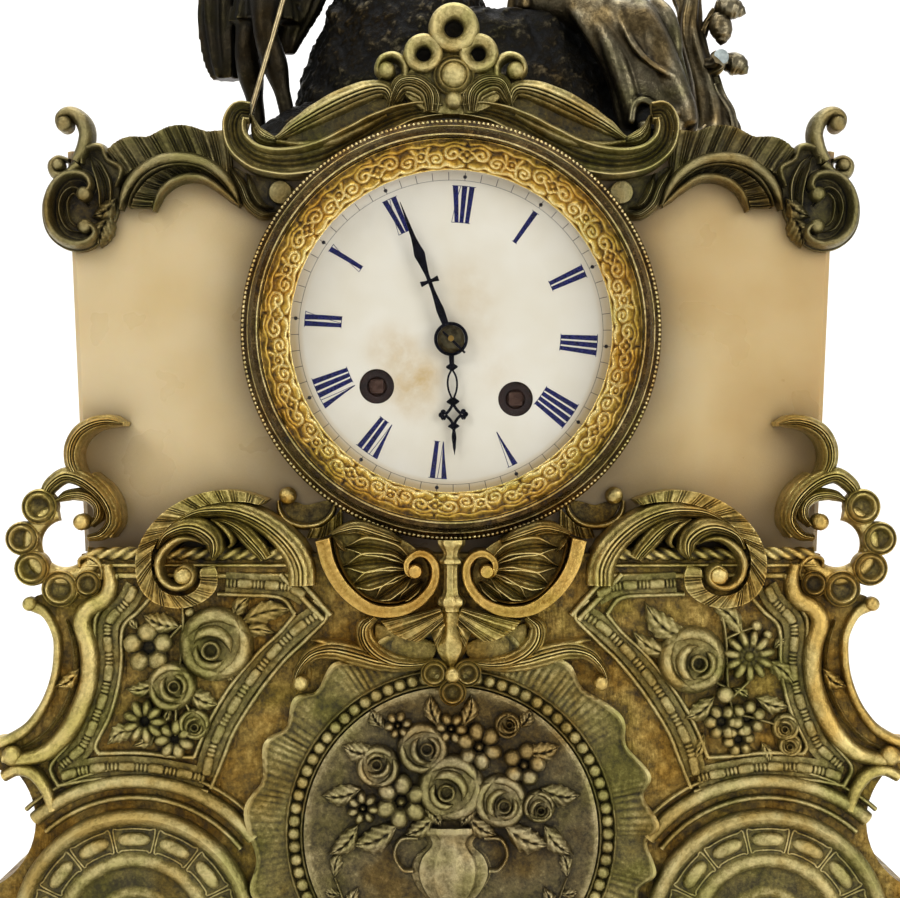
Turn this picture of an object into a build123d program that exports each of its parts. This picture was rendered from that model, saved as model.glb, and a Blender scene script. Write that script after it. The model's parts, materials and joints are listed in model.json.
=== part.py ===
"""Figural mantel clock: alabaster body, cast gilt mounts, enamel dial and striking round movement.

Sizes are in millimetres. +Z is up, +X is to the viewer's right, the dial faces -Y, and the origin lies
in the middle of the plinth's underside.
"""
from build123d import *
import os
from math import acos, atan2, cos, degrees, hypot, pi, radians, sin, sqrt, tan

# Plinth and base casting
PLINTH_WIDTH = 304.0
PLINTH_DEPTH = 122.0
PLINTH_HEIGHT = 14.0
PLINTH_STEP = 4.0
BASE_HEIGHT = 158.0
BASE_TOP_WIDTH = 224.0
BASE_FOOT_WIDTH = 294.0
BASE_DEPTH = 102.0
BASE_WALL = 4.0
BACK_SHEET = 1.5
# Alabaster body
BODY_TOP_WIDTH = 238.0
BODY_FOOT_WIDTH = 227.0
BODY_HEIGHT = 124.0
BODY_DEPTH = 85.0
BODY_SETBACK = 12.0
BORE_RADIUS = 54.0
CHANNEL_WIDTH = 46.0
CHANNEL_DEPTH = 15.0
# Dial, bezel and rear ring
DIAL_RISE = 68.0
DIAL_RADIUS = 50.5
DIAL_THICKNESS = 1.5
DIAL_TWIST = 5.2
DIAL_PLATE = 1.2
BEZEL_RADIUS = 64.0
BEZEL_BAND = 6.0
BEZEL_HEIGHT = 12.8
SIGHT_RADIUS = 49.8
SIGHT_DEPTH = 8.0
GLASS_THICKNESS = 1.6
GLASS_RISE = 3.0
SEAT_FLANGE = 4.0
SEAT_RADIUS = 61.0
TUBE_WALL = 1.6
TUBE_LENGTH = 16.0
HINGE_RADIUS = 1.7
HINGE_PIN = 0.8
KNUCKLE = 6.0
# Hands
MINUTE_LENGTH = 46.7
HOUR_LENGTH = 34.8
HAND_THICKNESS = 0.6
HAND_BOSS = 5.2
# Movement
MOVEMENT_DROP = 2.3
PLATE_RADIUS = 46.0
PLATE_THICKNESS = 2.0
PLATE_GAP = 30.0
DIAL_GAP = 6.0
ARBOR = 1.0
PIVOT = 0.7
BARREL_X = 21.6
BARREL_Z = -16.5
DRUM_RADIUS = 17.2
DRUM_LENGTH = 15.0
WINDING_SQUARE = 4.0
WINDING_HOLE = 5.4
SEAT_SQUARE = 2.6
WHEEL = 1.2
PRESSURE_ANGLE = 30.0
TOOTH_SHARE = 0.45
PENDULUM_LENGTH = 150.0
BOB_RADIUS = 17.0
BOB_THICKNESS = 7.0
BELL_RADIUS = 27.0
BELL_HEIGHT = 15.0
# Ornaments
MEDALLION_RADIUS = 44.4
MEDALLION_HEIGHT = 73.6
BEAD_RING = 47.4
SURROUND_RADIUS = 61.0
ROUNDEL_RADIUS = 37.0
ROUNDEL_X = 95.5
ROUNDEL_HEIGHT = 44.0
ROUNDEL_BEANS = 14
RELIEF = 6.0
SCROLL_RELIEF = 9.0
CREST_RELIEF = 8.0
CROWN_RELIEF = 6.5
CUP_RELIEF = 3.8
# Figures
MOUND_HEIGHT = 8.0
ROCK_HEIGHT = 52.0
BOULDER_HEIGHT = 61.0
MOUND_WIDTH = 184.0
STAFF_RADIUS = 0.9
TIE_RADIUS = 2.5
TIE_X = 70.0
# Clearances
RUNNING_FIT = 0.05
SEAT_FIT = 0.02
LOOSE_FIT = 0.3
HOLE_FIT = 0.5

# Levels and depths that follow from them
BASE_TOP = PLINTH_HEIGHT + BASE_HEIGHT
BODY_TOP = BASE_TOP + BODY_HEIGHT
DIAL_Z = BASE_TOP + DIAL_RISE
MOVE_Z = DIAL_Z - MOVEMENT_DROP
BASE_FRONT = -52.0
BASE_BACK = BASE_FRONT + BASE_DEPTH
BODY_FRONT = BASE_FRONT + BODY_SETBACK
BODY_BACK = BODY_FRONT + BODY_DEPTH
MOUND_TOP = BODY_TOP + MOUND_HEIGHT
DIAL_FRONT = BODY_FRONT + 0.5
DIAL_BACK = DIAL_FRONT + DIAL_THICKNESS
PLATE_FRONT = DIAL_BACK + DIAL_PLATE + DIAL_GAP
TRAIN_FRONT = PLATE_FRONT + PLATE_THICKNESS
TRAIN_BACK = TRAIN_FRONT + PLATE_GAP
PLATE_BACK = TRAIN_BACK + PLATE_THICKNESS
PENDULUM_Y = PLATE_BACK + 12.0
CHANNEL_FRONT = PENDULUM_Y - CHANNEL_DEPTH / 2


def front(y):
    """Drawing plane facing the viewer at depth y: local x is X and local y is Z."""
    return Plane(origin=(0, y, 0), x_dir=(1, 0, 0), z_dir=(0, -1, 0))


def slab(sketch, y_back, thickness):
    """A drawn face pushed forward from depth y_back by thickness."""
    return extrude(front(y_back) * sketch, amount=thickness, dir=(0, -1, 0))


def rod(x, z, y0, y1, radius):
    """Round bar along Y between two depths."""
    return Pos(x, (y0 + y1) / 2, z) * Rot(90, 0, 0) * Cylinder(radius, abs(y1 - y0))


def tube(x, z, y0, y1, inner, outer):
    """Round tube along Y between two depths."""
    return rod(x, z, y0, y1, outer) - rod(x, z, min(y0, y1) - 1, max(y0, y1) + 1, inner)


def block(x0, x1, y0, y1, z0, z1):
    """Box from its six faces."""
    return Pos((x0 + x1) / 2, (y0 + y1) / 2, (z0 + z1) / 2) * Box(x1 - x0, y1 - y0, z1 - z0)


def turned(points, z):
    """Body turned about the Y axis through (0, z), from (radius, depth) corner points."""
    face = make_face(Polyline(*points, close=True))
    placed = Plane(origin=(0, 0, z), x_dir=(1, 0, 0), z_dir=(0, 0, 1)) * face
    return revolve(placed, axis=Axis((0, 0, z), (0, 1, 0)), revolution_arc=360)


def moved_x(shape, x):
    """Shape shifted along X."""
    return Pos(x, 0, 0) * shape


def arc_points(cx, cz, radius, start, end, count):
    """Points on a circular arc, angles in degrees, counter-clockwise positive."""
    steps = [start + (end - start) * i / (count - 1) for i in range(count)]
    return [(cx + radius * cos(radians(a)), cz + radius * sin(radians(a))) for a in steps]


def volute(cx, cz, outer, inner, start, turn, count=9):
    """Points on a spiral that closes from the outer to the inner radius over the turn, in degrees."""
    points = []
    for i in range(count):
        share = i / (count - 1)
        radius = outer + (inner - outer) * share
        angle = radians(start + turn * share)
        points.append((cx + radius * cos(angle), cz + radius * sin(angle)))
    return points


def band(points, start_width, mid_width, end_width):
    """Face of a tapering strip along smooth points; its width goes start, middle, end."""
    line = [Vector(*p) for p in points]
    last = len(line) - 1
    left = []
    right = []
    for i, p in enumerate(line):
        along = (line[min(i + 1, last)] - line[max(i - 1, 0)]).normalized()
        share = i / last
        if share < 0.5:
            width = start_width + (mid_width - start_width) * share * 2
        else:
            width = mid_width + (end_width - mid_width) * (share * 2 - 1)
        side = Vector(-along.Y, along.X) * (width / 2)
        left.append(p + side)
        right.append(p - side)
    right.reverse()
    edges = [Spline(*left), Line(left[-1], right[0]), Spline(*right), Line(right[-1], left[0])]
    return make_face(edges)


def fused(shapes):
    """One body from several overlapping shapes."""
    total = shapes[0]
    for shape in shapes[1:]:
        total = total + shape
    return total


def mirrored(shape):
    """The left-hand twin of a right-hand piece."""
    return mirror(shape, about=Plane.YZ)


def seat(x, z):
    """Place on the movement: it sits below the dial centre and is twisted clockwise in the case."""
    t = radians(DIAL_TWIST)
    return (x * cos(t) + z * sin(t), MOVE_Z - x * sin(t) + z * cos(t))


def meet(a, b, from_a, from_b, sign):
    """Point at the given distances from a and b, on the chosen side of the line a to b."""
    gap = hypot(b[0] - a[0], b[1] - a[1])
    along = (from_a ** 2 - from_b ** 2 + gap ** 2) / (2 * gap)
    off = sqrt(from_a ** 2 - along ** 2) * sign
    ux = (b[0] - a[0]) / gap
    uz = (b[1] - a[1]) / gap
    return (a[0] + along * ux - off * uz, a[1] + along * uz + off * ux)


def away(point, distance, angle):
    """Point at a distance and an angle in degrees from another."""
    return (point[0] + distance * cos(radians(angle)), point[1] + distance * sin(radians(angle)))


def heading(a, b):
    """Angle of the line from a to b, in degrees."""
    return degrees(atan2(b[1] - a[1], b[0] - a[0]))


# Wheel trains: tooth counts and modules
GREAT_TEETH = 70
GREAT_PINION = 10
GREAT_MODULE = 0.55
SECOND_TEETH = 64
SECOND_PINION = 8
SECOND_MODULE = 0.45
CENTRE_TEETH = 80
CENTRE_PINION = 8
CENTRE_MODULE = 0.32
THIRD_TEETH = 84
THIRD_PINION = 8
THIRD_MODULE = 0.28
ESCAPE_TEETH = 44
ESCAPE_RADIUS = 9.0
STRIKE_TEETH = 60
STRIKE_PINION = 8
STRIKE_MODULE = 0.44
PIN_TEETH = 60
PIN_PINION = 8
PIN_MODULE = 0.36
WARNING_TEETH = 56
WARNING_PINION = 8
WARNING_MODULE = 0.3
CANNON_TEETH = 12
MINUTE_TEETH = 36
CANNON_MODULE = 0.5
MINUTE_PINION = 10
HOUR_TEETH = 40
HOUR_MODULE = CANNON_MODULE * (CANNON_TEETH + MINUTE_TEETH) / (MINUTE_PINION + HOUR_TEETH)
ESCAPE_HEIGHT = 24.5
PALLET_HEIGHT = 38.0


def spacing(module, wheel, pinion):
    """Distance between the arbors of a wheel and its pinion."""
    return module * (wheel + pinion) / 2


# Arbor places on the movement, worked out from the meshing distances
CENTRE = (0.0, 0.0)
GOING = (BARREL_X, BARREL_Z)
STRIKE = (-BARREL_X, BARREL_Z)
GREAT_SPACING = spacing(GREAT_MODULE, GREAT_TEETH, GREAT_PINION)
SECOND_SPACING = spacing(SECOND_MODULE, SECOND_TEETH, SECOND_PINION)
INTERMEDIATE = meet(CENTRE, GOING, SECOND_SPACING, GREAT_SPACING, -1)
ESCAPE = (0.0, ESCAPE_HEIGHT)
PALLETS = (0.0, PALLET_HEIGHT)
THIRD = meet(CENTRE, ESCAPE, spacing(CENTRE_MODULE, CENTRE_TEETH, CENTRE_PINION),
             spacing(THIRD_MODULE, THIRD_TEETH, THIRD_PINION), -1)
STRIKE_SECOND = meet(CENTRE, STRIKE, SECOND_SPACING, GREAT_SPACING, -1)
PIN = away(STRIKE_SECOND, spacing(STRIKE_MODULE, STRIKE_TEETH, STRIKE_PINION), 110.0)
WARNING = away(PIN, spacing(PIN_MODULE, PIN_TEETH, PIN_PINION), 35.0)
FLY = away(WARNING, spacing(WARNING_MODULE, WARNING_TEETH, WARNING_PINION), 140.0)
MINUTE_POST = away(CENTRE, spacing(CANNON_MODULE, MINUTE_TEETH, CANNON_TEETH), 75.0)
HAMMER = (-36.0, 8.0)
BELL = (0.0, -6.0)
BELL_POST = (33.0, -8.0)
PILLARS = [(29.0, 29.0), (-35.0, 24.0), (10.6, -39.6), (-10.6, -39.6)]


def gear_outline(teeth, module, phase):
    """Corner points of a spur gear with straight-edged involute flanks; one tooth lies at the phase."""
    pitch = teeth * module / 2
    base = pitch * cos(radians(PRESSURE_ANGLE))
    levels = [pitch - 1.2 * module, pitch, pitch + 0.9 * module]
    involute_pitch = tan(radians(PRESSURE_ANGLE)) - radians(PRESSURE_ANGLE)
    halves = []
    for radius in levels:
        angle = acos(min(1.0, base / radius))
        halves.append(pi / teeth * TOOTH_SHARE + involute_pitch - (tan(angle) - angle))
    halves[0] = min(halves[0], pi / teeth * 0.8)
    points = []
    for i in range(teeth):
        middle = radians(phase) + 2 * pi * i / teeth
        for radius, half in zip(levels, halves):
            points.append((radius * cos(middle - half), radius * sin(middle - half)))
        for radius, half in zip(reversed(levels), reversed(halves)):
            points.append((radius * cos(middle + half), radius * sin(middle + half)))
    return points


def mesh_phase(a, teeth_a, phase_a, b, teeth_b):
    """Phase of gear b that puts its gap on the tooth of gear a."""
    line = heading(a, b)
    share = ((line - phase_a) / (360 / teeth_a)) % 1
    return line + 180 + (share + 0.5) * 360 / teeth_b


def square_wire(side):
    """Square outline about the middle."""
    h = side / 2
    return Polyline((-h, -h), (h, -h), (h, h), (-h, h), close=True)


def window_wire(inner, outer, middle, half):
    """Four-sided crossing-out of a wheel between two radii."""
    corners = []
    for radius, angle in ((inner, -0.6), (outer, -1.0), (outer, 1.0), (inner, 0.6)):
        a = radians(middle + half * angle)
        corners.append((radius * cos(a), radius * sin(a)))
    return Polyline(*corners, close=True)


def toothed(points, place, y0, y1, bore, windows=0, rim=0.0):
    """Flat-sided wheel from its outline, with a square bore and crossings, at a movement place."""
    holes = [Wire(square_wire(bore).edges())]
    for i in range(windows):
        wire = window_wire(bore * 1.15, rim, 360 / windows * i + 20, 150 / windows)
        holes.append(Wire(wire.edges()))
    face = Face(Wire(Polyline(*points, close=True).edges()), holes)
    x, z = place
    solid = extrude(front(y1) * face, amount=y1 - y0, dir=(0, -1, 0))
    return Pos(x, 0, z) * solid


def arbor(place, squares, y0=None, y1=None):
    """Pivoted arbor between the plates with square seats for its wheels; squares are depth pairs."""
    x, z = place
    start = TRAIN_FRONT + LOOSE_FIT / 2
    end = TRAIN_BACK - LOOSE_FIT / 2
    shaft = rod(x, z, start, end, ARBOR)
    first = PLATE_FRONT if y0 is None else y0
    final = PLATE_BACK if y1 is None else y1
    shaft = shaft + rod(x, z, first, final, PIVOT)
    for low, high in squares:
        h = SEAT_SQUARE / 2
        shaft = shaft + block(x - h, x + h, low, high, z - h, z + h)
    return shaft


SQUARE_BORE = SEAT_SQUARE + 2 * SEAT_FIT
# Depths of the wheels between the plates, measured from the inside of the front plate
GREAT_Y = TRAIN_FRONT + 16.8
STRIKE_GREAT_Y = TRAIN_FRONT + 2.0
SECOND_Y = TRAIN_FRONT + 21.5
CENTRE_Y = TRAIN_FRONT + 24.5
STRIKE_Y = TRAIN_FRONT + 27.0
THIRD_Y = TRAIN_FRONT + 12.8
ESCAPE_Y = TRAIN_FRONT + 7.3
PIN_Y = TRAIN_FRONT + 12.8
WARNING_Y = TRAIN_FRONT + 17.8
PINION_REACH = 0.8

# Tooth phases follow each other down the trains
AT = {name: seat(*place) for name, place in {
    "centre": CENTRE, "going": GOING, "strike": STRIKE, "intermediate": INTERMEDIATE, "third": THIRD,
    "escape": ESCAPE, "pallets": PALLETS, "second": STRIKE_SECOND, "pin": PIN, "warning": WARNING,
    "fly": FLY, "post": MINUTE_POST, "hammer": HAMMER, "bell": BELL, "bell_post": BELL_POST}.items()}


def wheel_solid(name, teeth, module, phase, y, bore=SQUARE_BORE):
    """Crossed-out wheel of a train at its depth."""
    rim = teeth * module / 2 - 3.2 * module - 0.6
    return toothed(gear_outline(teeth, module, phase), AT[name], y, y + WHEEL, bore, 5, rim)


def pinion_solid(name, teeth, module, phase, y):
    """Pinion that reaches a little past the wheel it meshes with."""
    points = gear_outline(teeth, module, phase)
    bore = min(SQUARE_BORE, module * (teeth - 2.4) * 0.6)
    return toothed(points, AT[name], y - PINION_REACH, y + WHEEL + PINION_REACH, bore)


def small_square(name, teeth, module, y):
    """Square seat of a small pinion, as a box on its arbor."""
    h = min(SQUARE_BORE, module * (teeth - 2.4) * 0.6) / 2 - SEAT_FIT
    x, z = AT[name]
    return block(x - h, x + h, y - PINION_REACH, y + WHEEL + PINION_REACH, z - h, z + h)


def train_arbor(name, wheel_y, pinion_y, teeth, module, y0=None, y1=None):
    """Arbor with the seats of its wheel and its pinion; it is necked down through a small pinion."""
    x, z = AT[name]
    neck = min(ARBOR, (min(SQUARE_BORE, module * (teeth - 2.4) * 0.6) / 2 - SEAT_FIT))
    low = pinion_y - PINION_REACH
    high = pinion_y + WHEEL + PINION_REACH
    shaft = arbor((x, z), [(wheel_y, wheel_y + WHEEL)], y0, y1)
    shaft = shaft - tube(x, z, low - SEAT_FIT, high + SEAT_FIT, neck * 0.9, ARBOR + 1)
    return shaft + small_square(name, teeth, module, pinion_y)


def plinth():
    """Moulded wooden plinth in two steps."""
    lower = block(-PLINTH_WIDTH / 2, PLINTH_WIDTH / 2, -PLINTH_DEPTH / 2, PLINTH_DEPTH / 2,
                  0, PLINTH_HEIGHT * 0.55)
    half_x = PLINTH_WIDTH / 2 - PLINTH_STEP
    half_y = PLINTH_DEPTH / 2 - PLINTH_STEP
    upper = block(-half_x, half_x, -half_y, half_y, PLINTH_HEIGHT * 0.5, PLINTH_HEIGHT)
    return fillet((lower + upper).edges().filter_by(Axis.Z), PLINTH_STEP * 0.7)


def base_half_outline():
    """Right half of the base's front outline: straight shoulder, two scooped sides, spreading foot."""
    top = BASE_TOP_WIDTH / 2
    foot = BASE_FOOT_WIDTH / 2
    z0 = PLINTH_HEIGHT
    waist = z0 + BASE_HEIGHT * 0.62
    tip = top + (foot - top) * 0.66
    knee = z0 + BASE_HEIGHT * 0.36
    edges = [
        Line((0, z0), (foot, z0)),
        Line((foot, z0), (foot - 2, z0 + BASE_HEIGHT * 0.27)),
        Line((foot - 2, z0 + BASE_HEIGHT * 0.27), (tip + 4, knee)),
        ThreePointArc((tip + 4, knee), (top + 14, (knee + waist) / 2 + 1), (tip - 1, waist - 4)),
        Line((tip - 1, waist - 4), (tip - 0.6, waist + 4.6)),
        ThreePointArc((tip - 0.6, waist + 4.6), (top + 7.2, waist + 26), (top + 12, BASE_TOP - 17.5)),
        ThreePointArc((top + 12, BASE_TOP - 17.5), (top + 15, BASE_TOP - 14.5), (top + 12, BASE_TOP - 12.5)),
        Line((top + 12, BASE_TOP - 12.5), (top, BASE_TOP - 10)),
        Line((top, BASE_TOP - 10), (top, BASE_TOP)),
        Line((top, BASE_TOP), (0, BASE_TOP)),
        Line((0, BASE_TOP), (0, z0)),
    ]
    return make_face(edges)


CAVITY_UPPER = BASE_TOP_WIDTH / 2 - BASE_WALL
CAVITY_LOWER = BASE_FOOT_WIDTH / 2 - 2 - BASE_WALL
CAVITY_STEP = PLINTH_HEIGHT + BASE_HEIGHT * 0.27


def base_cavity(y0, y1, inset):
    """Hollow of the base in two steps, or a plate that covers it when the inset is negative."""
    upper = block(-CAVITY_UPPER + inset, CAVITY_UPPER - inset, y0, y1, PLINTH_HEIGHT + BASE_WALL + inset,
                  BASE_TOP - BASE_WALL - inset)
    lower = block(-CAVITY_LOWER + inset, CAVITY_LOWER - inset, y0, y1, PLINTH_HEIGHT + BASE_WALL + inset,
                  CAVITY_STEP - BASE_WALL - inset)
    return upper + lower


def pendulum_x():
    """X of the pendulum's plane of rest: straight below the pallet arbor."""
    return AT["pallets"][0]


def tie_holes(z0, z1):
    """Clearance holes for the two tie rods."""
    holes = [Pos(x, 0, (z0 + z1) / 2) * Cylinder(TIE_RADIUS + HOLE_FIT, z1 - z0 + 2)
             for x in (-TIE_X, TIE_X)]
    return fused(holes)


def base_shell():
    """Hollow base casting with shaped sides, open at the back, slotted on top for the pendulum."""
    half = slab(base_half_outline(), BASE_BACK, BASE_DEPTH)
    half = half + side_scroll()
    shell = half + mirrored(half)
    shell = shell - base_cavity(BASE_FRONT + BASE_WALL, BASE_BACK + 1, 0)
    x = pendulum_x()
    slot = block(x - CHANNEL_WIDTH / 2, x + CHANNEL_WIDTH / 2, CHANNEL_FRONT,
                 CHANNEL_FRONT + CHANNEL_DEPTH, BASE_TOP - BASE_WALL - 1, BASE_TOP + 1)
    shell = shell - slot - tie_holes(BASE_TOP - BASE_WALL, BASE_TOP)
    for sx, sz in SHEET_SCREWS:
        shell = shell - rod(sx, sz, BASE_BACK - 2 * SCREW_LENGTH, BASE_BACK + 1, SCREW_RADIUS + SEAT_FIT)
    return shell


SHEET_LAP = 2.4
SCREW_RADIUS = 0.9
SCREW_HEAD = 1.8
SCREW_LENGTH = 3.0
SCREW_INSET = 1.3
SHEET_SCREWS = [(sx * (CAVITY_UPPER + SCREW_INSET), sz) for sx in (-1, 1)
                for sz in (CAVITY_STEP + 20, BASE_TOP - 30)]


def base_back_plate():
    """Thin sheet that closes the back of the base."""
    sheet = base_cavity(BASE_BACK, BASE_BACK + BACK_SHEET, -SHEET_LAP)
    for sx, sz in SHEET_SCREWS:
        sheet = sheet - rod(sx, sz, BASE_BACK - 1, BASE_BACK + BACK_SHEET + 1, SCREW_RADIUS + SEAT_FIT)
    return sheet


def screw(x, z, y, inward):
    """Round-headed screw along Y; y is under the head and inward is +1 or -1."""
    head = rod(x, z, y, y - inward * SCREW_RADIUS, SCREW_HEAD)
    return head + rod(x, z, y, y + inward * SCREW_LENGTH, SCREW_RADIUS)


def side_scroll():
    """Cast scroll that bridges the lower scoop of the base, on the right."""
    x = BASE_FOOT_WIDTH / 2
    z = PLINTH_HEIGHT + BASE_HEIGHT * 0.27
    spine = [(x - 13, z + 54), (x - 4, z + 50), (x + 1.5, z + 38), (x + 1, z + 22), (x - 3, z + 8), (x - 6, z - 4)]
    bar = slab(band(spine, 5.0, 5.5, 5.0), BASE_FRONT + SCROLL_RELIEF, SCROLL_RELIEF)
    return bar + rod(x - 13, z + 54, BASE_FRONT + SCROLL_RELIEF, BASE_FRONT, 5.0)


MEDALLION_Z = PLINTH_HEIGHT + MEDALLION_HEIGHT
SURROUND_INNER = MEDALLION_RADIUS + LOOSE_FIT


def medallion_plaque():
    """Dished round plaque with an urn of flowers in low relief."""
    y = BASE_FRONT
    r = MEDALLION_RADIUS
    plate = turned([(0, y), (r, y), (r, y - 3.5), (r - 3, y - 3.5), (r * 0.6, y - 2.2), (0, y - 1.8)],
                   MEDALLION_Z)
    z = MEDALLION_Z
    urn = [(0, z - 30), (9, z - 30), (8, z - 27), (3, z - 24), (5, z - 20), (12, z - 12), (13, z - 5),
           (8, z + 1), (10, z + 4), (0, z + 4)]
    half = make_face(Polyline(*urn, close=True))
    whole = slab(half, y - 1, 4.0)
    plate = plate + whole + mirrored(whole)
    flowers = [(0, 21, 7.5), (-13, 13, 6.0), (13, 13, 6.0), (-21, 3, 4.5), (21, 3, 4.5), (-8, 30, 4.5),
               (8, 30, 4.5)]
    for fx, fz, fr in flowers:
        plate = plate + dome(fx, z + fz, y - 1, fr, 4.0)
    return plate


def dome(x, z, y, radius, height):
    """Low round boss on a face that looks forward."""
    return Pos(x, y - height / 2, z) * Rot(90, 0, 0) * Cone(radius, radius * 0.55, height)


def medallion_surround():
    """Pleated collar with a waved rim and a raised bead ring."""
    waves = 26
    count = waves * 6
    rim = []
    for i in range(count):
        a = 2 * pi * i / count
        r = SURROUND_RADIUS + 1.4 * sin(waves * a)
        rim.append((r * cos(a), MEDALLION_Z + r * sin(a)))
    face = make_face(Spline(*rim, periodic=True))
    collar = slab(face, BASE_FRONT, RELIEF - 2)
    y = BASE_FRONT
    ring = turned([(BEAD_RING - 2.2, y), (BEAD_RING + 2.2, y), (BEAD_RING + 1.6, y - RELIEF),
                   (BEAD_RING - 1.6, y - RELIEF)], MEDALLION_Z)
    hole = rod(0, MEDALLION_Z, y + 1, y - RELIEF - 2, SURROUND_INNER)
    return collar + ring - hole - shell_cartouche()


def roundel():
    """Dished roundel with a ring of kidney beads, on the right."""
    y = BASE_FRONT
    z = PLINTH_HEIGHT + ROUNDEL_HEIGHT
    r = ROUNDEL_RADIUS
    profile = [(0, y), (r, y), (r, y - 4), (r - 2, y - 6.5), (r - 4.5, y - 5), (r - 5, y - 2),
               (r - 13, y - 2), (r - 14, y - 5), (r - 17, y - 4), (r * 0.4, y - 2.0), (6, y - 2.0),
               (5, y - 5), (0, y - 5.5)]
    body = turned(profile, z)
    for i in range(ROUNDEL_BEANS):
        a = 360 / ROUNDEL_BEANS * i
        bean = SlotOverall(10.6, 6.0)
        place = Pos((r - 9) * cos(radians(a)), z + (r - 9) * sin(radians(a))) * Rot(0, 0, a + 90)
        body = body + slab(place * bean, y - 1.5, 3.5)
    return moved_x(body, ROUNDEL_X)


PANEL_TOP = BASE_TOP - 13.0
PANEL_FOOT = BASE_TOP - 64.0
PANEL_SIDE = BASE_TOP_WIDTH / 2 - 7.0
FRAME_WIDTH = 3.4
FLOWERS = [(71.0, -22.0, 8.5), (92.0, -23.0, 5.5), (84.0, -36.0, 5.0), (93.0, -43.0, 4.0),
           (79.0, -46.0, 3.5), (90.0, -51.0, 4.0), (62.0, -11.5, 3.5), (98.0, -14.0, 3.5)]


def panel_outline(inset):
    """Face of a flower panel on the right, drawn in from its outer frame by the inset."""
    i = inset
    edges = [
        Line((44 + i * 1.8, PANEL_TOP - 10 + i * 0.2), (52 + i * 0.6, PANEL_TOP - i)),
        Line((52 + i * 0.6, PANEL_TOP - i), (PANEL_SIDE - i, PANEL_TOP - i)),
        Spline((PANEL_SIDE - i, PANEL_TOP - i), (PANEL_SIDE + 1 - i, PANEL_TOP - 22),
               (PANEL_SIDE + 9 - i * 1.4, PANEL_FOOT + i)),
        ThreePointArc((PANEL_SIDE + 9 - i * 1.4, PANEL_FOOT + i), (96, PANEL_FOOT + 2 + i),
                      (76 + i * 1.4, PANEL_FOOT + i)),
        Spline((76 + i * 1.4, PANEL_FOOT + i), (62 + i, PANEL_FOOT + 24),
               (44 + i * 1.8, PANEL_TOP - 10 + i * 0.2)),
    ]
    return make_face(edges)


def flower_panel():
    """Framed panel with a spray of flowers, on the right."""
    field = slab(panel_outline(FRAME_WIDTH * 0.5), BASE_FRONT, 1.2)
    rim = slab(panel_outline(0), BASE_FRONT, 3.4) - slab(panel_outline(FRAME_WIDTH), BASE_FRONT + 1, 6)
    panel = field + rim
    for fx, dz, fr in FLOWERS:
        panel = panel + dome(fx, BASE_TOP + dz, BASE_FRONT - 1, fr, 4.5)
    stem = band([(84, BASE_TOP - 56), (82, BASE_TOP - 40), (88, BASE_TOP - 26), (80, BASE_TOP - 14)], 1.5, 2, 1)
    panel = panel + slab(stem, BASE_FRONT - 1, 2.0)
    eye = rod(SCROLL_X, BASE_TOP - SCROLL_DROP, BASE_FRONT + 1, BASE_FRONT - 20, SCROLL_BORDER + 2.5)
    return panel - acanthus_scroll() - eye


def shell_cartouche():
    """Scrolled shell under the dial: two C-bands, fans, a baluster and a hanging bud."""
    y = BASE_FRONT
    z = BASE_TOP
    outer = [(38, z + 4), (36.5, z - 6), (32, z - 12.5), (26, z - 16.5), (18, z - 17.5), (11, z - 14)]
    spine = outer + volute(11, z - 5.5, 6.0, 2.2, -70, 330)
    half = [slab(band(spine, 3.6, 4.2, 1.6), y, SCROLL_RELIEF)]
    half.append(rod(11, z - 5.5, y, y - SCROLL_RELIEF - 1, 2.6))
    fan = make_face(Polyline((0, z + 2), (33, z + 2), (33, z - 10), (20, z - 16), (0, z - 16), close=True))
    half.append(slab(fan, y, 4.0))
    skirt = make_face(Polyline((0, z - 14), (13, z - 19), (24, z - 22), (12, z - 32), (4, z - 34), (0, z - 34),
                               close=True))
    half.append(slab(skirt, y, 6.0))
    tail = [(12, z - 19), (26, z - 21), (32, z - 27), (38, z - 31), (45, z - 31.5)]
    half.append(slab(band(tail, 3.5, 3.0, 1.5), y, 6.0))
    half.append(rod(45, z - 30.5, y, y - 6.5, 2.2))
    whole = fused(half)
    whole = whole + mirrored(whole)
    bud = [(0, z + 5), (5, z + 5), (4.5, z + 1), (2.2, z - 1), (2.8, z - 12), (4.4, z - 14), (3.2, z - 17),
           (4.6, z - 21), (4.8, z - 27), (2, z - 33), (0, z - 34)]
    stem = make_face(Polyline(*bud, close=True))
    stem = slab(stem, y, SCROLL_RELIEF + 1)
    return whole + stem + mirrored(stem)


SCROLL_X = 83.0
SCROLL_DROP = 6.0
SCROLL_BORDER = 14.5


def acanthus_scroll():
    """Large leafy scroll at the shoulder of the base, on the right; what stands over the base leans on the body."""
    x = SCROLL_X
    z = BASE_TOP - SCROLL_DROP
    crown = [(x - 34, z - 5), (x - 37, z + 8), (x - 31, z + 17), (x - 20, z + 22), (x - 8, z + 22.5),
             (x + 4, z + 18)]
    spine = crown + volute(x, z, 12.5, 4.5, 40, -400, 12)[1:]
    pieces = [slab(band(spine, 11, 9, 3.5), BASE_FRONT, CROWN_RELIEF)]
    pieces.append(rod(x, z, BASE_FRONT, BASE_FRONT - SCROLL_RELIEF - 2, 4.0))
    border = arc_points(x, z, SCROLL_BORDER, 78, -120, 9)
    pieces.append(slab(band(border, 3, 3, 2.5), BASE_FRONT, RELIEF))
    backing = slab(band(spine, 11, 9, 3.5), BODY_FRONT, BODY_SETBACK)
    pieces.append(backing & block(0, x + 60, BASE_FRONT, BODY_FRONT, BASE_TOP, BODY_TOP))
    curl = [(x - 26, z + 14), (x - 33, z + 14.5), (x - 41, z + 17), (x - 44, z + 21)]
    pieces.append(slab(band(curl, 4, 3, 2), BODY_FRONT, CUP_RELIEF))
    pieces.append(rod(x - 32, z + 22.5, BODY_FRONT, BODY_FRONT - CUP_RELIEF, 3.0))
    return fused(pieces)


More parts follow.
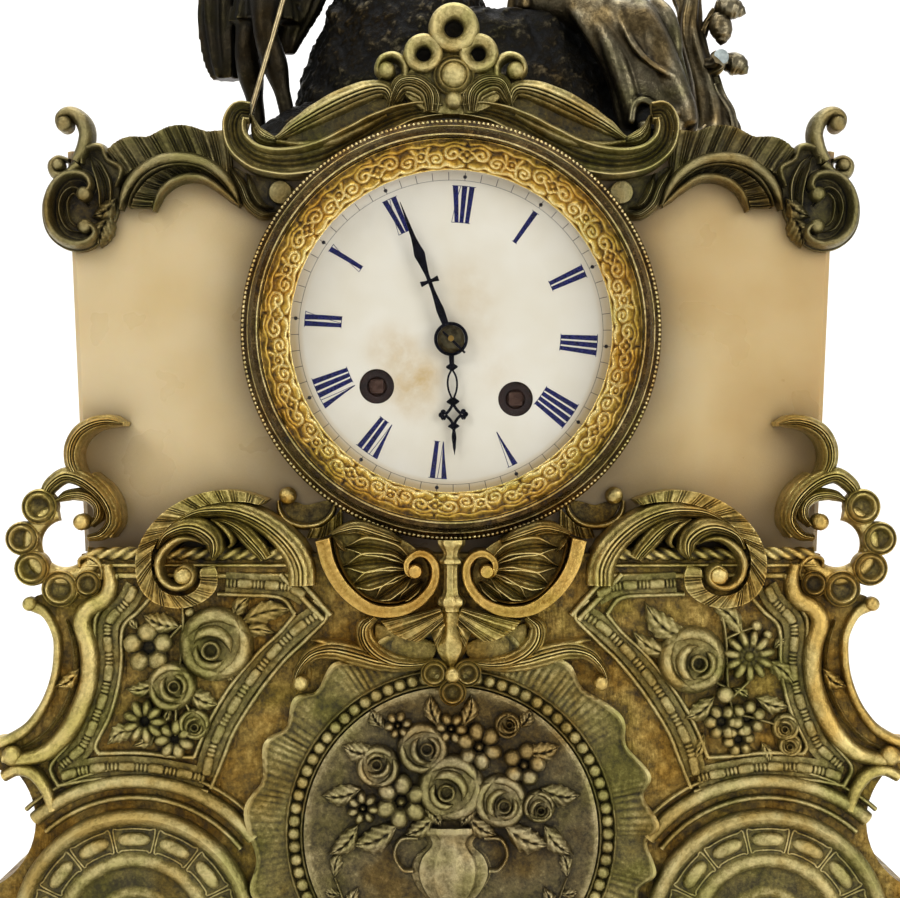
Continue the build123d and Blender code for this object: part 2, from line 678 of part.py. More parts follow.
LOOP_X = BASE_TOP_WIDTH / 2 + 8.7


def side_loop():
    """Open loop of graduated roundels with a curled leaf, on the right."""
    x = LOOP_X
    z = BASE_TOP
    y = BASE_FRONT
    ring = [(x + 3.3, z + 14.4, 4.6), (x + 8.5, z + 4.3, 5.0), (x + 5.6, z - 5.0, 4.6),
            (x - 2.6, z - 10.2, 4.2), (x - 11, z - 8.8, 3.6)]
    loop = band([(x - 3, z + 20)] + [(p[0], p[1]) for p in ring], 4, 4.5, 4)
    pieces = [slab(loop, y, 4.0)]
    for rx, rz, rr in ring:
        pieces.append(rod(rx, rz, y, y - RELIEF, rr))
    leaf = [(x - 21, z + 40), (x - 14, z + 41), (x - 7.5, z + 37), (x - 5, z + 30), (x - 7.5, z + 24),
            (x - 4, z + 21)]
    pieces.append(slab(band(leaf, 1.6, 5.0, 5.0), y, RELIEF))
    inner = [(x - 2, z + 20), (x - 9, z + 23.5), (x - 15.5, z + 19), (x - 18.5, z + 12), (x - 16, z + 5),
             (x - 10, z + 4), (x - 8, z + 9)]
    pieces.append(slab(band(inner, 4.5, 5.0, 3.0), y, RELIEF))
    pieces.append(rod(x - 9.5, z + 9.5, y, y - RELIEF - 1, 2.4))
    foot = band([(x - 16.5, z + 6), (x - 15.5, z - 4), (x - 11, z - 9)], 4, 4, 4)
    pieces.append(slab(foot, y, 4.0))
    return fused(pieces)


def alabaster_body():
    """Tapered alabaster block with the movement bore, the pendulum channel and the tie-rod holes."""
    top = BODY_TOP_WIDTH / 2
    foot = BODY_FOOT_WIDTH / 2
    face = make_face(Polyline((-foot, BASE_TOP), (foot, BASE_TOP), (top, BODY_TOP), (-top, BODY_TOP),
                              close=True))
    body = slab(face, BODY_BACK, BODY_DEPTH)
    body = chamfer(body.edges().filter_by(lambda e: abs(e.tangent_at(0.5).Z) > 0.9), 1.5)
    body = body - rod(0, DIAL_Z, BODY_FRONT - 1, BODY_BACK + 1, BORE_RADIUS)
    x = pendulum_x()
    body = body - block(x - CHANNEL_WIDTH / 2, x + CHANNEL_WIDTH / 2, CHANNEL_FRONT,
                        CHANNEL_FRONT + CHANNEL_DEPTH, BASE_TOP - 1, DIAL_Z)
    return body - tie_holes(BASE_TOP, BODY_TOP)


def cresting():
    """Corner cresting of the body, on the right: scrolls, fluted leaf and two arched bands."""
    y = BODY_FRONT
    x = BODY_TOP_WIDTH / 2
    z = BODY_TOP
    pieces = []
    hook = arc_points(x + 6.5, z + 2.2, 7.6, 20, 250, 8)
    hook = hook + [(x + 9, z - 7.6), (x + 11.5, z - 5.5)]
    pieces.append(slab(band(hook, 2.2, 3.4, 2.0), y, CREST_RELIEF))
    pieces.append(rod(x + 9.5, z + 6.0, y, y - CREST_RELIEF, 2.4))
    scroll = arc_points(x, z - 18, 9.6, 120, -140, 9)
    pieces.append(slab(band(scroll, 3.0, 4.2, 3.0), y, CREST_RELIEF))
    pieces.append(rod(x - 3.4, z - 10.5, y, y - CREST_RELIEF - 1, 3.0))
    pieces.append(rod(x - 4.2, z - 24.4, y, y - CREST_RELIEF - 1, 2.6))
    leaf = [Spline((x - 42, z + 3.5), (x - 35, z + 8.5), (x - 24, z + 7.5), (x - 12, z + 1), (x + 3, z - 1)),
            Line((x + 3, z - 1), (x - 2, z - 22)), Line((x - 2, z - 22), (x - 12, z - 20)),
            Spline((x - 12, z - 20), (x - 17, z - 7), (x - 31, z - 1), (x - 41, z - 4)),
            Line((x - 41, z - 4), (x - 42, z + 3.5))]
    pieces.append(slab(make_face(leaf), y, CREST_RELIEF - 3))
    outer = arc_points(x - 31.5, z - 17.5, 15.6, -5, 180, 10)
    pieces.append(slab(band(outer, 2.6, 3.0, 2.6), y, CREST_RELIEF - 1))
    inner = arc_points(x - 32, z - 17.5, 10.4, -5, 180, 9)
    pieces.append(slab(band(inner, 2.0, 2.4, 2.0), y, CREST_RELIEF - 2))
    web = make_face([Wire(CenterArc((x - 31.5, z - 17.5), 16, 0, 180)).edge(),
                     Line((x - 47.5, z - 17.5), (x - 42, z - 17.5)),
                     Wire(CenterArc((x - 32, z - 17.5), 10, 0, 180)).edge(),
                     Line((x - 22, z - 17.5), (x - 15.5, z - 17.5))])
    pieces.append(slab(web, y, CREST_RELIEF - 5))
    return fused(pieces)


def crest_palmette():
    """Pierced palmette over the dial with two leafy arms that hug the bezel."""
    y = BODY_FRONT
    z = DIAL_Z + BEZEL_RADIUS + 1.0
    arm = [(4, z + 6), (14, z + 7.5), (26, z + 5), (38, z - 1), (50, z - 10.5), (60, z - 14), (68, z - 9),
           (72.5, z - 1), (70.5, z + 5)]
    pieces = [slab(band(arm, 6, 9.5, 3.5), y, CREST_RELIEF)]
    hook = [(66, z - 11), (65.5, z - 20), (62, z - 27), (57.5, z - 28), (55, z - 23)]
    pieces.append(slab(band(hook, 4, 3.2, 2.0), y, CREST_RELIEF - 2))
    pieces.append(rod(57, z - 21, y, y - CREST_RELIEF + 1, 2.8))
    pieces.append(rod(20.5, z + 15.5, y, y - CREST_RELIEF, 4.0))
    pieces.append(slab(band([(12, z + 8), (16, z + 13), (20.5, z + 15.5)], 5, 5, 5), y, CREST_RELIEF - 1))
    lobe = rod(9.3, z + 19.5, y, y - CREST_RELIEF, 5.8)
    pieces.append(lobe)
    half = fused(pieces)
    whole = half + mirrored(half)
    whole = whole + rod(0, z + 28, y, y - CREST_RELIEF, 7.4) + rod(0, z + 14, y, y - CREST_RELIEF - 2, 7.5)
    whole = whole + rod(0, z + 5, y, y - CREST_RELIEF - 1, 4.5)
    whole = whole + block(-9, 9, y - CREST_RELIEF + 1, y, z + 2, z + 22)
    for hx, hz, hr in ((0, z + 25.6, 2.6), (9.3, z + 19.3, 2.2), (-9.3, z + 19.3, 2.2)):
        whole = whole - rod(hx, hz, y + 1, y - CREST_RELIEF - 3, hr)
    return whole


ROCK_TOP = BODY_TOP + ROCK_HEIGHT
MOUND_FRONT = BODY_FRONT + 3.0
MOUND_BACK = BODY_BACK - 12.0


def ellipse_at(x, y, z, rx, ry):
    """Level ellipse face for a lofted form."""
    return Pos(x, y, z) * Ellipse(rx, ry)


def rock_mound():
    """Rocky ground plate with the rock that carries the seated figure."""
    middle = (MOUND_FRONT + MOUND_BACK) / 2
    half = (MOUND_BACK - MOUND_FRONT) / 2
    plate = Pos(4, middle, BODY_TOP + MOUND_HEIGHT / 2) * extrude(Ellipse(MOUND_WIDTH / 2, half), MOUND_HEIGHT / 2,
                                                                        both=True)
    rock = loft([ellipse_at(4, 0, BODY_TOP + 1, 52, 29), ellipse_at(2, 1, MOUND_TOP + 14, 47, 25),
                 ellipse_at(2, 3, MOUND_TOP + 30, 42, 22), ellipse_at(3, 4, ROCK_TOP, 36, 18)])
    boulder = loft([ellipse_at(-16, 1, BODY_TOP + 2, 38, 26), ellipse_at(-16, 2, MOUND_TOP + 18, 35, 24),
                    ellipse_at(-15, 3, MOUND_TOP + 36, 29, 21), ellipse_at(-14, 4, BODY_TOP + BOULDER_HEIGHT, 24, 16)])
    ends = [Pos(x, 0, BODY_TOP) * Cylinder(TIE_RADIUS + SEAT_FIT, 2 * TIE_GRIP) for x in (-TIE_X, TIE_X)]
    return plate + rock + boulder - fused(ends)


TIE_GRIP = 5.0
NUT_RADIUS = 5.0
NUT_HEIGHT = 3.5


def tie_rods():
    """Two long rods that clamp base, alabaster and mound, each with its nut under the base top."""
    solids = []
    low = BASE_TOP - BASE_WALL - NUT_HEIGHT - 2
    high = BODY_TOP + TIE_GRIP
    for x in (-TIE_X, TIE_X):
        solids.append(Pos(x, 0, (low + high) / 2) * Cylinder(TIE_RADIUS, high - low))
        nut = extrude(RegularPolygon(NUT_RADIUS, 6) - Circle(TIE_RADIUS + SEAT_FIT), NUT_HEIGHT)
        solids.append(Pos(x, 0, BASE_TOP - BASE_WALL - NUT_HEIGHT) * nut)
    return solids


def limb(a, ra, b, rb):
    """Tapering round limb between two points with rounded ends."""
    start = Vector(*a)
    end = Vector(*b)
    length = (end - start).length
    plane = Plane(origin=start, z_dir=(end - start).normalized())
    if abs(ra - rb) < 0.01:
        core = plane * Pos(0, 0, length / 2) * Cylinder(ra, length)
    else:
        core = plane * Pos(0, 0, length / 2) * Cone(ra, rb, length)
    return core + Pos(*a) * Sphere(ra) + Pos(*b) * Sphere(rb)


# Staff line and the standing figure's joints; heights are measured from the top of the mound
STAFF_FOOT = (-66.5, -19, 0)
STAFF_TOP = (-35.5, -14, 110)


def on_mound(point):
    """Point given with its height above the mound's ledge."""
    return (point[0], point[1], point[2] + MOUND_TOP)


def staff_bar(radius):
    """The straight staff, or its clearance when the radius is larger."""
    a = Vector(*on_mound(STAFF_FOOT))
    b = Vector(*on_mound(STAFF_TOP))
    plane = Plane(origin=a, z_dir=(b - a).normalized())
    bar = plane * Pos(0, 0, (b - a).length / 2) * Cylinder(radius, (b - a).length)
    return bar - block(-100, 0, -60, 60, MOUND_TOP - 20, MOUND_TOP)


def standing_figure():
    """Standing youth in a short tunic and a hanging cloak, one hand on the staff."""
    p = on_mound
    parts = [
        limb(p((-52.5, -12, 7)), 2.3, p((-60, -15, 35)), 3.4),
        limb(p((-60, -15, 35)), 3.6, p((-60, -6, 56)), 5.4),
        limb(p((-63, -2, 6)), 2.3, p((-67, -5, 31)), 3.4),
        limb(p((-67, -5, 31)), 3.6, p((-65, -1, 54)), 5.4),
        limb(p((-52.3, -11, 2.2)), 2.2, p((-48.5, -19, 1.8)), 1.8),
        limb(p((-52.3, -11.4, 2.2)), 2.2, p((-52.5, -12, 7)), 2.3),
        limb(p((-63, -2, 2.2)), 2.2, p((-58.5, -9, 1.8)), 1.8),
        limb(p((-63, -2, 2.2)), 2.2, p((-63, -2, 6)), 2.3),
        loft([ellipse_at(-61.5, -4, MOUND_TOP + 41, 10.5, 8.5), ellipse_at(-61, -3, MOUND_TOP + 52, 9.0, 7.0),
              ellipse_at(-60, -3, MOUND_TOP + 62, 7.6, 5.6), ellipse_at(-58.5, -3, MOUND_TOP + 75, 9.5, 6.0),
              ellipse_at(-57.5, -3, MOUND_TOP + 85, 6.5, 4.6)]),
        limb(p((-57.5, -3, 80)), 3.6, p((-56, -4, 91)), 3.0),
        Pos(*p((-55.5, -5, 95.5))) * Sphere(6.3),
        limb(p((-49.5, -4, 81)), 3.3, p((-41.5, -9, 70)), 2.6),
        limb(p((-41.5, -9, 70)), 2.6, p((-48.5, -14.5, 62.5)), 2.1),
        Pos(*p((-49.5, -16.2, 62))) * Sphere(3.0),
        limb(p((-66.5, -3, 81)), 3.3, p((-74.5, 2, 69)), 2.7),
        limb(p((-74.5, 2, 69)), 2.7, p((-68.5, -5, 58)), 2.1),
        limb(p((-66, 4, 80)), 4.0, p((-75, 6, 54)), 7.5),
        limb(p((-75, 6, 54)), 7.5, p((-74.5, 5, 29)), 6.0),
        limb(p((-58, 3, 60)), 6.0, p((-48, 3, 52)), 7.0),
        limb(p((-48, 3, 52)), 7.0, p((-53.5, 0, 33)), 3.0),
    ]
    body = fused(parts)
    body = body - block(-120, 0, -80, 80, MOUND_TOP - 30, MOUND_TOP)
    return body - staff_bar(STAFF_RADIUS + LOOSE_FIT) - rock_mound()


def seated_figure():
    """Robed figure seated on the rock, turned a little to the standing one."""
    p = on_mound
    parts = [
        loft([ellipse_at(66, -19, MOUND_TOP + 0.5, 12, 9.5), ellipse_at(63, -17, MOUND_TOP + 18, 13, 9.5),
              ellipse_at(56, -14, MOUND_TOP + 36, 15, 10), ellipse_at(49, -10, MOUND_TOP + 45, 15, 9)]),
        limb(p((52, -13, 41)), 9.5, p((32, 0, 49)), 11.5),
        loft([ellipse_at(31, 1, MOUND_TOP + 47, 12, 9.5), ellipse_at(29, 1, MOUND_TOP + 60, 8.5, 6.6),
              ellipse_at(27, 0, MOUND_TOP + 72, 9.8, 6.8), ellipse_at(26, 0, MOUND_TOP + 82, 6.2, 4.6)]),
        limb(p((26, 0, 78)), 3.4, p((24.5, -1, 88)), 2.9),
        Pos(*p((23.5, -2, 92))) * Sphere(6.2),
        limb(p((18.5, -1, 78)), 3.2, p((10.5, -6, 67)), 2.6),
        limb(p((10.5, -6, 67)), 2.6, p((6, -12, 58)), 2.0),
        limb(p((34.5, 0, 78)), 3.2, p((42, 1, 66)), 2.7),
        limb(p((42, 1, 66)), 2.7, p((44, -10, 54)), 2.1),
        limb(p((30, 5, 80)), 4.5, p((34, 9, 52)), 6.0),
    ]
    body = fused(parts)
    body = body - block(0, 120, -80, 80, MOUND_TOP - 40, MOUND_TOP)
    return body - rock_mound()


def vine_stump():
    """Gnarled trunk beside the seated figure, with a cut branch and a few leaves."""
    p = on_mound
    parts = [
        limb(p((87, 2, 1)), 6.0, p((84.5, 5, 22)), 4.4),
        limb(p((84.5, 5, 22)), 4.4, p((80, 8, 42)), 3.6),
        limb(p((80, 8, 42)), 3.6, p((82, 11, 66)), 2.8),
        limb(p((84.5, 5, 25)), 3.4, p((88.5, -2, 28.5)), 3.0),
        limb(p((80, 8, 44)), 2.8, p((74, 13, 60)), 2.0),
        limb(p((86, 2, 2)), 4.5, p((91, -6, 1)), 2.2),
    ]
    for lx, ly, lz in ((95, 2, 27), (93, 4, 46), (85, 12, 71), (78, 14, 73), (70, 15, 64), (90, 3, 38)):
        parts.append(Pos(*p((lx, ly, lz))) * Rot(70, 0, 25) * extrude(Ellipse(5.2, 3.6), 0.8, both=True))
        parts.append(limb(p((lx, ly, lz)), 0.9, p((82, 8, max(14, lz - 8))), 0.9))
    body = fused(parts)
    body = body - block(40, 120, -60, 60, MOUND_TOP - 30, MOUND_TOP)
    return body - seated_figure() - rock_mound()


HINGE_X = BEZEL_RADIUS - 1.2
HINGE_Y = BODY_FRONT - HINGE_RADIUS - 0.5
BEZEL_BACK = BODY_FRONT - SEAT_FLANGE - 0.2
BEZEL_FRONT = BEZEL_BACK - BEZEL_HEIGHT
TUBE_RADIUS = BORE_RADIUS - 0.5


def knuckle(x, y, z, length):
    """One round hinge knuckle standing on its own middle, with the pin hole."""
    barrel = Cylinder(HINGE_RADIUS, length) - Cylinder(HINGE_PIN + RUNNING_FIT, length + 2)
    return Pos(x, y, z) * barrel


def bezel_seat():
    """Brass ring let into the front of the bore; it carries the bezel hinge and the dial plate."""
    y = BODY_FRONT
    r = TUBE_RADIUS
    ring = turned([(r - TUBE_WALL, y - SEAT_FLANGE), (SEAT_RADIUS - 2.2, y - SEAT_FLANGE), (SEAT_RADIUS - 2.2, y),
                   (r, y), (r, y + TUBE_LENGTH), (r - TUBE_WALL, y + TUBE_LENGTH)], DIAL_Z)
    for side in (-1, 1):
        zc = DIAL_Z + side * (KNUCKLE + LOOSE_FIT)
        lug = block(SEAT_RADIUS - 4, HINGE_X, HINGE_Y - 0.8, HINGE_Y + 0.8, zc - KNUCKLE / 2, zc + KNUCKLE / 2)
        hole = Pos(HINGE_X, HINGE_Y, zc) * Cylinder(HINGE_PIN + RUNNING_FIT, KNUCKLE + 2)
        ring = ring + (lug - hole) + knuckle(HINGE_X, HINGE_Y, zc, KNUCKLE)
    for sx in (-1, 1):
        ring = ring - strap_hole(sx, BODY_FRONT + TUBE_LENGTH - STRAP_LAP / 2)
    return ring - dial_plate_cut()


def dial_plate_cut():
    """Step turned inside the seat for the edge of the dial plate."""
    r = TUBE_RADIUS - TUBE_WALL
    return rod(0, DIAL_Z, DIAL_FRONT, DIAL_BACK + DIAL_PLATE, r + PLATE_STEP)


PLATE_STEP = 0.6
STRAP_LAP = 8.0
STRAP_WIDTH = 12.0
STRAP_THICKNESS = 1.2


def strap_hole(side, y):
    """Hole across the ring for a strap screw, along X."""
    x = side * (TUBE_RADIUS - TUBE_WALL)
    return Pos(x, y, DIAL_Z) * Rot(0, 90, 0) * Cylinder(SCREW_RADIUS + SEAT_FIT, 12)


def rear_ring():
    """Brass ring let into the back of the bore; it carries the rear door's hinge."""
    y = BODY_BACK
    r = TUBE_RADIUS
    ring = turned([(r - TUBE_WALL, y + 3), (SEAT_RADIUS - 3, y + 3), (SEAT_RADIUS - 3, y), (r, y),
                   (r, y - TUBE_LENGTH), (r - TUBE_WALL, y - TUBE_LENGTH)], DIAL_Z)
    for side in (-1, 1):
        zc = DIAL_Z + side * (KNUCKLE + LOOSE_FIT)
        lug = block(DOOR_HINGE_X, -SEAT_RADIUS + 5, DOOR_HINGE_Y - 0.8, DOOR_HINGE_Y + 0.8, zc - KNUCKLE / 2,
                    zc + KNUCKLE / 2)
        hole = Pos(DOOR_HINGE_X, DOOR_HINGE_Y, zc) * Cylinder(HINGE_PIN + RUNNING_FIT, KNUCKLE + 2)
        ring = ring + (lug - hole) + knuckle(DOOR_HINGE_X, DOOR_HINGE_Y, zc, KNUCKLE)
    for sx in (-1, 1):
        ring = ring - strap_hole(sx, BODY_BACK - TUBE_LENGTH + STRAP_LAP / 2)
    return ring


DOOR_HINGE_X = -SEAT_RADIUS - 0.4
DOOR_HINGE_Y = BODY_BACK + HINGE_RADIUS + 0.2
DOOR_FRONT = BODY_BACK + 2 * HINGE_RADIUS + 0.5


def rear_door():
    """Pressed brass door over the movement, with a finger knob."""
    y = DOOR_FRONT
    r = SEAT_RADIUS - 3
    door = turned([(0, y), (r, y), (r, y + 1.4), (r - 4, y + 2.0), (0, y + 3.2)], DIAL_Z)
    door = door + rod(r - 8, DIAL_Z, y + 1, y + 6, 2.6)
    lug = block(DOOR_HINGE_X - 0.8, -r + 2, y, y + 1.2, DIAL_Z - KNUCKLE / 2, DIAL_Z + KNUCKLE / 2)
    stem = block(DOOR_HINGE_X - 0.8, DOOR_HINGE_X + 0.8, DOOR_HINGE_Y, y + 1.2, DIAL_Z - KNUCKLE / 2,
                 DIAL_Z + KNUCKLE / 2)
    hole = Pos(DOOR_HINGE_X, DOOR_HINGE_Y, DIAL_Z) * Cylinder(HINGE_PIN + RUNNING_FIT, KNUCKLE + 2)
    return door + lug + (stem - hole) + knuckle(DOOR_HINGE_X, DOOR_HINGE_Y, DIAL_Z, KNUCKLE)


def movement_straps():
    """Two brass straps inside the bore that draw the front and rear rings together."""
    solids = []
    outer = TUBE_RADIUS - TUBE_WALL - SEAT_FIT
    y0 = BODY_FRONT + TUBE_LENGTH - STRAP_LAP
    y1 = BODY_BACK - TUBE_LENGTH + STRAP_LAP
    shell = tube(0, DIAL_Z, y0, y1, outer - STRAP_THICKNESS, outer)
    for side in (-1, 1):
        window = block(min(0, side * 80), max(0, side * 80), y0 - 1, y1 + 1, DIAL_Z - STRAP_WIDTH / 2,
                       DIAL_Z + STRAP_WIDTH / 2)
        strap = shell & window
        for y in (y0 + STRAP_LAP / 2, y1 - STRAP_LAP / 2):
            strap = strap - strap_hole(side, y)
        solids.append(strap)
    return solids


def strap_screw(side, y):
    """Screw through a strap into its ring, along X, head inside."""
    inner = TUBE_RADIUS - TUBE_WALL - SEAT_FIT - STRAP_THICKNESS
    head = Pos(side * (inner - 0.9), y, DIAL_Z) * Rot(0, 90, 0) * Cylinder(SCREW_HEAD, 1.2)
    shank = Pos(side * (inner + 1.2), y, DIAL_Z) * Rot(0, 90, 0) * Cylinder(SCREW_RADIUS, 3.2)
    return head + shank


def case_fasteners():
    """Sheet screws, strap screws and the two hinge pins."""
    solids = [screw(sx, sz, BASE_BACK + BACK_SHEET, -1) for sx, sz in SHEET_SCREWS]
    for side in (-1, 1):
        solids.append(strap_screw(side, BODY_FRONT + TUBE_LENGTH - STRAP_LAP / 2))
        solids.append(strap_screw(side, BODY_BACK - TUBE_LENGTH + STRAP_LAP / 2))
    length = 3 * KNUCKLE + 2 * LOOSE_FIT
    solids.append(Pos(HINGE_X, HINGE_Y, DIAL_Z) * Cylinder(HINGE_PIN, length))
    solids.append(Pos(DOOR_HINGE_X, DOOR_HINGE_Y, DIAL_Z) * Cylinder(HINGE_PIN, length))
    return solids


def front_bezel():
    """Hinged bezel ring with its bead moulding and hinge lug."""
    y = BEZEL_BACK
    r = BEZEL_RADIUS
    inner = r - BEZEL_BAND
    ring = turned([(inner, y), (r - 2.6, y), (r - 2.6, y - 3), (r, y - 4), (r, y - 6.5), (r - 2.2, y - 8.5),
                   (r - 4, BEZEL_FRONT), (inner, BEZEL_FRONT), (inner, GLASS_Y - GLASS_THICKNESS),
                   (inner + GLASS_LIP, GLASS_Y - GLASS_THICKNESS), (inner + GLASS_LIP, GLASS_Y + LOOSE_FIT),
                   (inner, GLASS_Y + LOOSE_FIT)], DIAL_Z)
    z0 = DIAL_Z - KNUCKLE / 2
    z1 = DIAL_Z + KNUCKLE / 2
    stem = block(HINGE_X - 1.2, HINGE_X + 0.6, y - 4.5, HINGE_Y, z0, z1)
    hole = Pos(HINGE_X, HINGE_Y, DIAL_Z) * Cylinder(HINGE_PIN + RUNNING_FIT, KNUCKLE + 2)
    return ring + (stem - hole) + knuckle(HINGE_X, HINGE_Y, DIAL_Z, KNUCKLE)


GLASS_Y = BEZEL_BACK - 8.6
GLASS_LIP = 1.2
GLASS_RADIUS = BEZEL_RADIUS - BEZEL_BAND + GLASS_LIP - LOOSE_FIT


def bezel_glass():
    """Domed round glass held in the groove of the bezel."""
    r = GLASS_RADIUS
    t = GLASS_THICKNESS - LOOSE_FIT
    y = GLASS_Y
    edge = 3.0
    reach = r - edge
    ball = (reach ** 2 + GLASS_RISE ** 2) / (2 * GLASS_RISE)
    half = reach * 0.55
    sag = GLASS_RISE - ball + sqrt(ball ** 2 - half ** 2)
    outer = ThreePointArc((0, y - t - GLASS_RISE), (half, y - t - sag), (reach, y - t))
    inner = ThreePointArc((reach, y), (half, y - sag), (0, y - GLASS_RISE))
    face = make_face([outer, Line((r - edge, y - t), (r, y - t)), Line((r, y - t), (r, y)),
                      Line((r, y), (r - edge, y)), inner, Line((0, y - GLASS_RISE), (0, y - t - GLASS_RISE))])
    placed = Plane(origin=(0, 0, DIAL_Z), x_dir=(1, 0, 0), z_dir=(0, 0, 1)) * face
    return revolve(placed, axis=Axis((0, 0, DIAL_Z), (0, 1, 0)), revolution_arc=360)


def sight_ring():
    """Embossed gilt ring between the glass and the dial, sloping in to the enamel."""
    outer = BEZEL_RADIUS - BEZEL_BAND - SEAT_FIT
    y = GLASS_Y + 2 * LOOSE_FIT
    back = y + SIGHT_DEPTH
    return turned([(outer, y), (outer, y + 3), (SIGHT_RADIUS + 1.5, back), (SIGHT_RADIUS, back),
                   (SIGHT_RADIUS + 0.6, back - 1.4), (outer - 1.5, y)], DIAL_Z)


def dial_point(x, z):
    """Place on the twisted dial."""
    t = radians(DIAL_TWIST)
    return (x * cos(t) + z * sin(t), DIAL_Z - x * sin(t) + z * cos(t))


def winding_holes(y0, y1, radius):
    """Through holes in front of both winding squares."""
    return fused([rod(AT[name][0], AT[name][1], y0, y1, radius) for name in ("going", "strike")])


def dial():
    """Slightly domed enamel dial with its centre and winding holes."""
    y = DIAL_BACK
    r = DIAL_RADIUS
    t = DIAL_THICKNESS
    plate = turned([(0, y), (r, y), (r, y - t * 0.6), (r * 0.7, y - t), (0, y - t)], DIAL_Z)
    cx, cz = AT["centre"]
    plate = plate - rod(cx, cz, y - 5, y + 5, HOUR_PIPE + 0.8)
    return plate - winding_holes(y - 5, y + 5, WINDING_HOLE)


def dial_plate():
    """Brass plate behind the enamel, with four feet to the movement."""
    y = DIAL_BACK
    r = TUBE_RADIUS - TUBE_WALL + PLATE_STEP - SEAT_FIT
    plate = rod(0, DIAL_Z, y, y + DIAL_PLATE, r)
    cx, cz = AT["centre"]
    plate = plate - rod(cx, cz, y - 5, y + 5, HOUR_PIPE + 0.8)
    plate = plate - winding_holes(y - 5, y + 5, WINDING_HOLE)
    for px, pz in PILLARS:
        x, z = seat(px, pz)
        plate = plate + rod(x, z, y + DIAL_PLATE / 2, PLATE_FRONT, 1.6)
    return plate


HOUR_PIPE = 3.4
CANNON_PIPE = 2.2
HOUR_HAND_Y = DIAL_FRONT - 2.0
MINUTE_HAND_Y = HOUR_HAND_Y - 1.6


def turned_about(shape, angle):
    """Shape turned clockwise, as the viewer sees it, about the hands' arbor."""
    cx, cz = AT["centre"]
    return Pos(cx, 0, cz) * Rot(0, angle, 0) * Pos(-cx, 0, -cz) * shape


MINUTE_ANGLE = -25.1
HOUR_ANGLE = 179.0


def minute_hand():
    """Slim minute hand with two swellings, and the domed collet that holds it."""
    cx, cz = AT["centre"]
    n = MINUTE_LENGTH
    right = [(2.0, 4), (0.7, 9), (0.7, 17), (2.5, 18), (0.7, 19), (0.8, 24), (1.6, 27), (0.7, 30), (0.55, n * 0.8),
             (0.15, n)]
    left = [(-x, z) for x, z in reversed(right)]
    blade = make_face(Polyline(*[(cx + x, cz + z) for x, z in right + left], close=True))
    y = MINUTE_HAND_Y
    hand = slab(blade, y, HAND_THICKNESS) + rod(cx, cz, y, y - HAND_THICKNESS, HAND_BOSS)
    hand = hand - rod(cx, cz, y + 1, y - 2, CANNON_PIPE + SEAT_FIT)
    return turned_about(hand, MINUTE_ANGLE)


def hand_collet():
    """Domed brass collet in front of the minute hand."""
    cx, cz = AT["centre"]
    y = MINUTE_HAND_Y - HAND_THICKNESS - SEAT_FIT
    dome_part = Pos(cx, y - 0.8, cz) * Rot(90, 0, 0) * Cone(HAND_BOSS - 1, HAND_BOSS - 2.2, 1.6)
    return dome_part - rod(cx, cz, y + 1, y - 4, CENTRE_TIP + RUNNING_FIT)


CENTRE_TIP = 0.9


def hour_hand():
    """Hour hand with an open loop and an open four-lobed swelling."""
    cx, cz = AT["centre"]
    y = HOUR_HAND_Y
    n = HOUR_LENGTH
    hand = rod(cx, cz, y, y - HAND_THICKNESS, HAND_BOSS)
    hand = hand + rod(cx, cz + 8, y, y - HAND_THICKNESS, 1.8)
    loop = tube(cx, cz + 11.5, y, y - HAND_THICKNESS, 1.0, 2.0) + tube(cx, cz + 15, y, y - HAND_THICKNESS, 1.0, 2.0)
    hand = hand + loop + rod(cx, cz + 18.4, y, y - HAND_THICKNESS, 1.8)
    for dx, dz in ((-2.4, 0), (2.4, 0), (0, -2.0), (0, 2.2)):
        hand = hand + tube(cx + dx, cz + 22.5 + dz, y, y - HAND_THICKNESS, 0.9, 1.8)
    tip = make_face(Polyline((cx - 1.2, cz + 25.4), (cx + 1.2, cz + 25.4), (cx + 1.4, cz + 28), (cx, cz + n),
                             (cx - 1.4, cz + 28), close=True))
    hand = hand + slab(tip, y, HAND_THICKNESS)
    neck = block(cx - 0.8, cx + 0.8, y - HAND_THICKNESS, y, cz + HAND_BOSS - 0.5, cz + 8)
    hand = hand + neck - rod(cx, cz, y + 1, y - 2, HOUR_PIPE + SEAT_FIT)
    return turned_about(hand, HOUR_ANGLE)


def pivot_holes(names, y0, y1):
    """Running holes for the named arbors."""
    return fused([rod(AT[n][0], AT[n][1], y0, y1, PIVOT + RUNNING_FIT) for n in names])


TRAIN = ["intermediate", "third", "escape", "second", "pin", "warning", "fly"]


def front_plate():
    """Front plate of the movement with the two clicks of the winding ratchets and the minute-wheel post."""
    x, z = seat(0, 0)
    y0, y1 = PLATE_FRONT, TRAIN_FRONT
    plate = rod(x, z, y0, y1, PLATE_RADIUS)
    plate = plate - pivot_holes(TRAIN + ["pallets", "hammer"], y0 - 1, y1 + 1)
    plate = plate - rod(x, z, y0 - 1, y1 + 1, ARBOR + RUNNING_FIT)
    plate = plate - winding_holes(y0 - 1, y1 + 1, WINDING_SHAFT + RUNNING_FIT)
    for px, pz in PILLARS:
        ax, az = seat(px, pz)
        plate = plate - rod(ax, az, y0 - 1, y1 + 1, PILLAR_TENON + SEAT_FIT)
    px, pz = AT["post"]
    plate = plate + rod(px, pz, y0 + 1, y0 - DIAL_GAP + 0.4, ARBOR)
    for side, name in ((1, "going"), (-1, "strike")):
        bx, bz = AT[name]
        tip = RATCHET_RADIUS + LOOSE_FIT
        click = make_face(Polyline((bx + side * tip, bz - 1), (bx + side * (tip + 4), bz + 9),
                                   (bx + side * (tip + 6), bz + 8), (bx + side * (tip + 1.5), bz - 2), close=True))
        plate = plate + slab(click, y0 + 0.5, 2.0)
    return plate


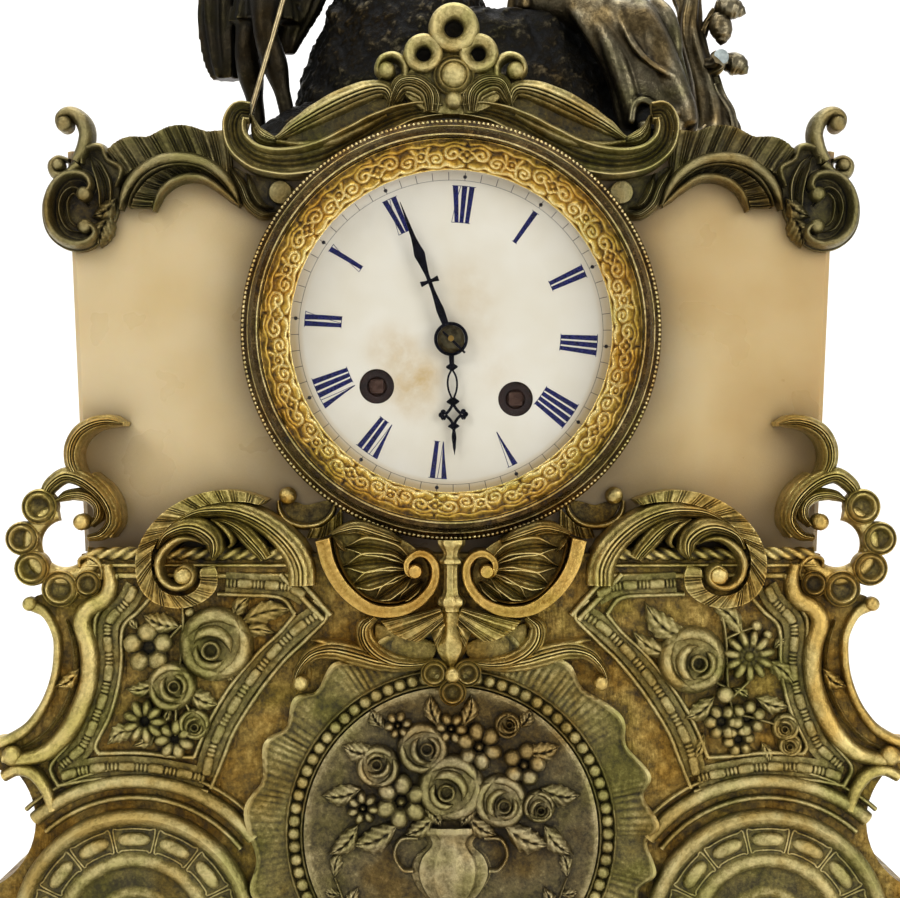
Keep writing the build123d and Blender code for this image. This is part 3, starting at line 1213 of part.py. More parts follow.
WINDING_SHAFT = 2.6
RATCHET_RADIUS = 6.5
PILLAR_TENON = 2.0
PILLAR_RADIUS = 3.0


def back_plate():
    """Back plate of the movement; the suspension cock stands on it."""
    x, z = seat(0, 0)
    y0, y1 = TRAIN_BACK, PLATE_BACK
    plate = rod(x, z, y0, y1, PLATE_RADIUS)
    plate = plate - pivot_holes(TRAIN + ["pallets", "hammer"], y0 - 1, y1 + 1)
    plate = plate - rod(x, z, y0 - 1, y1 + 1, PIVOT + RUNNING_FIT)
    plate = plate - winding_holes(y0 - 1, y1 + 1, WINDING_SHAFT * 0.6 + RUNNING_FIT)
    for px, pz in PILLARS:
        ax, az = seat(px, pz)
        plate = plate - rod(ax, az, y0 - 1, y1 + 1, PILLAR_TENON + SEAT_FIT)
    px, pz = AT["bell_post"]
    plate = plate - rod(px, pz, y0 - 1, y1 + 1, 1.2 + SEAT_FIT)
    ax, az = AT["pallets"]
    cock = block(ax - 6, ax + 6, y1 - 0.5, PENDULUM_Y + 1.5, az + COCK_RISE, az + COCK_RISE + 3)
    cock = cock + block(ax - 6, ax + 6, y1 - 0.5, y1 + 2, az + 3, az + COCK_RISE + 3)
    spring = block(ax - 2, ax + 2, SPRING_Y - 0.15, SPRING_Y + 0.15, az + 1.5, az + COCK_RISE + 0.5)
    shoe = block(ax - 2.4, ax + 2.4, SPRING_Y - 1.2, SPRING_Y + 1.2, az - 2, az + 2.2)
    pin = rod(ax, az, SPRING_Y, PENDULUM_Y + 1.4, HOOK_PIN)
    return plate + cock + spring + shoe + pin


COCK_RISE = 5.0
HOOK_PIN = 0.8
HOOK_HALF = 0.8
SPRING_Y = PENDULUM_Y - HOOK_HALF - LOOSE_FIT - 1.2


def plate_pillars():
    """Four turned pillars between the plates, tenoned into both."""
    solids = []
    for px, pz in PILLARS:
        x, z = seat(px, pz)
        pillar = rod(x, z, TRAIN_FRONT, TRAIN_BACK, PILLAR_RADIUS)
        solids.append(pillar + rod(x, z, PLATE_FRONT, PLATE_BACK + 0.8, PILLAR_TENON))
    return solids


PHASE = {"third": 0.0}
PHASE["third_pinion"] = 0.0
PHASE["centre"] = mesh_phase(AT["third"], CENTRE_PINION, PHASE["third_pinion"], AT["centre"], CENTRE_TEETH)
PHASE["intermediate"] = mesh_phase(AT["centre"], SECOND_PINION, 0.0, AT["intermediate"], SECOND_TEETH)
PHASE["great"] = mesh_phase(AT["intermediate"], GREAT_PINION, 0.0, AT["going"], GREAT_TEETH)
PHASE["escape"] = mesh_phase(AT["third"], THIRD_TEETH, PHASE["third"], AT["escape"], THIRD_PINION)
PHASE["strike_great"] = mesh_phase(AT["second"], GREAT_PINION, 0.0, AT["strike"], GREAT_TEETH)
PHASE["second"] = mesh_phase(AT["pin"], STRIKE_PINION, 0.0, AT["second"], STRIKE_TEETH)
PHASE["pin"] = mesh_phase(AT["warning"], PIN_PINION, 0.0, AT["pin"], PIN_TEETH)
PHASE["warning"] = mesh_phase(AT["fly"], WARNING_PINION, 0.0, AT["warning"], WARNING_TEETH)
PHASE["minute"] = mesh_phase(AT["centre"], CANNON_TEETH, 0.0, AT["post"], MINUTE_TEETH)
PHASE["hour"] = mesh_phase(AT["post"], MINUTE_PINION, 0.0, AT["centre"], HOUR_TEETH)


def barrel(name, wheel_y, phase):
    """Spring barrel: hollow drum, caps, great wheel and the wound mainspring as a plain ring."""
    x, z = AT[name]
    bore = WINDING_SHAFT + RUNNING_FIT
    y0 = TRAIN_FRONT + 1.8 if wheel_y > TRAIN_FRONT + 10 else wheel_y + WHEEL + SEAT_FIT
    y1 = wheel_y - SEAT_FIT if wheel_y > TRAIN_FRONT + 10 else y0 + DRUM_LENGTH - SEAT_FIT
    drum = tube(x, z, y0, y1, DRUM_RADIUS - 1.2, DRUM_RADIUS)
    caps = tube(x, z, y0, y0 + 1.2, bore, DRUM_RADIUS) + tube(x, z, y1 - 1.2, y1, bore, DRUM_RADIUS)
    points = gear_outline(GREAT_TEETH, GREAT_MODULE, phase)
    wheel = toothed(points, (x, z), wheel_y, wheel_y + WHEEL, 2 * bore + 0.6)
    spring = tube(x, z, y0 + 1.6, y1 - 1.6, DRUM_RADIUS * 0.62, DRUM_RADIUS - 1.4)
    return [drum + caps, wheel, spring]


def winding_arbor(name):
    """Winding arbor with its square and its ratchet."""
    x, z = AT[name]
    shaft = rod(x, z, PLATE_FRONT - 4.2, TRAIN_BACK - LOOSE_FIT, WINDING_SHAFT)
    shaft = shaft + rod(x, z, TRAIN_BACK - 1, PLATE_BACK, WINDING_SHAFT * 0.6)
    h = WINDING_SQUARE / 2
    shaft = shaft + block(x - h, x + h, DIAL_FRONT + 1.0, PLATE_FRONT - 3, z - h, z + h)
    ratchet = [away((x, z), RATCHET_RADIUS - (i % 2) * 1.2, 360 / 32 * (i + 0.7 * (i % 2))) for i in range(32)]
    wheel = slab(make_face(Polyline(*ratchet, close=True)), PLATE_FRONT - 0.3, 1.5)
    return shaft + wheel


def intermediate_wheel():
    """Intermediate wheel, its pinion and arbor."""
    n = "intermediate"
    return [train_arbor(n, SECOND_Y, GREAT_Y, GREAT_PINION, GREAT_MODULE),
            wheel_solid(n, SECOND_TEETH, SECOND_MODULE, PHASE[n], SECOND_Y),
            pinion_solid(n, GREAT_PINION, GREAT_MODULE, 0.0, GREAT_Y)]


def centre_wheel():
    """Centre wheel, its pinion and the long arbor that carries the hands."""
    n = "centre"
    x, z = AT[n]
    tip = MINUTE_HAND_Y - HAND_THICKNESS - 2.6
    shaft = train_arbor(n, CENTRE_Y, SECOND_Y, SECOND_PINION, SECOND_MODULE)
    shaft = shaft + rod(x, z, tip, TRAIN_FRONT + 1, CENTRE_TIP)
    return [shaft, wheel_solid(n, CENTRE_TEETH, CENTRE_MODULE, PHASE[n], CENTRE_Y),
            pinion_solid(n, SECOND_PINION, SECOND_MODULE, 0.0, SECOND_Y)]


def third_wheel():
    """Third wheel, its pinion and arbor."""
    n = "third"
    return [train_arbor(n, THIRD_Y, CENTRE_Y, CENTRE_PINION, CENTRE_MODULE),
            wheel_solid(n, THIRD_TEETH, THIRD_MODULE, PHASE[n], THIRD_Y),
            pinion_solid(n, CENTRE_PINION, CENTRE_MODULE, PHASE["third_pinion"], CENTRE_Y)]


def escape_wheel():
    """Escape wheel with raked teeth, its pinion and arbor."""
    n = "escape"
    points = []
    for i in range(ESCAPE_TEETH):
        a = 360 / ESCAPE_TEETH * i
        points.append(away((0, 0), ESCAPE_RADIUS - 1.6, a))
        points.append(away((0, 0), ESCAPE_RADIUS, a + 1.0))
        points.append(away((0, 0), ESCAPE_RADIUS - 1.6, a + 4.0))
    wheel = toothed(points, AT[n], ESCAPE_Y, ESCAPE_Y + WHEEL, SQUARE_BORE, 5, ESCAPE_RADIUS - 2.6)
    return [train_arbor(n, ESCAPE_Y, THIRD_Y, THIRD_PINION, THIRD_MODULE), wheel,
            pinion_solid(n, THIRD_PINION, THIRD_MODULE, PHASE[n], THIRD_Y)]


def strike_second_wheel():
    """Second wheel of the strike with its pinion, arbor and, behind the plate, the count wheel."""
    n = "second"
    x, z = AT[n]
    shaft = train_arbor(n, STRIKE_Y, STRIKE_GREAT_Y, GREAT_PINION, GREAT_MODULE, y1=PLATE_BACK + 2.2)
    count = tube(x, z, PLATE_BACK + 0.6, PLATE_BACK + 1.8, PIVOT + SEAT_FIT, 11.0)
    for i in range(12):
        cx, cz = away((x, z), 11.0, 30 * i + i)
        count = count - rod(cx, cz, PLATE_BACK, PLATE_BACK + 3, 0.7)
    return [shaft, wheel_solid(n, STRIKE_TEETH, STRIKE_MODULE, PHASE[n], STRIKE_Y),
            pinion_solid(n, GREAT_PINION, GREAT_MODULE, 0.0, STRIKE_GREAT_Y), count]


def pin_wheel():
    """Pin wheel that lifts the hammer, its pinion and arbor."""
    n = "pin"
    solids = [train_arbor(n, PIN_Y, STRIKE_Y, STRIKE_PINION, STRIKE_MODULE)]
    solids.append(wheel_solid(n, PIN_TEETH, PIN_MODULE, PHASE[n], PIN_Y))
    solids.append(pinion_solid(n, STRIKE_PINION, STRIKE_MODULE, 0.0, STRIKE_Y))
    return solids


def warning_wheel():
    """Warning wheel, its pinion and arbor."""
    n = "warning"
    return [train_arbor(n, WARNING_Y, PIN_Y, PIN_PINION, PIN_MODULE),
            wheel_solid(n, WARNING_TEETH, WARNING_MODULE, PHASE[n], WARNING_Y),
            pinion_solid(n, PIN_PINION, PIN_MODULE, 0.0, PIN_Y)]


FLY_Y = TRAIN_FRONT + 2.0
FLY_REACH = 6.0


def fly():
    """Fly with two vanes that brakes the strike, its pinion and arbor."""
    n = "fly"
    x, z = AT[n]
    shaft = train_arbor(n, FLY_Y, WARNING_Y, WARNING_PINION, WARNING_MODULE)
    h = SEAT_SQUARE / 2 + SEAT_FIT
    vane = block(x - FLY_REACH, x + FLY_REACH, FLY_Y, FLY_Y + 8, z - 0.4, z + 0.4)
    vane = vane + block(x - 2.2, x + 2.2, FLY_Y, FLY_Y + WHEEL, z - 2.2, z + 2.2)
    vane = vane - block(x - h, x + h, FLY_Y - 1, FLY_Y + 9, z - h, z + h)
    return [shaft, vane, pinion_solid(n, WARNING_PINION, WARNING_MODULE, 0.0, WARNING_Y)]


CANNON_Y = PLATE_FRONT - 1.9
HOUR_Y = PLATE_FRONT - 5.0


def cannon_pinion():
    """Cannon pinion: its pipe grips the centre arbor and carries the minute hand."""
    x, z = AT["centre"]
    pipe = rod(x, z, MINUTE_HAND_Y - HAND_THICKNESS, PLATE_FRONT - 0.3, CANNON_PIPE)
    core = rod(x, z, MINUTE_HAND_Y - 9, PLATE_FRONT + 1, CENTRE_TIP + RUNNING_FIT)
    low = CANNON_Y - 0.2
    pipe = pipe - tube(x, z, low - SEAT_FIT, PLATE_FRONT, CANNON_PIPE * 0.6, CANNON_PIPE + 1)
    b = CANNON_BORE / 2 - SEAT_FIT
    pipe = pipe + block(x - b, x + b, low, PLATE_FRONT - 0.3, z - b, z + b)
    points = gear_outline(CANNON_TEETH, CANNON_MODULE, 0.0)
    return [pipe - core, toothed(points, (x, z), low, low + WHEEL + 0.4, CANNON_BORE)]


CANNON_BORE = 2.7


def minute_wheel():
    """Minute wheel with its pinion, running on a post of the front plate."""
    x, z = AT["post"]
    wheel = wheel_solid("post", MINUTE_TEETH, CANNON_MODULE, PHASE["minute"], CANNON_Y, SQUARE_BORE)
    hub = tube(x, z, HOUR_Y - 0.4, CANNON_Y + WHEEL, ARBOR + RUNNING_FIT, ARBOR + 0.22)
    points = gear_outline(MINUTE_PINION, HOUR_MODULE, 0.0)
    side = 2 * (ARBOR + 0.22 + SEAT_FIT)
    leaves = toothed(points, (x, z), HOUR_Y - 0.4, HOUR_Y + WHEEL + 0.4, side)
    return [hub, wheel, leaves]


def hour_wheel():
    """Hour wheel; its pipe runs on the cannon pipe and carries the hour hand."""
    x, z = AT["centre"]
    pipe = tube(x, z, HOUR_HAND_Y - HAND_THICKNESS, HOUR_Y + WHEEL + 0.6, CANNON_PIPE + RUNNING_FIT, HOUR_PIPE)
    wheel = wheel_solid("centre", HOUR_TEETH, HOUR_MODULE, PHASE["hour"], HOUR_Y, 2 * HOUR_PIPE + 2 * SEAT_FIT)
    return [pipe, wheel]


def pallets():
    """Pallet anchor, its arbor and the crutch that drives the pendulum."""
    x, z = AT["pallets"]
    shaft = arbor((x, z), [], None, PLATE_BACK + 4.6)
    shaft = shaft + rod(x, z, ESCAPE_Y - 0.2, ESCAPE_Y + WHEEL + 0.2, 2.4)
    for side in (-1, 1):
        ex, ez = seat(side * 8.6, PALLET_HEIGHT - 8.0)
        mx, mz = seat(side * 6.2, PALLET_HEIGHT - 1.5)
        arm = band([(x, z), (mx, mz), (ex, ez)], 2.4, 2.0, 1.2)
        shaft = shaft + slab(arm, ESCAPE_Y + WHEEL, WHEEL)
    y0 = PLATE_BACK + 2.6
    shaft = shaft + rod(x, z, y0, y0 + 2, 2.2)
    shaft = shaft + block(x - 1.2, x + 1.2, y0, y0 + 2, z - CRUTCH, z)
    shaft = shaft + block(x - 3.4, x + 3.4, y0, y0 + 2, z - CRUTCH - 1, z - CRUTCH + 1)
    for side in (-1, 1):
        px = x + side * (ROD_RADIUS + LOOSE_FIT + 0.7)
        shaft = shaft + rod(px, z - CRUTCH, y0 + 1, PENDULUM_Y + 2, 0.7)
    return shaft


CRUTCH = 26.0
ROD_RADIUS = 1.1


def pendulum_rod():
    """Pendulum rod with the hook ring that hangs on the suspension pin."""
    x, z = AT["pallets"]
    ring = tube(x, z, PENDULUM_Y - HOOK_HALF, PENDULUM_Y + HOOK_HALF, HOOK_PIN + RUNNING_FIT, 2.4)
    end = z - PENDULUM_LENGTH - BOB_RADIUS - 6
    stem = Pos(x, PENDULUM_Y, (z - 1.8 + end) / 2) * Cylinder(ROD_RADIUS, z - 1.8 - end)
    stem = stem - rod(x, z, PENDULUM_Y - 3, PENDULUM_Y + 3, HOOK_PIN + RUNNING_FIT)
    nut = Pos(x, PENDULUM_Y, z - PENDULUM_LENGTH - BOB_RADIUS - 2) * Cylinder(3.2, 3)
    return ring + stem + nut


def pendulum_bob():
    """Lens-shaped brass bob on the rod."""
    x, z = AT["pallets"]
    zb = z - PENDULUM_LENGTH
    h = BOB_THICKNESS / 2
    y = PENDULUM_Y
    lens = turned([(0, y - h), (BOB_RADIUS * 0.6, y - h * 0.75), (BOB_RADIUS, y - 0.6), (BOB_RADIUS, y + 0.6),
                   (BOB_RADIUS * 0.6, y + h * 0.75), (0, y + h)], zb)
    hole = Pos(x, y, zb) * Cylinder(ROD_RADIUS + RUNNING_FIT, 3 * BOB_RADIUS)
    return moved_x(lens, x) - hole


BELL_Y = PENDULUM_Y + 8.0


def bell():
    """Cup bell on a post and arm behind the movement."""
    x, z = AT["bell"]
    r = BELL_RADIUS
    y = BELL_Y
    top = y + BELL_HEIGHT
    outer = [(r, y), (r * 0.96, y + BELL_HEIGHT * 0.55), (r * 0.72, y + BELL_HEIGHT * 0.9), (0, top)]
    inner = [(0, top - 1.6), (r * 0.68, y + BELL_HEIGHT * 0.8), (r * 0.9, y + BELL_HEIGHT * 0.5), (r - 1.8, y)]
    cup = turned(outer + inner, z)
    cup = moved_x(cup, x) - rod(x, z, y, top + 2, 1.5 + SEAT_FIT)
    px, pz = AT["bell_post"]
    post = rod(px, pz, PLATE_BACK, top + ARM, 2.2) + rod(px, pz, TRAIN_BACK, PLATE_BACK + 1, 1.2)
    arm = slab(band([(px, pz), ((px + x) / 2, (pz + z) / 2 - 1), (x, z)], 5, 5, 5), top + ARM, ARM - SEAT_FIT)
    arm = arm + rod(x, z, top - 3, top + ARM, 1.5) + rod(x, z, top + SEAT_FIT, top + ARM, 3.5)
    return [cup, post + arm]


ARM = 2.0
HAMMER_HEAD = 3.2


def hammer():
    """Hammer arbor with its tail and, behind the plate, the arm and head beside the bell."""
    x, z = AT["hammer"]
    shaft = arbor((x, z), [], None, BELL_Y + 6)
    tx, tz = away((x, z), 7.0, heading(AT["hammer"], AT["pin"]))
    tail = band([(x, z), ((x + tx) / 2, (z + tz) / 2), (tx, tz)], 3, 2, 1.2)
    shaft = shaft + slab(tail, PIN_Y + 3.2, 1.4) + rod(x, z, PIN_Y + 1.5, PIN_Y + 3.5, 2.0)
    bx, bz = AT["bell"]
    reach = BELL_RADIUS + HAMMER_HEAD + LOOSE_FIT
    hx, hz = away((bx, bz), reach, HAMMER_STRIKE)
    arm = band([(x, z), ((x + hx) / 2 - 0.6, (z + hz) / 2), (hx, hz)], 3, 2, 2)
    shaft = shaft + slab(arm, BELL_Y + 6, 2.0) + rod(x, z, BELL_Y + 3, BELL_Y + 6, 2.2)
    return shaft + rod(hx, hz, BELL_Y + 1, BELL_Y + 6, HAMMER_HEAD)


HAMMER_STRIKE = 140.0


def save(name, shape):
    """Write one node; a list is a group of separate solids."""
    if isinstance(shape, list):
        shape = Compound(children=shape)
    export_step(shape, "parts/" + name + ".step")


def main():
    """Build every node of the clock."""
    os.makedirs("parts", exist_ok=True)
    save("base_shell", base_shell())
    save("base_back_plate", base_back_plate())
    save("medallion_plaque", medallion_plaque())
    save("medallion_surround", medallion_surround())
    pairs = {"roundel": roundel(), "flower_panel": flower_panel(), "acanthus_scroll": acanthus_scroll(),
             "side_loop": side_loop(), "cresting": cresting()}
    for name, shape in pairs.items():
        save(name + "_right", shape)
        save(name + "_left", mirrored(shape))
    singles = [plinth, shell_cartouche, alabaster_body, crest_palmette, rock_mound, standing_figure,
               seated_figure, vine_stump, tie_rods, bezel_seat, rear_ring, movement_straps, case_fasteners,
               dial, dial_plate, front_bezel, bezel_glass, sight_ring, rear_door, minute_hand, hour_hand,
               hand_collet, front_plate, back_plate, plate_pillars, intermediate_wheel, centre_wheel,
               third_wheel, escape_wheel, cannon_pinion, minute_wheel, hour_wheel, strike_second_wheel,
               pin_wheel, warning_wheel, fly, pallets, pendulum_rod, pendulum_bob, bell, hammer]
    for maker in singles:
        save(maker.__name__, maker())
    save("staff", staff_bar(STAFF_RADIUS))
    save("going_barrel", barrel("going", GREAT_Y, PHASE["great"]))
    save("strike_barrel", barrel("strike", STRIKE_GREAT_Y, PHASE["strike_great"]))
    save("going_arbor", winding_arbor("going"))
    save("strike_arbor", winding_arbor("strike"))


if __name__ == "__main__":
    main()
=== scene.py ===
"""Looks of a gilt-bronze and alabaster mantel clock with figures: numpy surfaces and node-built finishes.

Sizes are millimetres in the shared frame: X to the viewer's right, Z up, the front towards -Y, the origin in
the middle of the underside. Surfaces turn to metres only when they become Blender meshes.
"""
from __future__ import annotations

import json
import logging
from dataclasses import dataclass
from enum import Enum
from typing import Sequence

import bmesh
import bpy
import numpy as np
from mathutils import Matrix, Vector


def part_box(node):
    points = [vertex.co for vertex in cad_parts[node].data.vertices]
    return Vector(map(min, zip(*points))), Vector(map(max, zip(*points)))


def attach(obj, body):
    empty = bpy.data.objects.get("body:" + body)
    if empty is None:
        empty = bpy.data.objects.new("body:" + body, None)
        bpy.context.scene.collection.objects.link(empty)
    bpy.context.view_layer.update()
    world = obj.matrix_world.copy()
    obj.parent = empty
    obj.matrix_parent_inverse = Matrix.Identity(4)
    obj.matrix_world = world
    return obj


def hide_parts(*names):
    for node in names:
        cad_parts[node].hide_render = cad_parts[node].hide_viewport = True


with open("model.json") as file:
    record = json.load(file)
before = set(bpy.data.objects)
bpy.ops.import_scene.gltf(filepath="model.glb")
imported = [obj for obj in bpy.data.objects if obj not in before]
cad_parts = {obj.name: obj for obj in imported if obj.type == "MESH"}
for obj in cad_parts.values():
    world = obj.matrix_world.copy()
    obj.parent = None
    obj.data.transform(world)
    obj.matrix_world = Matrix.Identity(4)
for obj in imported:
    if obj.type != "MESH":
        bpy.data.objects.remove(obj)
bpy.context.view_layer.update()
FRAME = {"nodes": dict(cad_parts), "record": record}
LOG = logging.getLogger("clock")

Array = np.ndarray
Values = Sequence[float] | Array
Points = Sequence[tuple[float, ...]] | Array
Pair = tuple[float, float]
Spot = tuple[float, float, float]
Tree = bpy.types.NodeTree
Socket = bpy.types.NodeSocket

# Metres in a millimetre
MM = 0.001
# Depth (y) of the front of the base and of the alabaster body
BASE_FACE = -52.0
BODY_FACE = -40.0
# Heights (z) of the top of the base, of the body and of the ledge that the figures stand on
BASE_TOP = 172.0
BODY_TOP = 296.0
MOUND_TOP = 304.0
# Height of the middle of the dial, and how far the dial is turned clockwise, degrees
DIAL_Z = 240.0
DIAL_TWIST = 5.2
# Direction that no limb or branch runs along, for the circles round them
ASKEW = (0.31, 0.95, 0.05)
# Lengths under the first count as none, heights of a section under the second lie on the ground
TINY = 1e-9
ON_GROUND = 1e-6
# Points closer than the first are one, faces thinner than the second go; metres
MERGE = 2e-7
SLIVER = 1e-7
# Spacing of the samples along a carved band, and the fewest and the most of them
RUN_STEP = 0.55
RUN_COUNTS = (20, 260)


class Section(Enum):
    """Cross-sections that a carved band can have."""

    ROUND = "half round"
    FLAT = "flat with eased edges"
    CHANNEL = "hollow between two rims"
    REEDED = "five uneven reeds"
    STRIATED = "nine fine reeds"
    LOBE = "dished leaf between two rolled rims"
    OGEE = "round with a fillet on each side"

    def outline(self) -> Array:
        """Points (s, h) across the band: s runs from -1 to 1 over its width, h from 0 to 1 over its rise.

        Returns:
            An array of shape (count, 2); both ends lie on the ground, h = 0.
        """
        if self is Section.ROUND:
            a = np.linspace(np.pi, 0.0, 11)
            return np.stack([np.cos(a), np.abs(np.sin(a)) ** 0.8], 1)
        if self is Section.FLAT:
            return np.array([(-1, 0), (-1, 0.8), (-0.9, 0.97), (-0.7, 1.0), (0, 0.97), (0.7, 1.0), (0.9, 0.97),
                             (1, 0.8), (1, 0)], float)
        reeds = {Section.REEDED: 5, Section.STRIATED: 9}.get(self, 0)
        s = np.linspace(-1.0, 1.0, 4 * reeds + 1 if reeds else 25)
        if reeds:
            uneven = s + 0.1 * np.sin(4.3 * s + 0.7)
            h = (1 - 0.5 * s ** 2) * (0.86 + 0.14 * np.abs(np.sin(reeds * np.pi * (uneven + 1) / 2)))
        elif self is Section.OGEE:
            h = 0.3 + 0.7 * np.sqrt(np.clip(1 - (s / 0.72) ** 2, 0, 1))
        elif self is Section.LOBE:
            rims = 0.45 + 0.55 * np.exp(-((np.abs(s) - 0.8) / 0.24) ** 2)
            h = rims + 0.1 * np.cos(3 * np.pi * s) ** 2 * (np.abs(s) < 0.6)
        else:
            h = 0.38 + 0.62 * np.exp(-((np.abs(s) - 0.82) / 0.2) ** 2)
        return np.vstack([(-1, 0), np.stack([s * 0.98, h], 1), (1, 0)])


@dataclass
class Shape:
    """A closed surface: points in millimetres, four-cornered faces and a height of 0 (hollow) to 1 (proud)."""

    points: Array
    faces: Array
    height: Array

    def __add__(self, other: Shape) -> Shape:
        """Both surfaces as one."""
        return Shape(np.vstack([self.points, other.points]), np.vstack([self.faces, other.faces + len(self.points)]),
                     np.concatenate([self.height, other.height]))

    def outward(self) -> Shape:
        """The same surface with its faces turned so that the volume that they enclose is positive."""
        a, b, c, d = (self.points[self.faces[:, k]] for k in range(4))
        volume = np.einsum("ij,ij->", a, np.cross(b, c)) + np.einsum("ij,ij->", a, np.cross(c, d))
        return self if volume >= 0 else Shape(self.points, self.faces[:, ::-1], self.height)

    def mirrored(self) -> Shape:
        """The surface on the other side of the middle plane x = 0."""
        return Shape(self.points * (-1, 1, 1), self.faces[:, ::-1], self.height)

    def both(self) -> Shape:
        """The surface and its mirror image."""
        return self + self.mirrored()


def joined(shapes: Sequence[Shape]) -> Shape:
    """All the surfaces as one."""
    starts = np.cumsum([0] + [len(s.points) for s in shapes[:-1]])
    return Shape(np.vstack([s.points for s in shapes]), np.vstack([s.faces + n for s, n in zip(shapes, starts)]),
                 np.concatenate([s.height for s in shapes]))


def turns(count: int) -> Array:
    """Angles spread evenly over a full turn, from 0 on."""
    return np.linspace(0, 2 * np.pi, count, endpoint=False)


def strides(points: Points) -> Array:
    """Distance from each point to the next."""
    return np.linalg.norm(np.diff(np.asarray(points, float), axis=0), axis=1)


def unit_rows(vectors: Array) -> Array:
    """Vectors, one per row, brought to the length 1."""
    return vectors / np.maximum(np.linalg.norm(vectors, axis=1, keepdims=True), TINY)


def spline(points: Points, count: int, closed: bool = False) -> Array:
    """Smooth curve through points: a Catmull-Rom cubic per span, resampled evenly by length.

    Args:
        points: control points, each of two or three numbers.
        count: how many points to return.
        closed: whether the curve returns to its start, which is then not repeated.

    Returns:
        An array of shape (count, numbers per point).
    """
    p = np.asarray(points, float)
    p = np.vstack([p[-1:], p, p[:2]]) if closed else np.vstack([2 * p[0] - p[1], p, 2 * p[-1] - p[-2]])
    spans = len(p) - 3
    t = np.linspace(0, spans, spans * 16 + 1)
    i = np.minimum(t.astype(int), spans - 1)
    f = (t - i)[:, None]
    a, b, c, d = p[i], p[i + 1], p[i + 2], p[i + 3]
    q = 0.5 * (2 * b + (c - a) * f + (2 * a - 5 * b + 4 * c - d) * f ** 2 + (3 * b - a - 3 * c + d) * f ** 3)
    s = np.concatenate([[0.0], np.cumsum(strides(q))])
    u = np.linspace(0, s[-1], count, endpoint=not closed)
    return np.stack([np.interp(u, s, column) for column in q.T], 1)


def taper(count: int, values: Values) -> Array:
    """Values spread evenly along a path and eased between with the smooth step 3f² - 2f³."""
    v = np.atleast_1d(np.asarray(values, float))
    if len(v) == count:
        return v
    t = np.linspace(0, len(v) - 1, count)
    i = np.minimum(t.astype(int), max(len(v) - 2, 0))
    f = t - i
    return v[i] + (v[np.minimum(i + 1, len(v) - 1)] - v[i]) * f * f * (3 - 2 * f)


def loft(rings: Array, height: Array | None = None, closed: bool = False) -> Shape:
    """Skin over a stack of loops: each loop joins the next, and a fan to its middle closes each end.

    Args:
        rings: loops of points, shape (rows, around, 3).
        height: height of each point, shape (rows, around); half way when left out.
        closed: whether the last loop joins the first instead of both ends being capped.

    Returns:
        The closed surface with its faces outwards.
    """
    h = np.full(rings.shape[:2], 0.5) if height is None else np.broadcast_to(height, rings.shape[:2])
    if not closed:
        ends = [np.repeat(r.mean(axis=1, keepdims=True), rings.shape[1], 1) for r in (rings[:1], rings[-1:])]
        tops = [np.repeat(r.mean(axis=1, keepdims=True), rings.shape[1], 1) for r in (h[:1], h[-1:])]
        rings, h = np.concatenate([ends[0], rings, ends[1]]), np.concatenate([tops[0], h, tops[1]])
    index = np.arange(rings.shape[0] * rings.shape[1]).reshape(rings.shape[:2])
    if closed:
        index = np.vstack([index, index[:1]])
    beside = np.roll(index, -1, 1)
    faces = np.stack([index[:-1], beside[:-1], beside[1:], index[1:]], -1).reshape(-1, 4)
    return Shape(rings.reshape(-1, 3), faces, h.reshape(-1)).outward()


def backed(front: Array, back: Array, tone: Array, closed: bool = False) -> Shape:
    """Surface over rows of front points that two back points each close; the back counts as hollow; see loft."""
    return loft(np.concatenate([front, back], 1), np.concatenate([tone, np.zeros((len(front), 2))], 1), closed)


def band(path: Array, width: Values, rise: Values, section: Section, ground: float, closed: bool = False,
         lift: float = 0.0, stepped: bool = False) -> Shape:
    """Carved band: a section carried along a flat path, s across it by the width, h forwards by the rise.

    Args:
        path: points (x, z), shape (count, 2).
        width: full width along the path.
        rise: how far it stands forward of the ground along the path.
        section: its cross-section.
        ground: y of the face that it lies on.
        closed: whether the path is a closed loop.
        lift: height that the whole front is raised by, on upright sides.
        stepped: whether its back reaches to the body's face where it stands over the base.

    Returns:
        The band as a closed surface.
    """
    step = unit_rows(np.roll(path, -1, 0) - np.roll(path, 1, 0) if closed else np.gradient(path, axis=0))
    side = np.stack([-step[:, 1], step[:, 0]], 1)
    outline = section.outline()
    s, h = outline[:, 0], outline[:, 1]
    w, r = taper(len(path), width), taper(len(path), rise)
    flat = path[:, None] + side[:, None] * (s[None, :, None] * w[:, None, None] / 2)
    back = np.where(flat[..., 1] > BASE_TOP, BODY_FACE, ground) if stepped else ground
    y = np.where(h > ON_GROUND, ground - h * r[:, None] - lift, back)
    return loft(np.stack([flat[..., 0], y, flat[..., 1]], -1), np.broadcast_to(0.2 + 0.8 * h, flat.shape[:2]), closed)


def boss(centre: Pair, profile: Points, ground: float, around: int = 24, stretch: Pair = (1.0, 1.0),
         lean: float = 0.0) -> Shape:
    """Turned boss: a profile (radius, height) swept round an axis that points forwards.

    Args:
        centre: (x, z) of the axis.
        profile: radius and height from the foot to the middle.
        ground: y of the face that it stands on.
        around: points round the axis.
        stretch: factors on the radius along and across the lean.
        lean: angle of the stretched axis from X, degrees.

    Returns:
        The boss as a closed surface.
    """
    p = np.asarray(profile, float)
    a = turns(around)[None]
    u, v = p[:, :1] * np.cos(a) * stretch[0], p[:, :1] * np.sin(a) * stretch[1]
    c, s = np.cos(np.radians(lean)), np.sin(np.radians(lean))
    y = np.broadcast_to(ground - p[:, 1:], u.shape)
    top = max(p[:, 1].max(), ON_GROUND)
    return loft(np.stack([centre[0] + u * c - v * s, y, centre[1] + u * s + v * c], -1), p[:, 1:] / top)


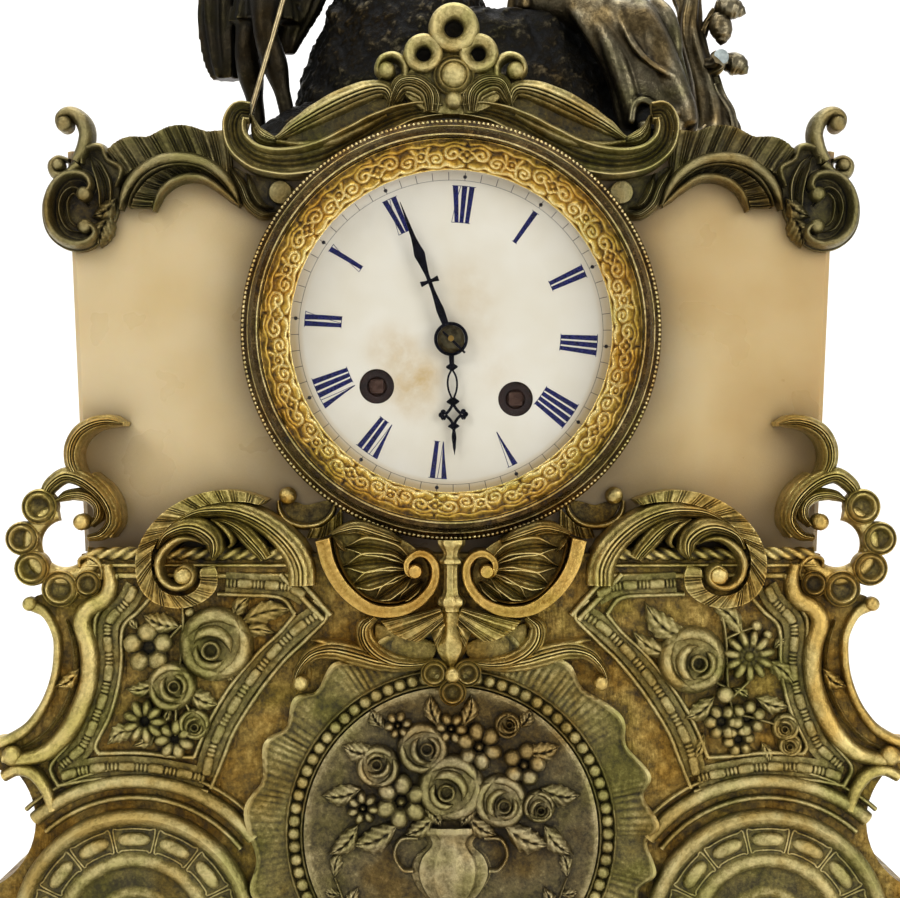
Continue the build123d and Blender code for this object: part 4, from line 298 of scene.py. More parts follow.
def ball(centre: Pair, radius: float, ground: float, lift: float = 0.0, around: int = 16) -> Shape:
    """Half ball on an upright foot: height lift + r sin(a), radius r cos(a)."""
    a = np.linspace(0, np.pi / 2, 6)
    profile = np.vstack([(radius, 0.0), np.stack([radius * np.cos(a), lift + radius * np.sin(a)], 1)])
    return boss(centre, profile, ground, around)


def eyelet(centre: Pair, radius: float, rise: float, ground: float, hole: float = 0.45) -> Shape:
    """Thick ring: a broad rounded rim round an upright hole that goes down to the face."""
    r, h = radius, rise
    profile = [(r, 0), (r, 0.55 * h), (0.97 * r, 0.8 * h), (0.9 * r, 0.95 * h), (0.8 * r, h), (0.66 * r, 0.95 * h),
               ((hole + 0.1) * r, 0.84 * h), (hole * r, 0.7 * h), (hole * r, 0.06 * h), (0, 0.05 * h)]
    return boss(centre, profile, ground, 32)


def cup(centre: Pair, radius: float, rise: float, ground: float) -> Shape:
    """Dished disc: a broad flange, a thin raised ring at 0.7 of the radius and a bowl."""
    r, h = radius, rise
    profile = [(r, 0), (r, 0.6 * h), (0.97 * r, 0.8 * h), (0.91 * r, 0.86 * h), (0.84 * r, 0.8 * h),
               (0.77 * r, 0.86 * h), (0.7 * r, h), (0.64 * r, 0.96 * h), (0.56 * r, 0.8 * h), (0.46 * r, 0.62 * h),
               (0.3 * r, 0.52 * h), (0.15 * r, 0.5 * h), (0, 0.52 * h)]
    return boss(centre, profile, ground, 34)


def strung(path: Array, pitch: float, radius: float, rise: float, ground: float, closed: bool = False,
           long: float = 1.0) -> Shape:
    """Row of round beads along a path, each a half ball of 8 by 3 faces turned to the path.

    Args:
        path: points (x, z).
        pitch: spacing from bead to bead, rounded so that the row fits.
        radius: half width of a bead.
        rise: height of a bead.
        ground: y of the face under them.
        closed: whether the path is a loop.
        long: length of a bead along the path over its width.

    Returns:
        All the beads as one surface.
    """
    p = np.vstack([path, path[:1]]) if closed else path
    s = np.concatenate([[0.0], np.cumsum(strides(p))])
    count = max(int(round(s[-1] / pitch)), 2)
    u = np.linspace(0, s[-1], count, endpoint=not closed)
    at, ahead, behind = (np.stack([np.interp(u + k, s, column) for column in p.T], 1) for k in (0, 0.05, -0.05))
    t = unit_rows(ahead - behind)
    unit = boss((0, 0), [(1, 0), (0.95, 0.45), (0.6, 0.85), (0, 1)], 0.0, 8)
    a, h, b = unit.points[:, 0] * radius * long, -unit.points[:, 1] * rise, unit.points[:, 2] * radius
    x = at[:, :1] + a * t[:, :1] - b * t[:, 1:]
    z = at[:, 1:] + a * t[:, 1:] + b * t[:, :1]
    points = np.stack([x, np.broadcast_to(ground - h, x.shape), z], -1).reshape(-1, 3)
    faces = (unit.faces[None] + (np.arange(count) * len(unit.points))[:, None, None]).reshape(-1, 4)
    return Shape(points, faces, np.tile(unit.height, count))


def bead_and_reel(path: Array, radius: float, ground: float, bead: float = 5.6, reels: float = 3.8) -> Shape:
    """Bead-and-reel moulding: a half-round band whose radius follows the length, long bead then three reels.

    Args:
        path: points (x, z).
        radius: half width of the bead.
        ground: y of the face under it.
        bead: length of a bead.
        reels: length of the three reels between two beads.

    Returns:
        The moulding as a closed surface.
    """
    length = strides(path).sum()
    unit = length / max(round(length / (bead + reels)), 1)
    fine = spline(path, int(length / 0.28) + 2)
    t = np.linspace(0, length, len(fine)) % unit
    share = bead / (bead + reels) * unit
    plump = 1 - 0.5 * np.clip(np.abs(t - share / 2) / (share / 2), 0, 1) ** 8
    reel = 0.62 + 0.3 * np.abs(np.sin(3 * np.pi * (t - share) / (unit - share)))
    r = radius * np.where(t < share, plump, reel)
    return band(fine, 2 * r, r * 1.1, Section.ROUND, ground)


def spiral(centre: Pair, outer: float, inner: float, start: float, turn: float, count: int = 24) -> Array:
    """Volute line: the radius falls evenly in its logarithm from outer to inner while the angle turns."""
    a = np.radians(np.linspace(start, start + turn, count))
    r = np.exp(np.linspace(np.log(outer), np.log(inner), count))
    return np.stack([centre[0] + r * np.cos(a), centre[1] + r * np.sin(a)], 1)


def arc(centre: Pair, radius: float, start: float, end: float, count: int = 48) -> Array:
    """Points on a circle from one angle to another, in degrees from X towards Z."""
    a = np.radians(np.linspace(start, end, count))
    return np.stack([centre[0] + radius * np.cos(a), centre[1] + radius * np.sin(a)], 1)


def circle(centre: Pair, radius: float, count: int) -> Array:
    """Points spread evenly round a whole circle."""
    return arc(centre, radius, 0, 360, count + 1)[:-1]


def bloom(centre: Pair, radius: float, rise: float, rings: Sequence[tuple[float, ...]], ground: float, turn: float,
          heart: float) -> Shape:
    """Flower: rings of oval petals, each with height base + cup d^2.5, d its own distance; the highest petal shows.

    The rim follows the outermost point of the first ring on each ray, which solves the oval's quadratic.

    Args:
        centre: (x, z) of the flower.
        radius: its reach.
        rise: its height.
        rings: (petals, distance, half length, half width, base, cup) of each ring, sizes as shares of the reach.
        ground: y of the face under it.
        turn: angle of the first petal, degrees.
        heart: share of the reach that the middle takes, a button where positive and a pit where negative.

    Returns:
        The flower as a closed surface.
    """
    t = np.concatenate([np.linspace(0, 1, 26), [1.0]])[:, None]
    a = turns(80)[None]

    def across(ring: int) -> Array:
        """Angle from each ray to each petal of a ring."""
        count = int(rings[ring][0])
        return a[..., None] - np.radians(turn) - 0.7 * ring - np.arange(count) * 2 * np.pi / count

    far, long, wide = rings[0][1:4]
    c, s = np.cos(across(0)), np.sin(across(0))
    k = (c / long) ** 2 + (s / wide) ** 2
    b = far * c / long ** 2
    root = b * b - k * ((far / long) ** 2 - 1)
    rim = np.where((root > 0) & (c > 0), (b + np.sqrt(np.maximum(root, 0))) / k, 0.55 * far).max(-1)
    r = t * rim
    h, shade_and_dirt = np.full(r.shape, 0.16), np.ones(r.shape)
    for ring, (count, far, long, wide, base, dish) in enumerate(rings):
        angle = across(ring)
        d = np.hypot((r[..., None] * np.cos(angle) - far) / long, r[..., None] * np.sin(angle) / wide)
        step = base + 0.05 * (np.arange(int(count)) % 2)
        top = np.where(d < 1, step + dish * d ** 2.5, 0)
        best = top.argmax(-1)[..., None]
        over = top.max(-1) > h
        h = np.where(over, top.max(-1), h)
        # Darker towards the border of the petal on top: painted shade where petals overlap, and dirt
        shade_and_dirt = np.where(over, np.take_along_axis(d, best, -1)[..., 0] ** 4, shade_and_dirt)
    middle = np.exp(-(r / max(abs(heart), 0.01)) ** 4)
    h = np.where(heart > 0, h * (1 - middle) + middle * (0.8 - 0.5 * (r / heart) ** 2), h * (1 - 0.85 * middle))
    h = np.clip(h, 0.05, 1)
    h[-1] = 0.0
    x, z = centre[0] + radius * r * np.cos(a), centre[1] + radius * r * np.sin(a)
    return loft(np.stack([x, ground - rise * h, z], -1), np.clip(0.3 + 0.45 * h + 0.25 * (1 - 2 * shade_and_dirt), 0, 1))


def blossom(centre: Pair, radius: float, rise: float, petals: int, ground: float, turn: float = 0.0,
            heart: float = 0.3) -> Shape:
    """Open flower: one ring of domed petals round a button, or round a pit where the heart is negative."""
    half = min(0.6 * np.sin(np.pi / petals) * 1.12, 0.42)
    return bloom(centre, radius, rise, [(petals, 0.6, 0.4, half, 0.85, -0.4)], ground, turn, heart)


def rose(centre: Pair, radius: float, rise: float, ground: float, turn: float = 0.0) -> Shape:
    """Full rose: a low dome wrapped by three outer and two inner petals, each a round band along an arc, round a pit.

    Args:
        centre: (x, z) of the flower.
        radius: its reach.
        rise: its height.
        ground: y of the face under it.
        turn: angle of the first petal, degrees.

    Returns:
        The rose as one surface.
    """
    dome = [(radius, 0), (0.98 * radius, 0.3 * rise), (0.86 * radius, 0.48 * rise), (0.6 * radius, 0.58 * rise),
            (0, 0.58 * rise)]
    parts = [boss(centre, dome, ground, 40)]
    parts[0].height *= 0.5
    full = np.array([0.25, 0.85, 1.0, 0.9, 0.25])
    heart = spiral(centre, 0.16 * radius, 0.15 * radius, turn + 215, 1, 2)[0]
    for middle, far, first, last, wide, high in (
            (centre, 0.76, 5, 150, 0.5, 0.74), (centre, 0.74, 125, 270, 0.52, 0.66),
            (centre, 0.76, 245, 385, 0.48, 0.7), (heart, 0.5, -30, 140, 0.42, 0.95),
            (heart, 0.4, 130, 310, 0.36, 0.85)):
        line = arc((middle[0], middle[1]), far * radius, turn + first, turn + last, 40)
        parts.append(band(line, wide * radius * full, high * rise * (0.55 + 0.45 * full), Section.ROUND, ground))
    flower = joined(parts + [eyelet((heart[0], heart[1]), 0.27 * radius, 0.95 * rise, ground, 0.5)])
    flower.height *= 0.75
    return flower


def leaflet(root: Pair, tip: Pair, width: float, rise: float, ground: float, bow: float = 0.15,
            teeth: int = 5) -> Shape:
    """Leaf with a sunk midrib: width w sin(pi u^0.8), side veins cos(2 pi (n u - 0.8 |v|)), a toothed edge.

    Args:
        root: (x, z) where it leaves the stem.
        tip: (x, z) of the point.
        width: greatest width.
        rise: height at the edges of the midrib.
        ground: y of the face under it.
        bow: how far the leaf bends aside, as a share of its length.
        teeth: veins and teeth on each side.

    Returns:
        The leaf as a closed surface.
    """
    a, b = np.asarray(root, float), np.asarray(tip, float)
    along = b - a
    aside = np.array([-along[1], along[0]])
    u = np.linspace(0, 1, 25)[:, None]
    v = np.linspace(-1, 1, 13)[None]
    mid = a + along * u + aside * bow * np.sin(np.pi * u)
    full = np.sin(np.pi * np.clip(u, 0.0, 1) ** 0.8) * (1 - 0.14 * np.abs(np.sin(teeth * np.pi * u)))
    w = np.maximum(width * full, 0.25)
    n = aside / np.linalg.norm(aside)
    f = along / np.linalg.norm(along)
    reach = v * w / 2
    x = mid[:, :1] + n[0] * reach + f[0] * np.abs(reach) * 0.35
    z = mid[:, 1:] + n[1] * reach + f[1] * np.abs(reach) * 0.35
    vein = 0.5 + 0.5 * np.cos(2 * np.pi * (teeth * u - np.abs(v) * 0.8))
    h = (0.55 + 0.45 * np.sin(np.pi * u) ** 0.5) * (1 - 0.45 * v ** 2) * (0.86 + 0.14 * vein)
    h = h - 0.25 * np.exp(-(v / 0.16) ** 2) * np.sin(np.pi * u)
    front = np.stack([x, ground - rise * np.maximum(h, 0.12), z], -1)
    back = np.stack([x[:, [-1, 0]], np.full((len(u), 2), ground), z[:, [-1, 0]]], -1)
    return backed(front, back, h)


def pleated(first: Points, second: Points, pleats: float, rise: Values, far: Values, ground: float, cut: float = 0.5,
            bow: float = 0.0, wave: float = 0.0, stepped: bool = False) -> Shape:
    """Pleated leaf between two edges: straight lines join them, the height runs from one rise to the other.

    Uneven pleats cos(2 pi n s) cut it from edge to edge, bow sin(pi f) swells its middle, and wave sin(0.3 n s + 0.8)
    throws its first edge forwards and back.

    Args:
        first: points (x, z) of one edge.
        second: points of the other, run the same way.
        pleats: how many.
        rise: height along the first edge.
        far: height along the second.
        ground: y of the face under it.
        cut: depth of the pleats.
        bow: swell of the middle.
        wave: throw of the first edge.
        stepped: whether its back reaches to the body's face where it stands over the base.

    Returns:
        The leaf as a closed surface.
    """
    n = int(pleats * 7) + 40
    s, f = np.linspace(0, 1, n)[:, None], np.linspace(0, 1, 12)[None]
    flat = spline(first, n)[:, None] * (1 - f[..., None]) + spline(second, n)[:, None] * f[..., None]
    turn = 2 * np.pi * pleats * (s + 0.35 / pleats * np.sin(1.7 * pleats * s))
    rib = 0.5 + 0.5 * np.cos(turn) * (0.75 + 0.25 * np.sin(0.83 * pleats * s)) + 0 * f
    h = taper(n, rise)[:, None] * (1 - f) + taper(n, far)[:, None] * f + bow * np.sin(np.pi * f) + cut * (rib - 1)
    h = np.maximum(h + wave * np.sin(0.3 * pleats * s + 0.8) * (1 - f) ** 1.5, 0.3)
    front = np.stack([flat[..., 0], ground - h, flat[..., 1]], -1)
    edge = flat[:, [-1, 0]]
    rear = np.where(edge[..., 1] > BASE_TOP, BODY_FACE, ground) if stepped else np.full(edge.shape[:2], ground)
    back = np.stack([edge[..., 0], rear, edge[..., 1]], -1)
    tone = np.clip(0.32 + 0.28 * rib + 0.25 * (h / h.max()), 0, 1)
    return backed(front, back, tone)


def plate(outline: Points, rise: float, ground: float, tone: float = 1.0) -> Shape:
    """Flat casting with an eased rim over a closed outline that its middle can see all of; a low tone paints it dark
    as the shade of the hollow that it stands for.
    """
    p = spline(outline, 120, True)
    mid = p.mean(axis=0)
    rows = [(1.0, 0.0), (1.0, rise * 0.75), (0.985, rise * 0.95), (0.96, rise), (0.5, rise)]
    rings = np.stack([np.stack([mid[0] + (p[:, 0] - mid[0]) * k, np.full(len(p), ground - h),
                                mid[1] + (p[:, 1] - mid[1]) * k], -1) for k, h in rows])
    return loft(rings, np.array([[0.0], [0.3], [0.5], [0.5], [0.4]]) * tone)


def tube(path: Array, radius: Values | Array, around: int = 14, up: Spot = (0, 1, 0)) -> Shape:
    """Round bar along a path in space: circles of the given radius square to the path.

    Args:
        path: points (x, y, z).
        radius: radius along the path, or an array (rows, around) of radii.
        around: points round the bar.
        up: direction that the circles start from, not along the path.

    Returns:
        The bar as a closed surface.
    """
    t = unit_rows(np.gradient(path, axis=0))
    n = unit_rows(np.cross(t, np.asarray(up, float)))
    b = np.cross(n, t)
    r = np.asarray(radius, float)
    r = r if r.ndim == 2 else taper(len(path), r)[:, None]
    a = turns(r.shape[1] if r.shape[1] > 1 else around)
    ring = n[:, None] * np.cos(a)[None, :, None] + b[:, None] * np.sin(a)[None, :, None]
    return loft(path[:, None] + ring * r[..., None])


def ellipses(levels: Array, a: Array, k: Array) -> Array:
    """Loops of points at the angles a on level ellipses, drawn out by the factors k.

    Args:
        levels: x, y, z of the middle and the two half axes of each.
        a: angles, shape (1, around).
        k: factors on the half axes, shape (rows, around).

    Returns:
        An array of shape (rows, around, 3).
    """
    return np.stack([levels[:, :1] + levels[:, 3:4] * k * np.cos(a), levels[:, 1:2] + levels[:, 4:5] * k * np.sin(a),
                     np.broadcast_to(levels[:, 2:3], k.shape)], -1)


def drape(levels: Points, folds: int, depth: Values, around: int = 96, rows: int = 40, twist: float = 0.0) -> Shape:
    """Draped cloth: ellipses stacked by height whose radius is 1 + d cos(n a + twist), d growing with depth.

    Args:
        levels: x, y, z of the middle and the two half axes, from the bottom up.
        folds: number of folds round it.
        depth: depth of the folds along the height, as a share of the radius.
        around: points round each loop.
        rows: number of loops.
        twist: turn of the folds from the bottom to the top, radians.

    Returns:
        The cloth as a closed surface.
    """
    c = spline(levels, rows)
    a = turns(around)[None]
    u = np.linspace(0, 1, rows)[:, None]
    d = taper(rows, depth)[:, None]
    wave = np.cos(folds * a + twist * u + 1.3 * np.sin(2 * a)) + 0.4 * np.cos((2 * folds - 3) * a - 2 * twist * u)
    return loft(ellipses(c, a, 1 + d * wave / 1.4), np.clip(0.5 + wave / 2.8, 0, 1))


def rough(p: Array, size: float, seed: int = 1) -> Array:
    """Smooth lumps from -1 to 1: five octaves of products of sines in turned directions, each 0.55 as strong.

    Args:
        p: points (..., 3).
        size: spacing of the largest lumps.
        seed: chooses the directions.

    Returns:
        One number per point.
    """
    rng = np.random.default_rng(seed)
    total = np.zeros(p.shape[:-1])
    for octave in range(5):
        turn = np.linalg.qr(rng.normal(size=(3, 3)))[0]
        q = p @ turn * (2 * np.pi / size * 1.9 ** octave) + rng.uniform(0, 6, 3)
        total = total + np.sin(q[..., 0] + np.sin(q[..., 1])) * np.sin(q[..., 1] + np.sin(q[..., 2])) * 0.55 ** octave
    return np.clip(total / 1.6, -1, 1)


def worn(mesh: bpy.types.Mesh, height: Array) -> Array:
    """Wear of each vertex: proud and convex places are rubbed bright, hollow and concave ones stay dark.

    The bend is the offset from the mean of the neighbours along the normal, over the mean edge length; it is
    averaged once with the neighbours and added to the height.

    Args:
        mesh: the finished mesh.
        height: height of each vertex from 0 to 1.

    Returns:
        A number from 0 to 1 per vertex.
    """
    n = len(mesh.vertices)
    p, normal, edges = np.zeros(n * 3), np.zeros(n * 3), np.zeros(len(mesh.edges) * 2, int)
    mesh.vertices.foreach_get("co", p)
    mesh.vertices.foreach_get("normal", normal)
    mesh.edges.foreach_get("vertices", edges)
    p, normal, e = p.reshape(-1, 3), normal.reshape(-1, 3), edges.reshape(-1, 2)
    count = np.maximum(np.bincount(e.ravel(), minlength=n), 1)

    def spread(values: Array) -> Array:
        """Mean over the neighbours of each vertex."""
        return (np.bincount(e[:, 0], values[e[:, 1]], n) + np.bincount(e[:, 1], values[e[:, 0]], n)) / count

    mean = np.stack([spread(column) for column in p.T], 1)
    length = np.linalg.norm(p[e[:, 0]] - p[e[:, 1]], axis=1)
    size = (np.bincount(e[:, 0], length, n) + np.bincount(e[:, 1], length, n)) / count
    bend = np.einsum("ij,ij->i", normal, p - mean) / np.maximum(size, TINY)
    bend = 0.6 * bend + 0.4 * spread(bend)
    return np.clip(0.26 + 0.44 * height + 0.85 * bend, 0, 1)


def place(name: str, shape: Shape, body: str, slot: str, material: bpy.types.Material, *nodes: str,
          crease: float = 48.0) -> bpy.types.Object:
    """Puts a surface into the scene as a piece that rides on a body.

    Args:
        name: name of the piece.
        shape: its surface, millimetres.
        body: body that it moves with.
        slot: material slot of the record; not used.
        material: its finish.
        nodes: nodes that it stands for.
        crease: edges bent more than this stay sharp, degrees.

    Returns:
        The new object.
    """
    mesh = bpy.data.meshes.new(name)
    mesh.from_pydata(shape.points * MM, [], shape.faces)
    mesh.attributes.new("height", "FLOAT", "POINT").data.foreach_set("value", shape.height.astype(np.float32))
    bm = bmesh.new()
    bm.from_mesh(mesh)
    bmesh.ops.remove_doubles(bm, verts=bm.verts, dist=MERGE)
    bmesh.ops.dissolve_degenerate(bm, edges=bm.edges, dist=SLIVER)
    bm.to_mesh(mesh)
    bm.free()
    return finish_piece(name, mesh, body, material, nodes, crease)


def finish_piece(name: str, mesh: bpy.types.Mesh, body: str, material: bpy.types.Material,
                 nodes: Sequence[str], crease: float) -> bpy.types.Object:
    """Shades a mesh, writes its wear, and makes it a piece; see place for the arguments."""
    height = np.full(len(mesh.vertices), 0.5, np.float32)
    if "height" in mesh.attributes:
        mesh.attributes["height"].data.foreach_get("value", height)
    mesh.polygons.foreach_set("use_smooth", np.ones(len(mesh.polygons), bool))
    mesh.set_sharp_from_angle(angle=np.radians(crease))
    mesh.update()
    wear = worn(mesh, height.astype(float))
    mesh.attributes.new("wear", "FLOAT", "POINT").data.foreach_set("value", wear.astype(np.float32))
    mesh.materials.append(material)
    piece = bpy.data.objects.new(name, mesh)
    bpy.context.scene.collection.objects.link(piece)
    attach(piece, body)
    if nodes:
        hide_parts(*nodes)
    LOG.info("%s: %d faces on %s", name, len(mesh.polygons), body)
    return piece


def place_pair(node: str, left: Shape, right: Shape, finish: Finish) -> None:
    """Puts the carved form of a mount on both sides of the case in place of its two nodes; see place."""
    for side, carved in (("left", left), ("right", right)):
        place(f"{node}_{side}_carved", carved, "case", "gilt_bronze", finish.make(), f"{node}_{side}")


def remeshed(name: str, shape: Shape, voxel: float, smooth: int) -> bpy.types.Mesh:
    """One continuous skin over a heap of surfaces: a voxel remesh, then smoothing passes.

    Args:
        name: name of the mesh.
        shape: the heap of closed surfaces, millimetres.
        voxel: size of the voxels, millimetres.
        smooth: number of smoothing passes.

    Returns:
        The new mesh, in metres.
    """
    heap = bpy.data.meshes.new(name + "_heap")
    heap.from_pydata(shape.points * MM, [], shape.faces)
    carrier = bpy.data.objects.new(name + "_heap", heap)
    bpy.context.scene.collection.objects.link(carrier)
    skin = carrier.modifiers.new("skin", "REMESH")
    skin.mode, skin.voxel_size, skin.adaptivity = "VOXEL", voxel * MM, 0.0
    ease = carrier.modifiers.new("ease", "SMOOTH")
    ease.factor, ease.iterations = 0.5, smooth
    graph = bpy.context.evaluated_depsgraph_get()
    mesh = bpy.data.meshes.new_from_object(carrier.evaluated_get(graph))
    mesh.name = name
    bpy.data.objects.remove(carrier)
    bpy.data.meshes.remove(heap)
    return mesh


def linear(code: str) -> tuple[float, float, float, float]:
    """Linear colour of an sRGB hex value such as "#C8A050"."""
    c = np.array([int(code[i:i + 2], 16) for i in (1, 3, 5)]) / 255
    c = np.where(c <= 0.04045, c / 12.92, ((c + 0.055) / 1.055) ** 2.4)
    return (float(c[0]), float(c[1]), float(c[2]), 1.0)


def add(tree: Tree, kind: str, links: dict[str | int, object] | None = None, stops: Sequence[tuple[float, str]] = (),
        **settings: object) -> Socket:
    """Adds a node.

    Args:
        tree: node tree of the material.
        kind: node type without its prefix.
        links: input name or number to a socket to link from, or to a value to set.
        stops: positions and hex colours, for a node that has a colour ramp.
        settings: properties of the node.

    Returns:
        The first output of the new node that can be linked.
    """
    made = tree.nodes.new("ShaderNode" + kind)
    for key, value in settings.items():
        setattr(made, key, value)
    for key, value in (links or {}).items():
        if isinstance(value, Socket):
            tree.links.new(value, made.inputs[key])
        else:
            made.inputs[key].default_value = value
    for index, (position, code) in enumerate(stops):
        elements = made.color_ramp.elements
        element = elements[index] if index < len(elements) else elements.new(1.0)
        element.position, element.color = position, linear(code)
    return next(socket for socket in made.outputs if socket.enabled and not socket.is_unavailable)


def remap(tree: Tree, value: Socket, start: float, end: float, low: float = 0.0, high: float = 1.0,
          **settings: object) -> Socket:
    """Adds a node that carries a value from start and end to low and high, clamped; see add."""
    return add(tree, "MapRange", {"Value": value, "From Min": start, "From Max": end, "To Min": low, "To Max": high},
               **settings)


def noise(tree: Tree, at: Socket, size: float, detail: float, rough: float = 0.5) -> Socket:
    """Adds a noise whose lumps are about that many millimetres wide; see add."""
    return add(tree, "TexNoise", {"Vector": at, "Scale": 1 / MM / size, "Detail": detail, "Roughness": rough})


def blank(name: str) -> tuple[bpy.types.Material, Tree, bpy.types.Node]:
    """New material of that name, its node tree and its surface shader."""
    material = bpy.data.materials.new(name)
    material.use_nodes = True
    tree = material.node_tree
    return material, tree, tree.nodes["Principled BSDF"]


@dataclass(frozen=True)
class Finish:
    """What every finish shares: a name, and one material that is made once and then used again."""

    name: str

    def make(self) -> bpy.types.Material:
        """The material of this finish, built on the first call."""
        known = bpy.data.materials.get(self.name)
        if known:
            return known
        material, tree, shader = blank(self.name)
        at = add(tree, "TexCoord").node.outputs["Object"]
        for socket, source in self.dress(tree, at, shader).items():
            tree.links.new(source, shader.inputs[socket])
        return material

    def dress(self, tree: Tree, at: Socket, shader: bpy.types.Node) -> dict[str, Socket]:
        """Adds the nodes that read the place; returns what each input of the shader is linked to."""
        raise NotImplementedError


@dataclass(frozen=True)
class Patina(Finish):
    """Cast metal that is dark in its hollows and rubbed bright where it stands proud.

    Fire-gilt bronze goes brown-black where dirt sits and keeps its gold on ridges; brown lacquer and green copper
    salts cloud it from place to place. Ambient occlusion darkens the colour more in hollows and between parts:
    painted shade on top of the dirt.
    """

    hollow: str
    shade: str
    body: str
    high: str
    polish: float = 0.36
    dull: float = 0.62
    carved: bool = True
    bias: float = 0.0
    matting: float = 0.0
    cloudy: float = 1.0
    tinge: tuple[str, str] = ("#EBDABB", "#E3E7D0")

    def dress(self, tree: Tree, at: Socket, shader: bpy.types.Node) -> dict[str, Socket]:
        """Wear, clouding, mottling and painted shade from ambient occlusion choose colour, roughness and metal; see
        Finish.
        """
        tinge, cloud, mottle, grain = (
            noise(tree, at, *lumps)
            for lumps in ((24.0, 3.0, 0.6), (15.0, 4.0, 0.55), (3.2, 5.0, 0.65), (1.1, 3.0, 0.7)))
        if self.carved:
            start = add(tree, "Attribute", attribute_name="wear").node.outputs["Fac"]
        else:
            start = remap(tree, mottle, 0.3, 0.7, 0.36, 0.62)
        # Ambient occlusion lowers the value in hollows and between parts: painted shade, added to the dirt that the
        # wear puts there
        ambient_shade = add(tree, "AmbientOcclusion", {"Distance": 0.005}, samples=6).node.outputs["AO"]
        total = remap(tree, ambient_shade, 0.25, 0.95, -0.22, 0.06)
        for source, share in ((start, 1.0), (cloud, 0.45 * self.cloudy), (mottle, 0.8 * self.cloudy),
                              (grain, 0.7 * self.cloudy)):
            total = add(tree, "Math", {0: source, 1: share, 2: total}, operation="MULTIPLY_ADD")
        # This value also carries the painted shade of the occlusion, so sheltered places come out darker in colour
        wear = add(tree, "Math", {0: total, 1: self.bias - 0.98 * self.cloudy}, operation="ADD", use_clamp=True)
        metal_colour = add(tree, "ValToRGB", {"Fac": wear},
                           [(0.02, self.hollow), (0.27, self.shade), (0.56, self.body), (0.96, self.high)])
        cast = add(tree, "ValToRGB", {"Fac": tinge}, [(0.38, self.tinge[0]), (0.5, "#FFFFFF"), (0.63, self.tinge[1])])
        colour = add(tree, "Mix", {0: 1.0, 6: metal_colour, 7: cast}, data_type="RGBA", blend_type="MULTIPLY")
        gloss = remap(tree, wear, 0.15, 0.85, self.dull, self.polish)
        metal = remap(tree, wear, 0.1, 0.45, 0.55)
        relief = add(tree, "Math", {0: mottle, 1: 0.9, 2: grain}, operation="MULTIPLY_ADD")
        if self.matting:
            stroke = add(tree, "Mapping", {"Vector": at, "Rotation": (0.0, 0.7, 0.0), "Scale": (1.0, 1.0, 0.2)})
            struck = noise(tree, stroke, 1.1, 2.0)
            relief = add(tree, "Math", {0: struck, 1: self.matting, 2: relief}, operation="MULTIPLY_ADD")
        bump = add(tree, "Bump", {"Height": relief, "Strength": 0.7 * self.cloudy, "Distance": 0.0005})
        return {"Base Color": colour, "Roughness": gloss, "Metallic": metal, "Normal": bump}


@dataclass(frozen=True)
class Alabaster(Finish):
    """Polished honey alabaster: light sinks in a few millimetres, orange clouding, painted shade and dirt by the
    mounts.
    """

    def dress(self, tree: Tree, at: Socket, shader: bpy.types.Node) -> dict[str, Socket]:
        """Two sizes of clouding over cream, darkened close to the metal mounts by painted shade and dirt; see Finish.
        """
        cloud, streak, ripple = (noise(tree, at, *lumps) for lumps in ((70.0, 2.0), (21.0, 3.0), (3.0, 4.0)))
        mix = add(tree, "Math", {0: streak, 1: 0.22, 2: cloud}, operation="MULTIPLY_ADD")
        stone = add(tree, "ValToRGB", {"Fac": mix},
                    [(0.34, "#A8854F"), (0.5, "#BB9E69"), (0.66, "#C7AF7E"), (0.84, "#D0BC92")])
        # Ambient occlusion darkens the stone near the mounts: painted shade, with the dirt that gathers there
        ambient_shade = add(tree, "AmbientOcclusion", {"Distance": 0.02}, samples=8).node.outputs["AO"]
        shade_and_dirt = remap(tree, ambient_shade, 0.45, 0.92, 0.75, 0.0)
        shaded_soiled_stone = add(tree, "Mix", {0: shade_and_dirt, 6: stone, 7: linear("#5E4A2A")}, data_type="RGBA")
        rough = remap(tree, streak, 0.3, 0.7, 0.24, 0.42)
        bump = add(tree, "Bump", {"Height": ripple, "Strength": 0.08, "Distance": 0.0004})
        shader.inputs["Subsurface Weight"].default_value = 0.35
        shader.inputs["Subsurface Radius"].default_value = (1.0, 0.6, 0.28)
        shader.inputs["Subsurface Scale"].default_value = 0.006
        shader.inputs["IOR"].default_value = 1.52
        return {"Base Color": shaded_soiled_stone, "Roughness": rough, "Normal": bump}


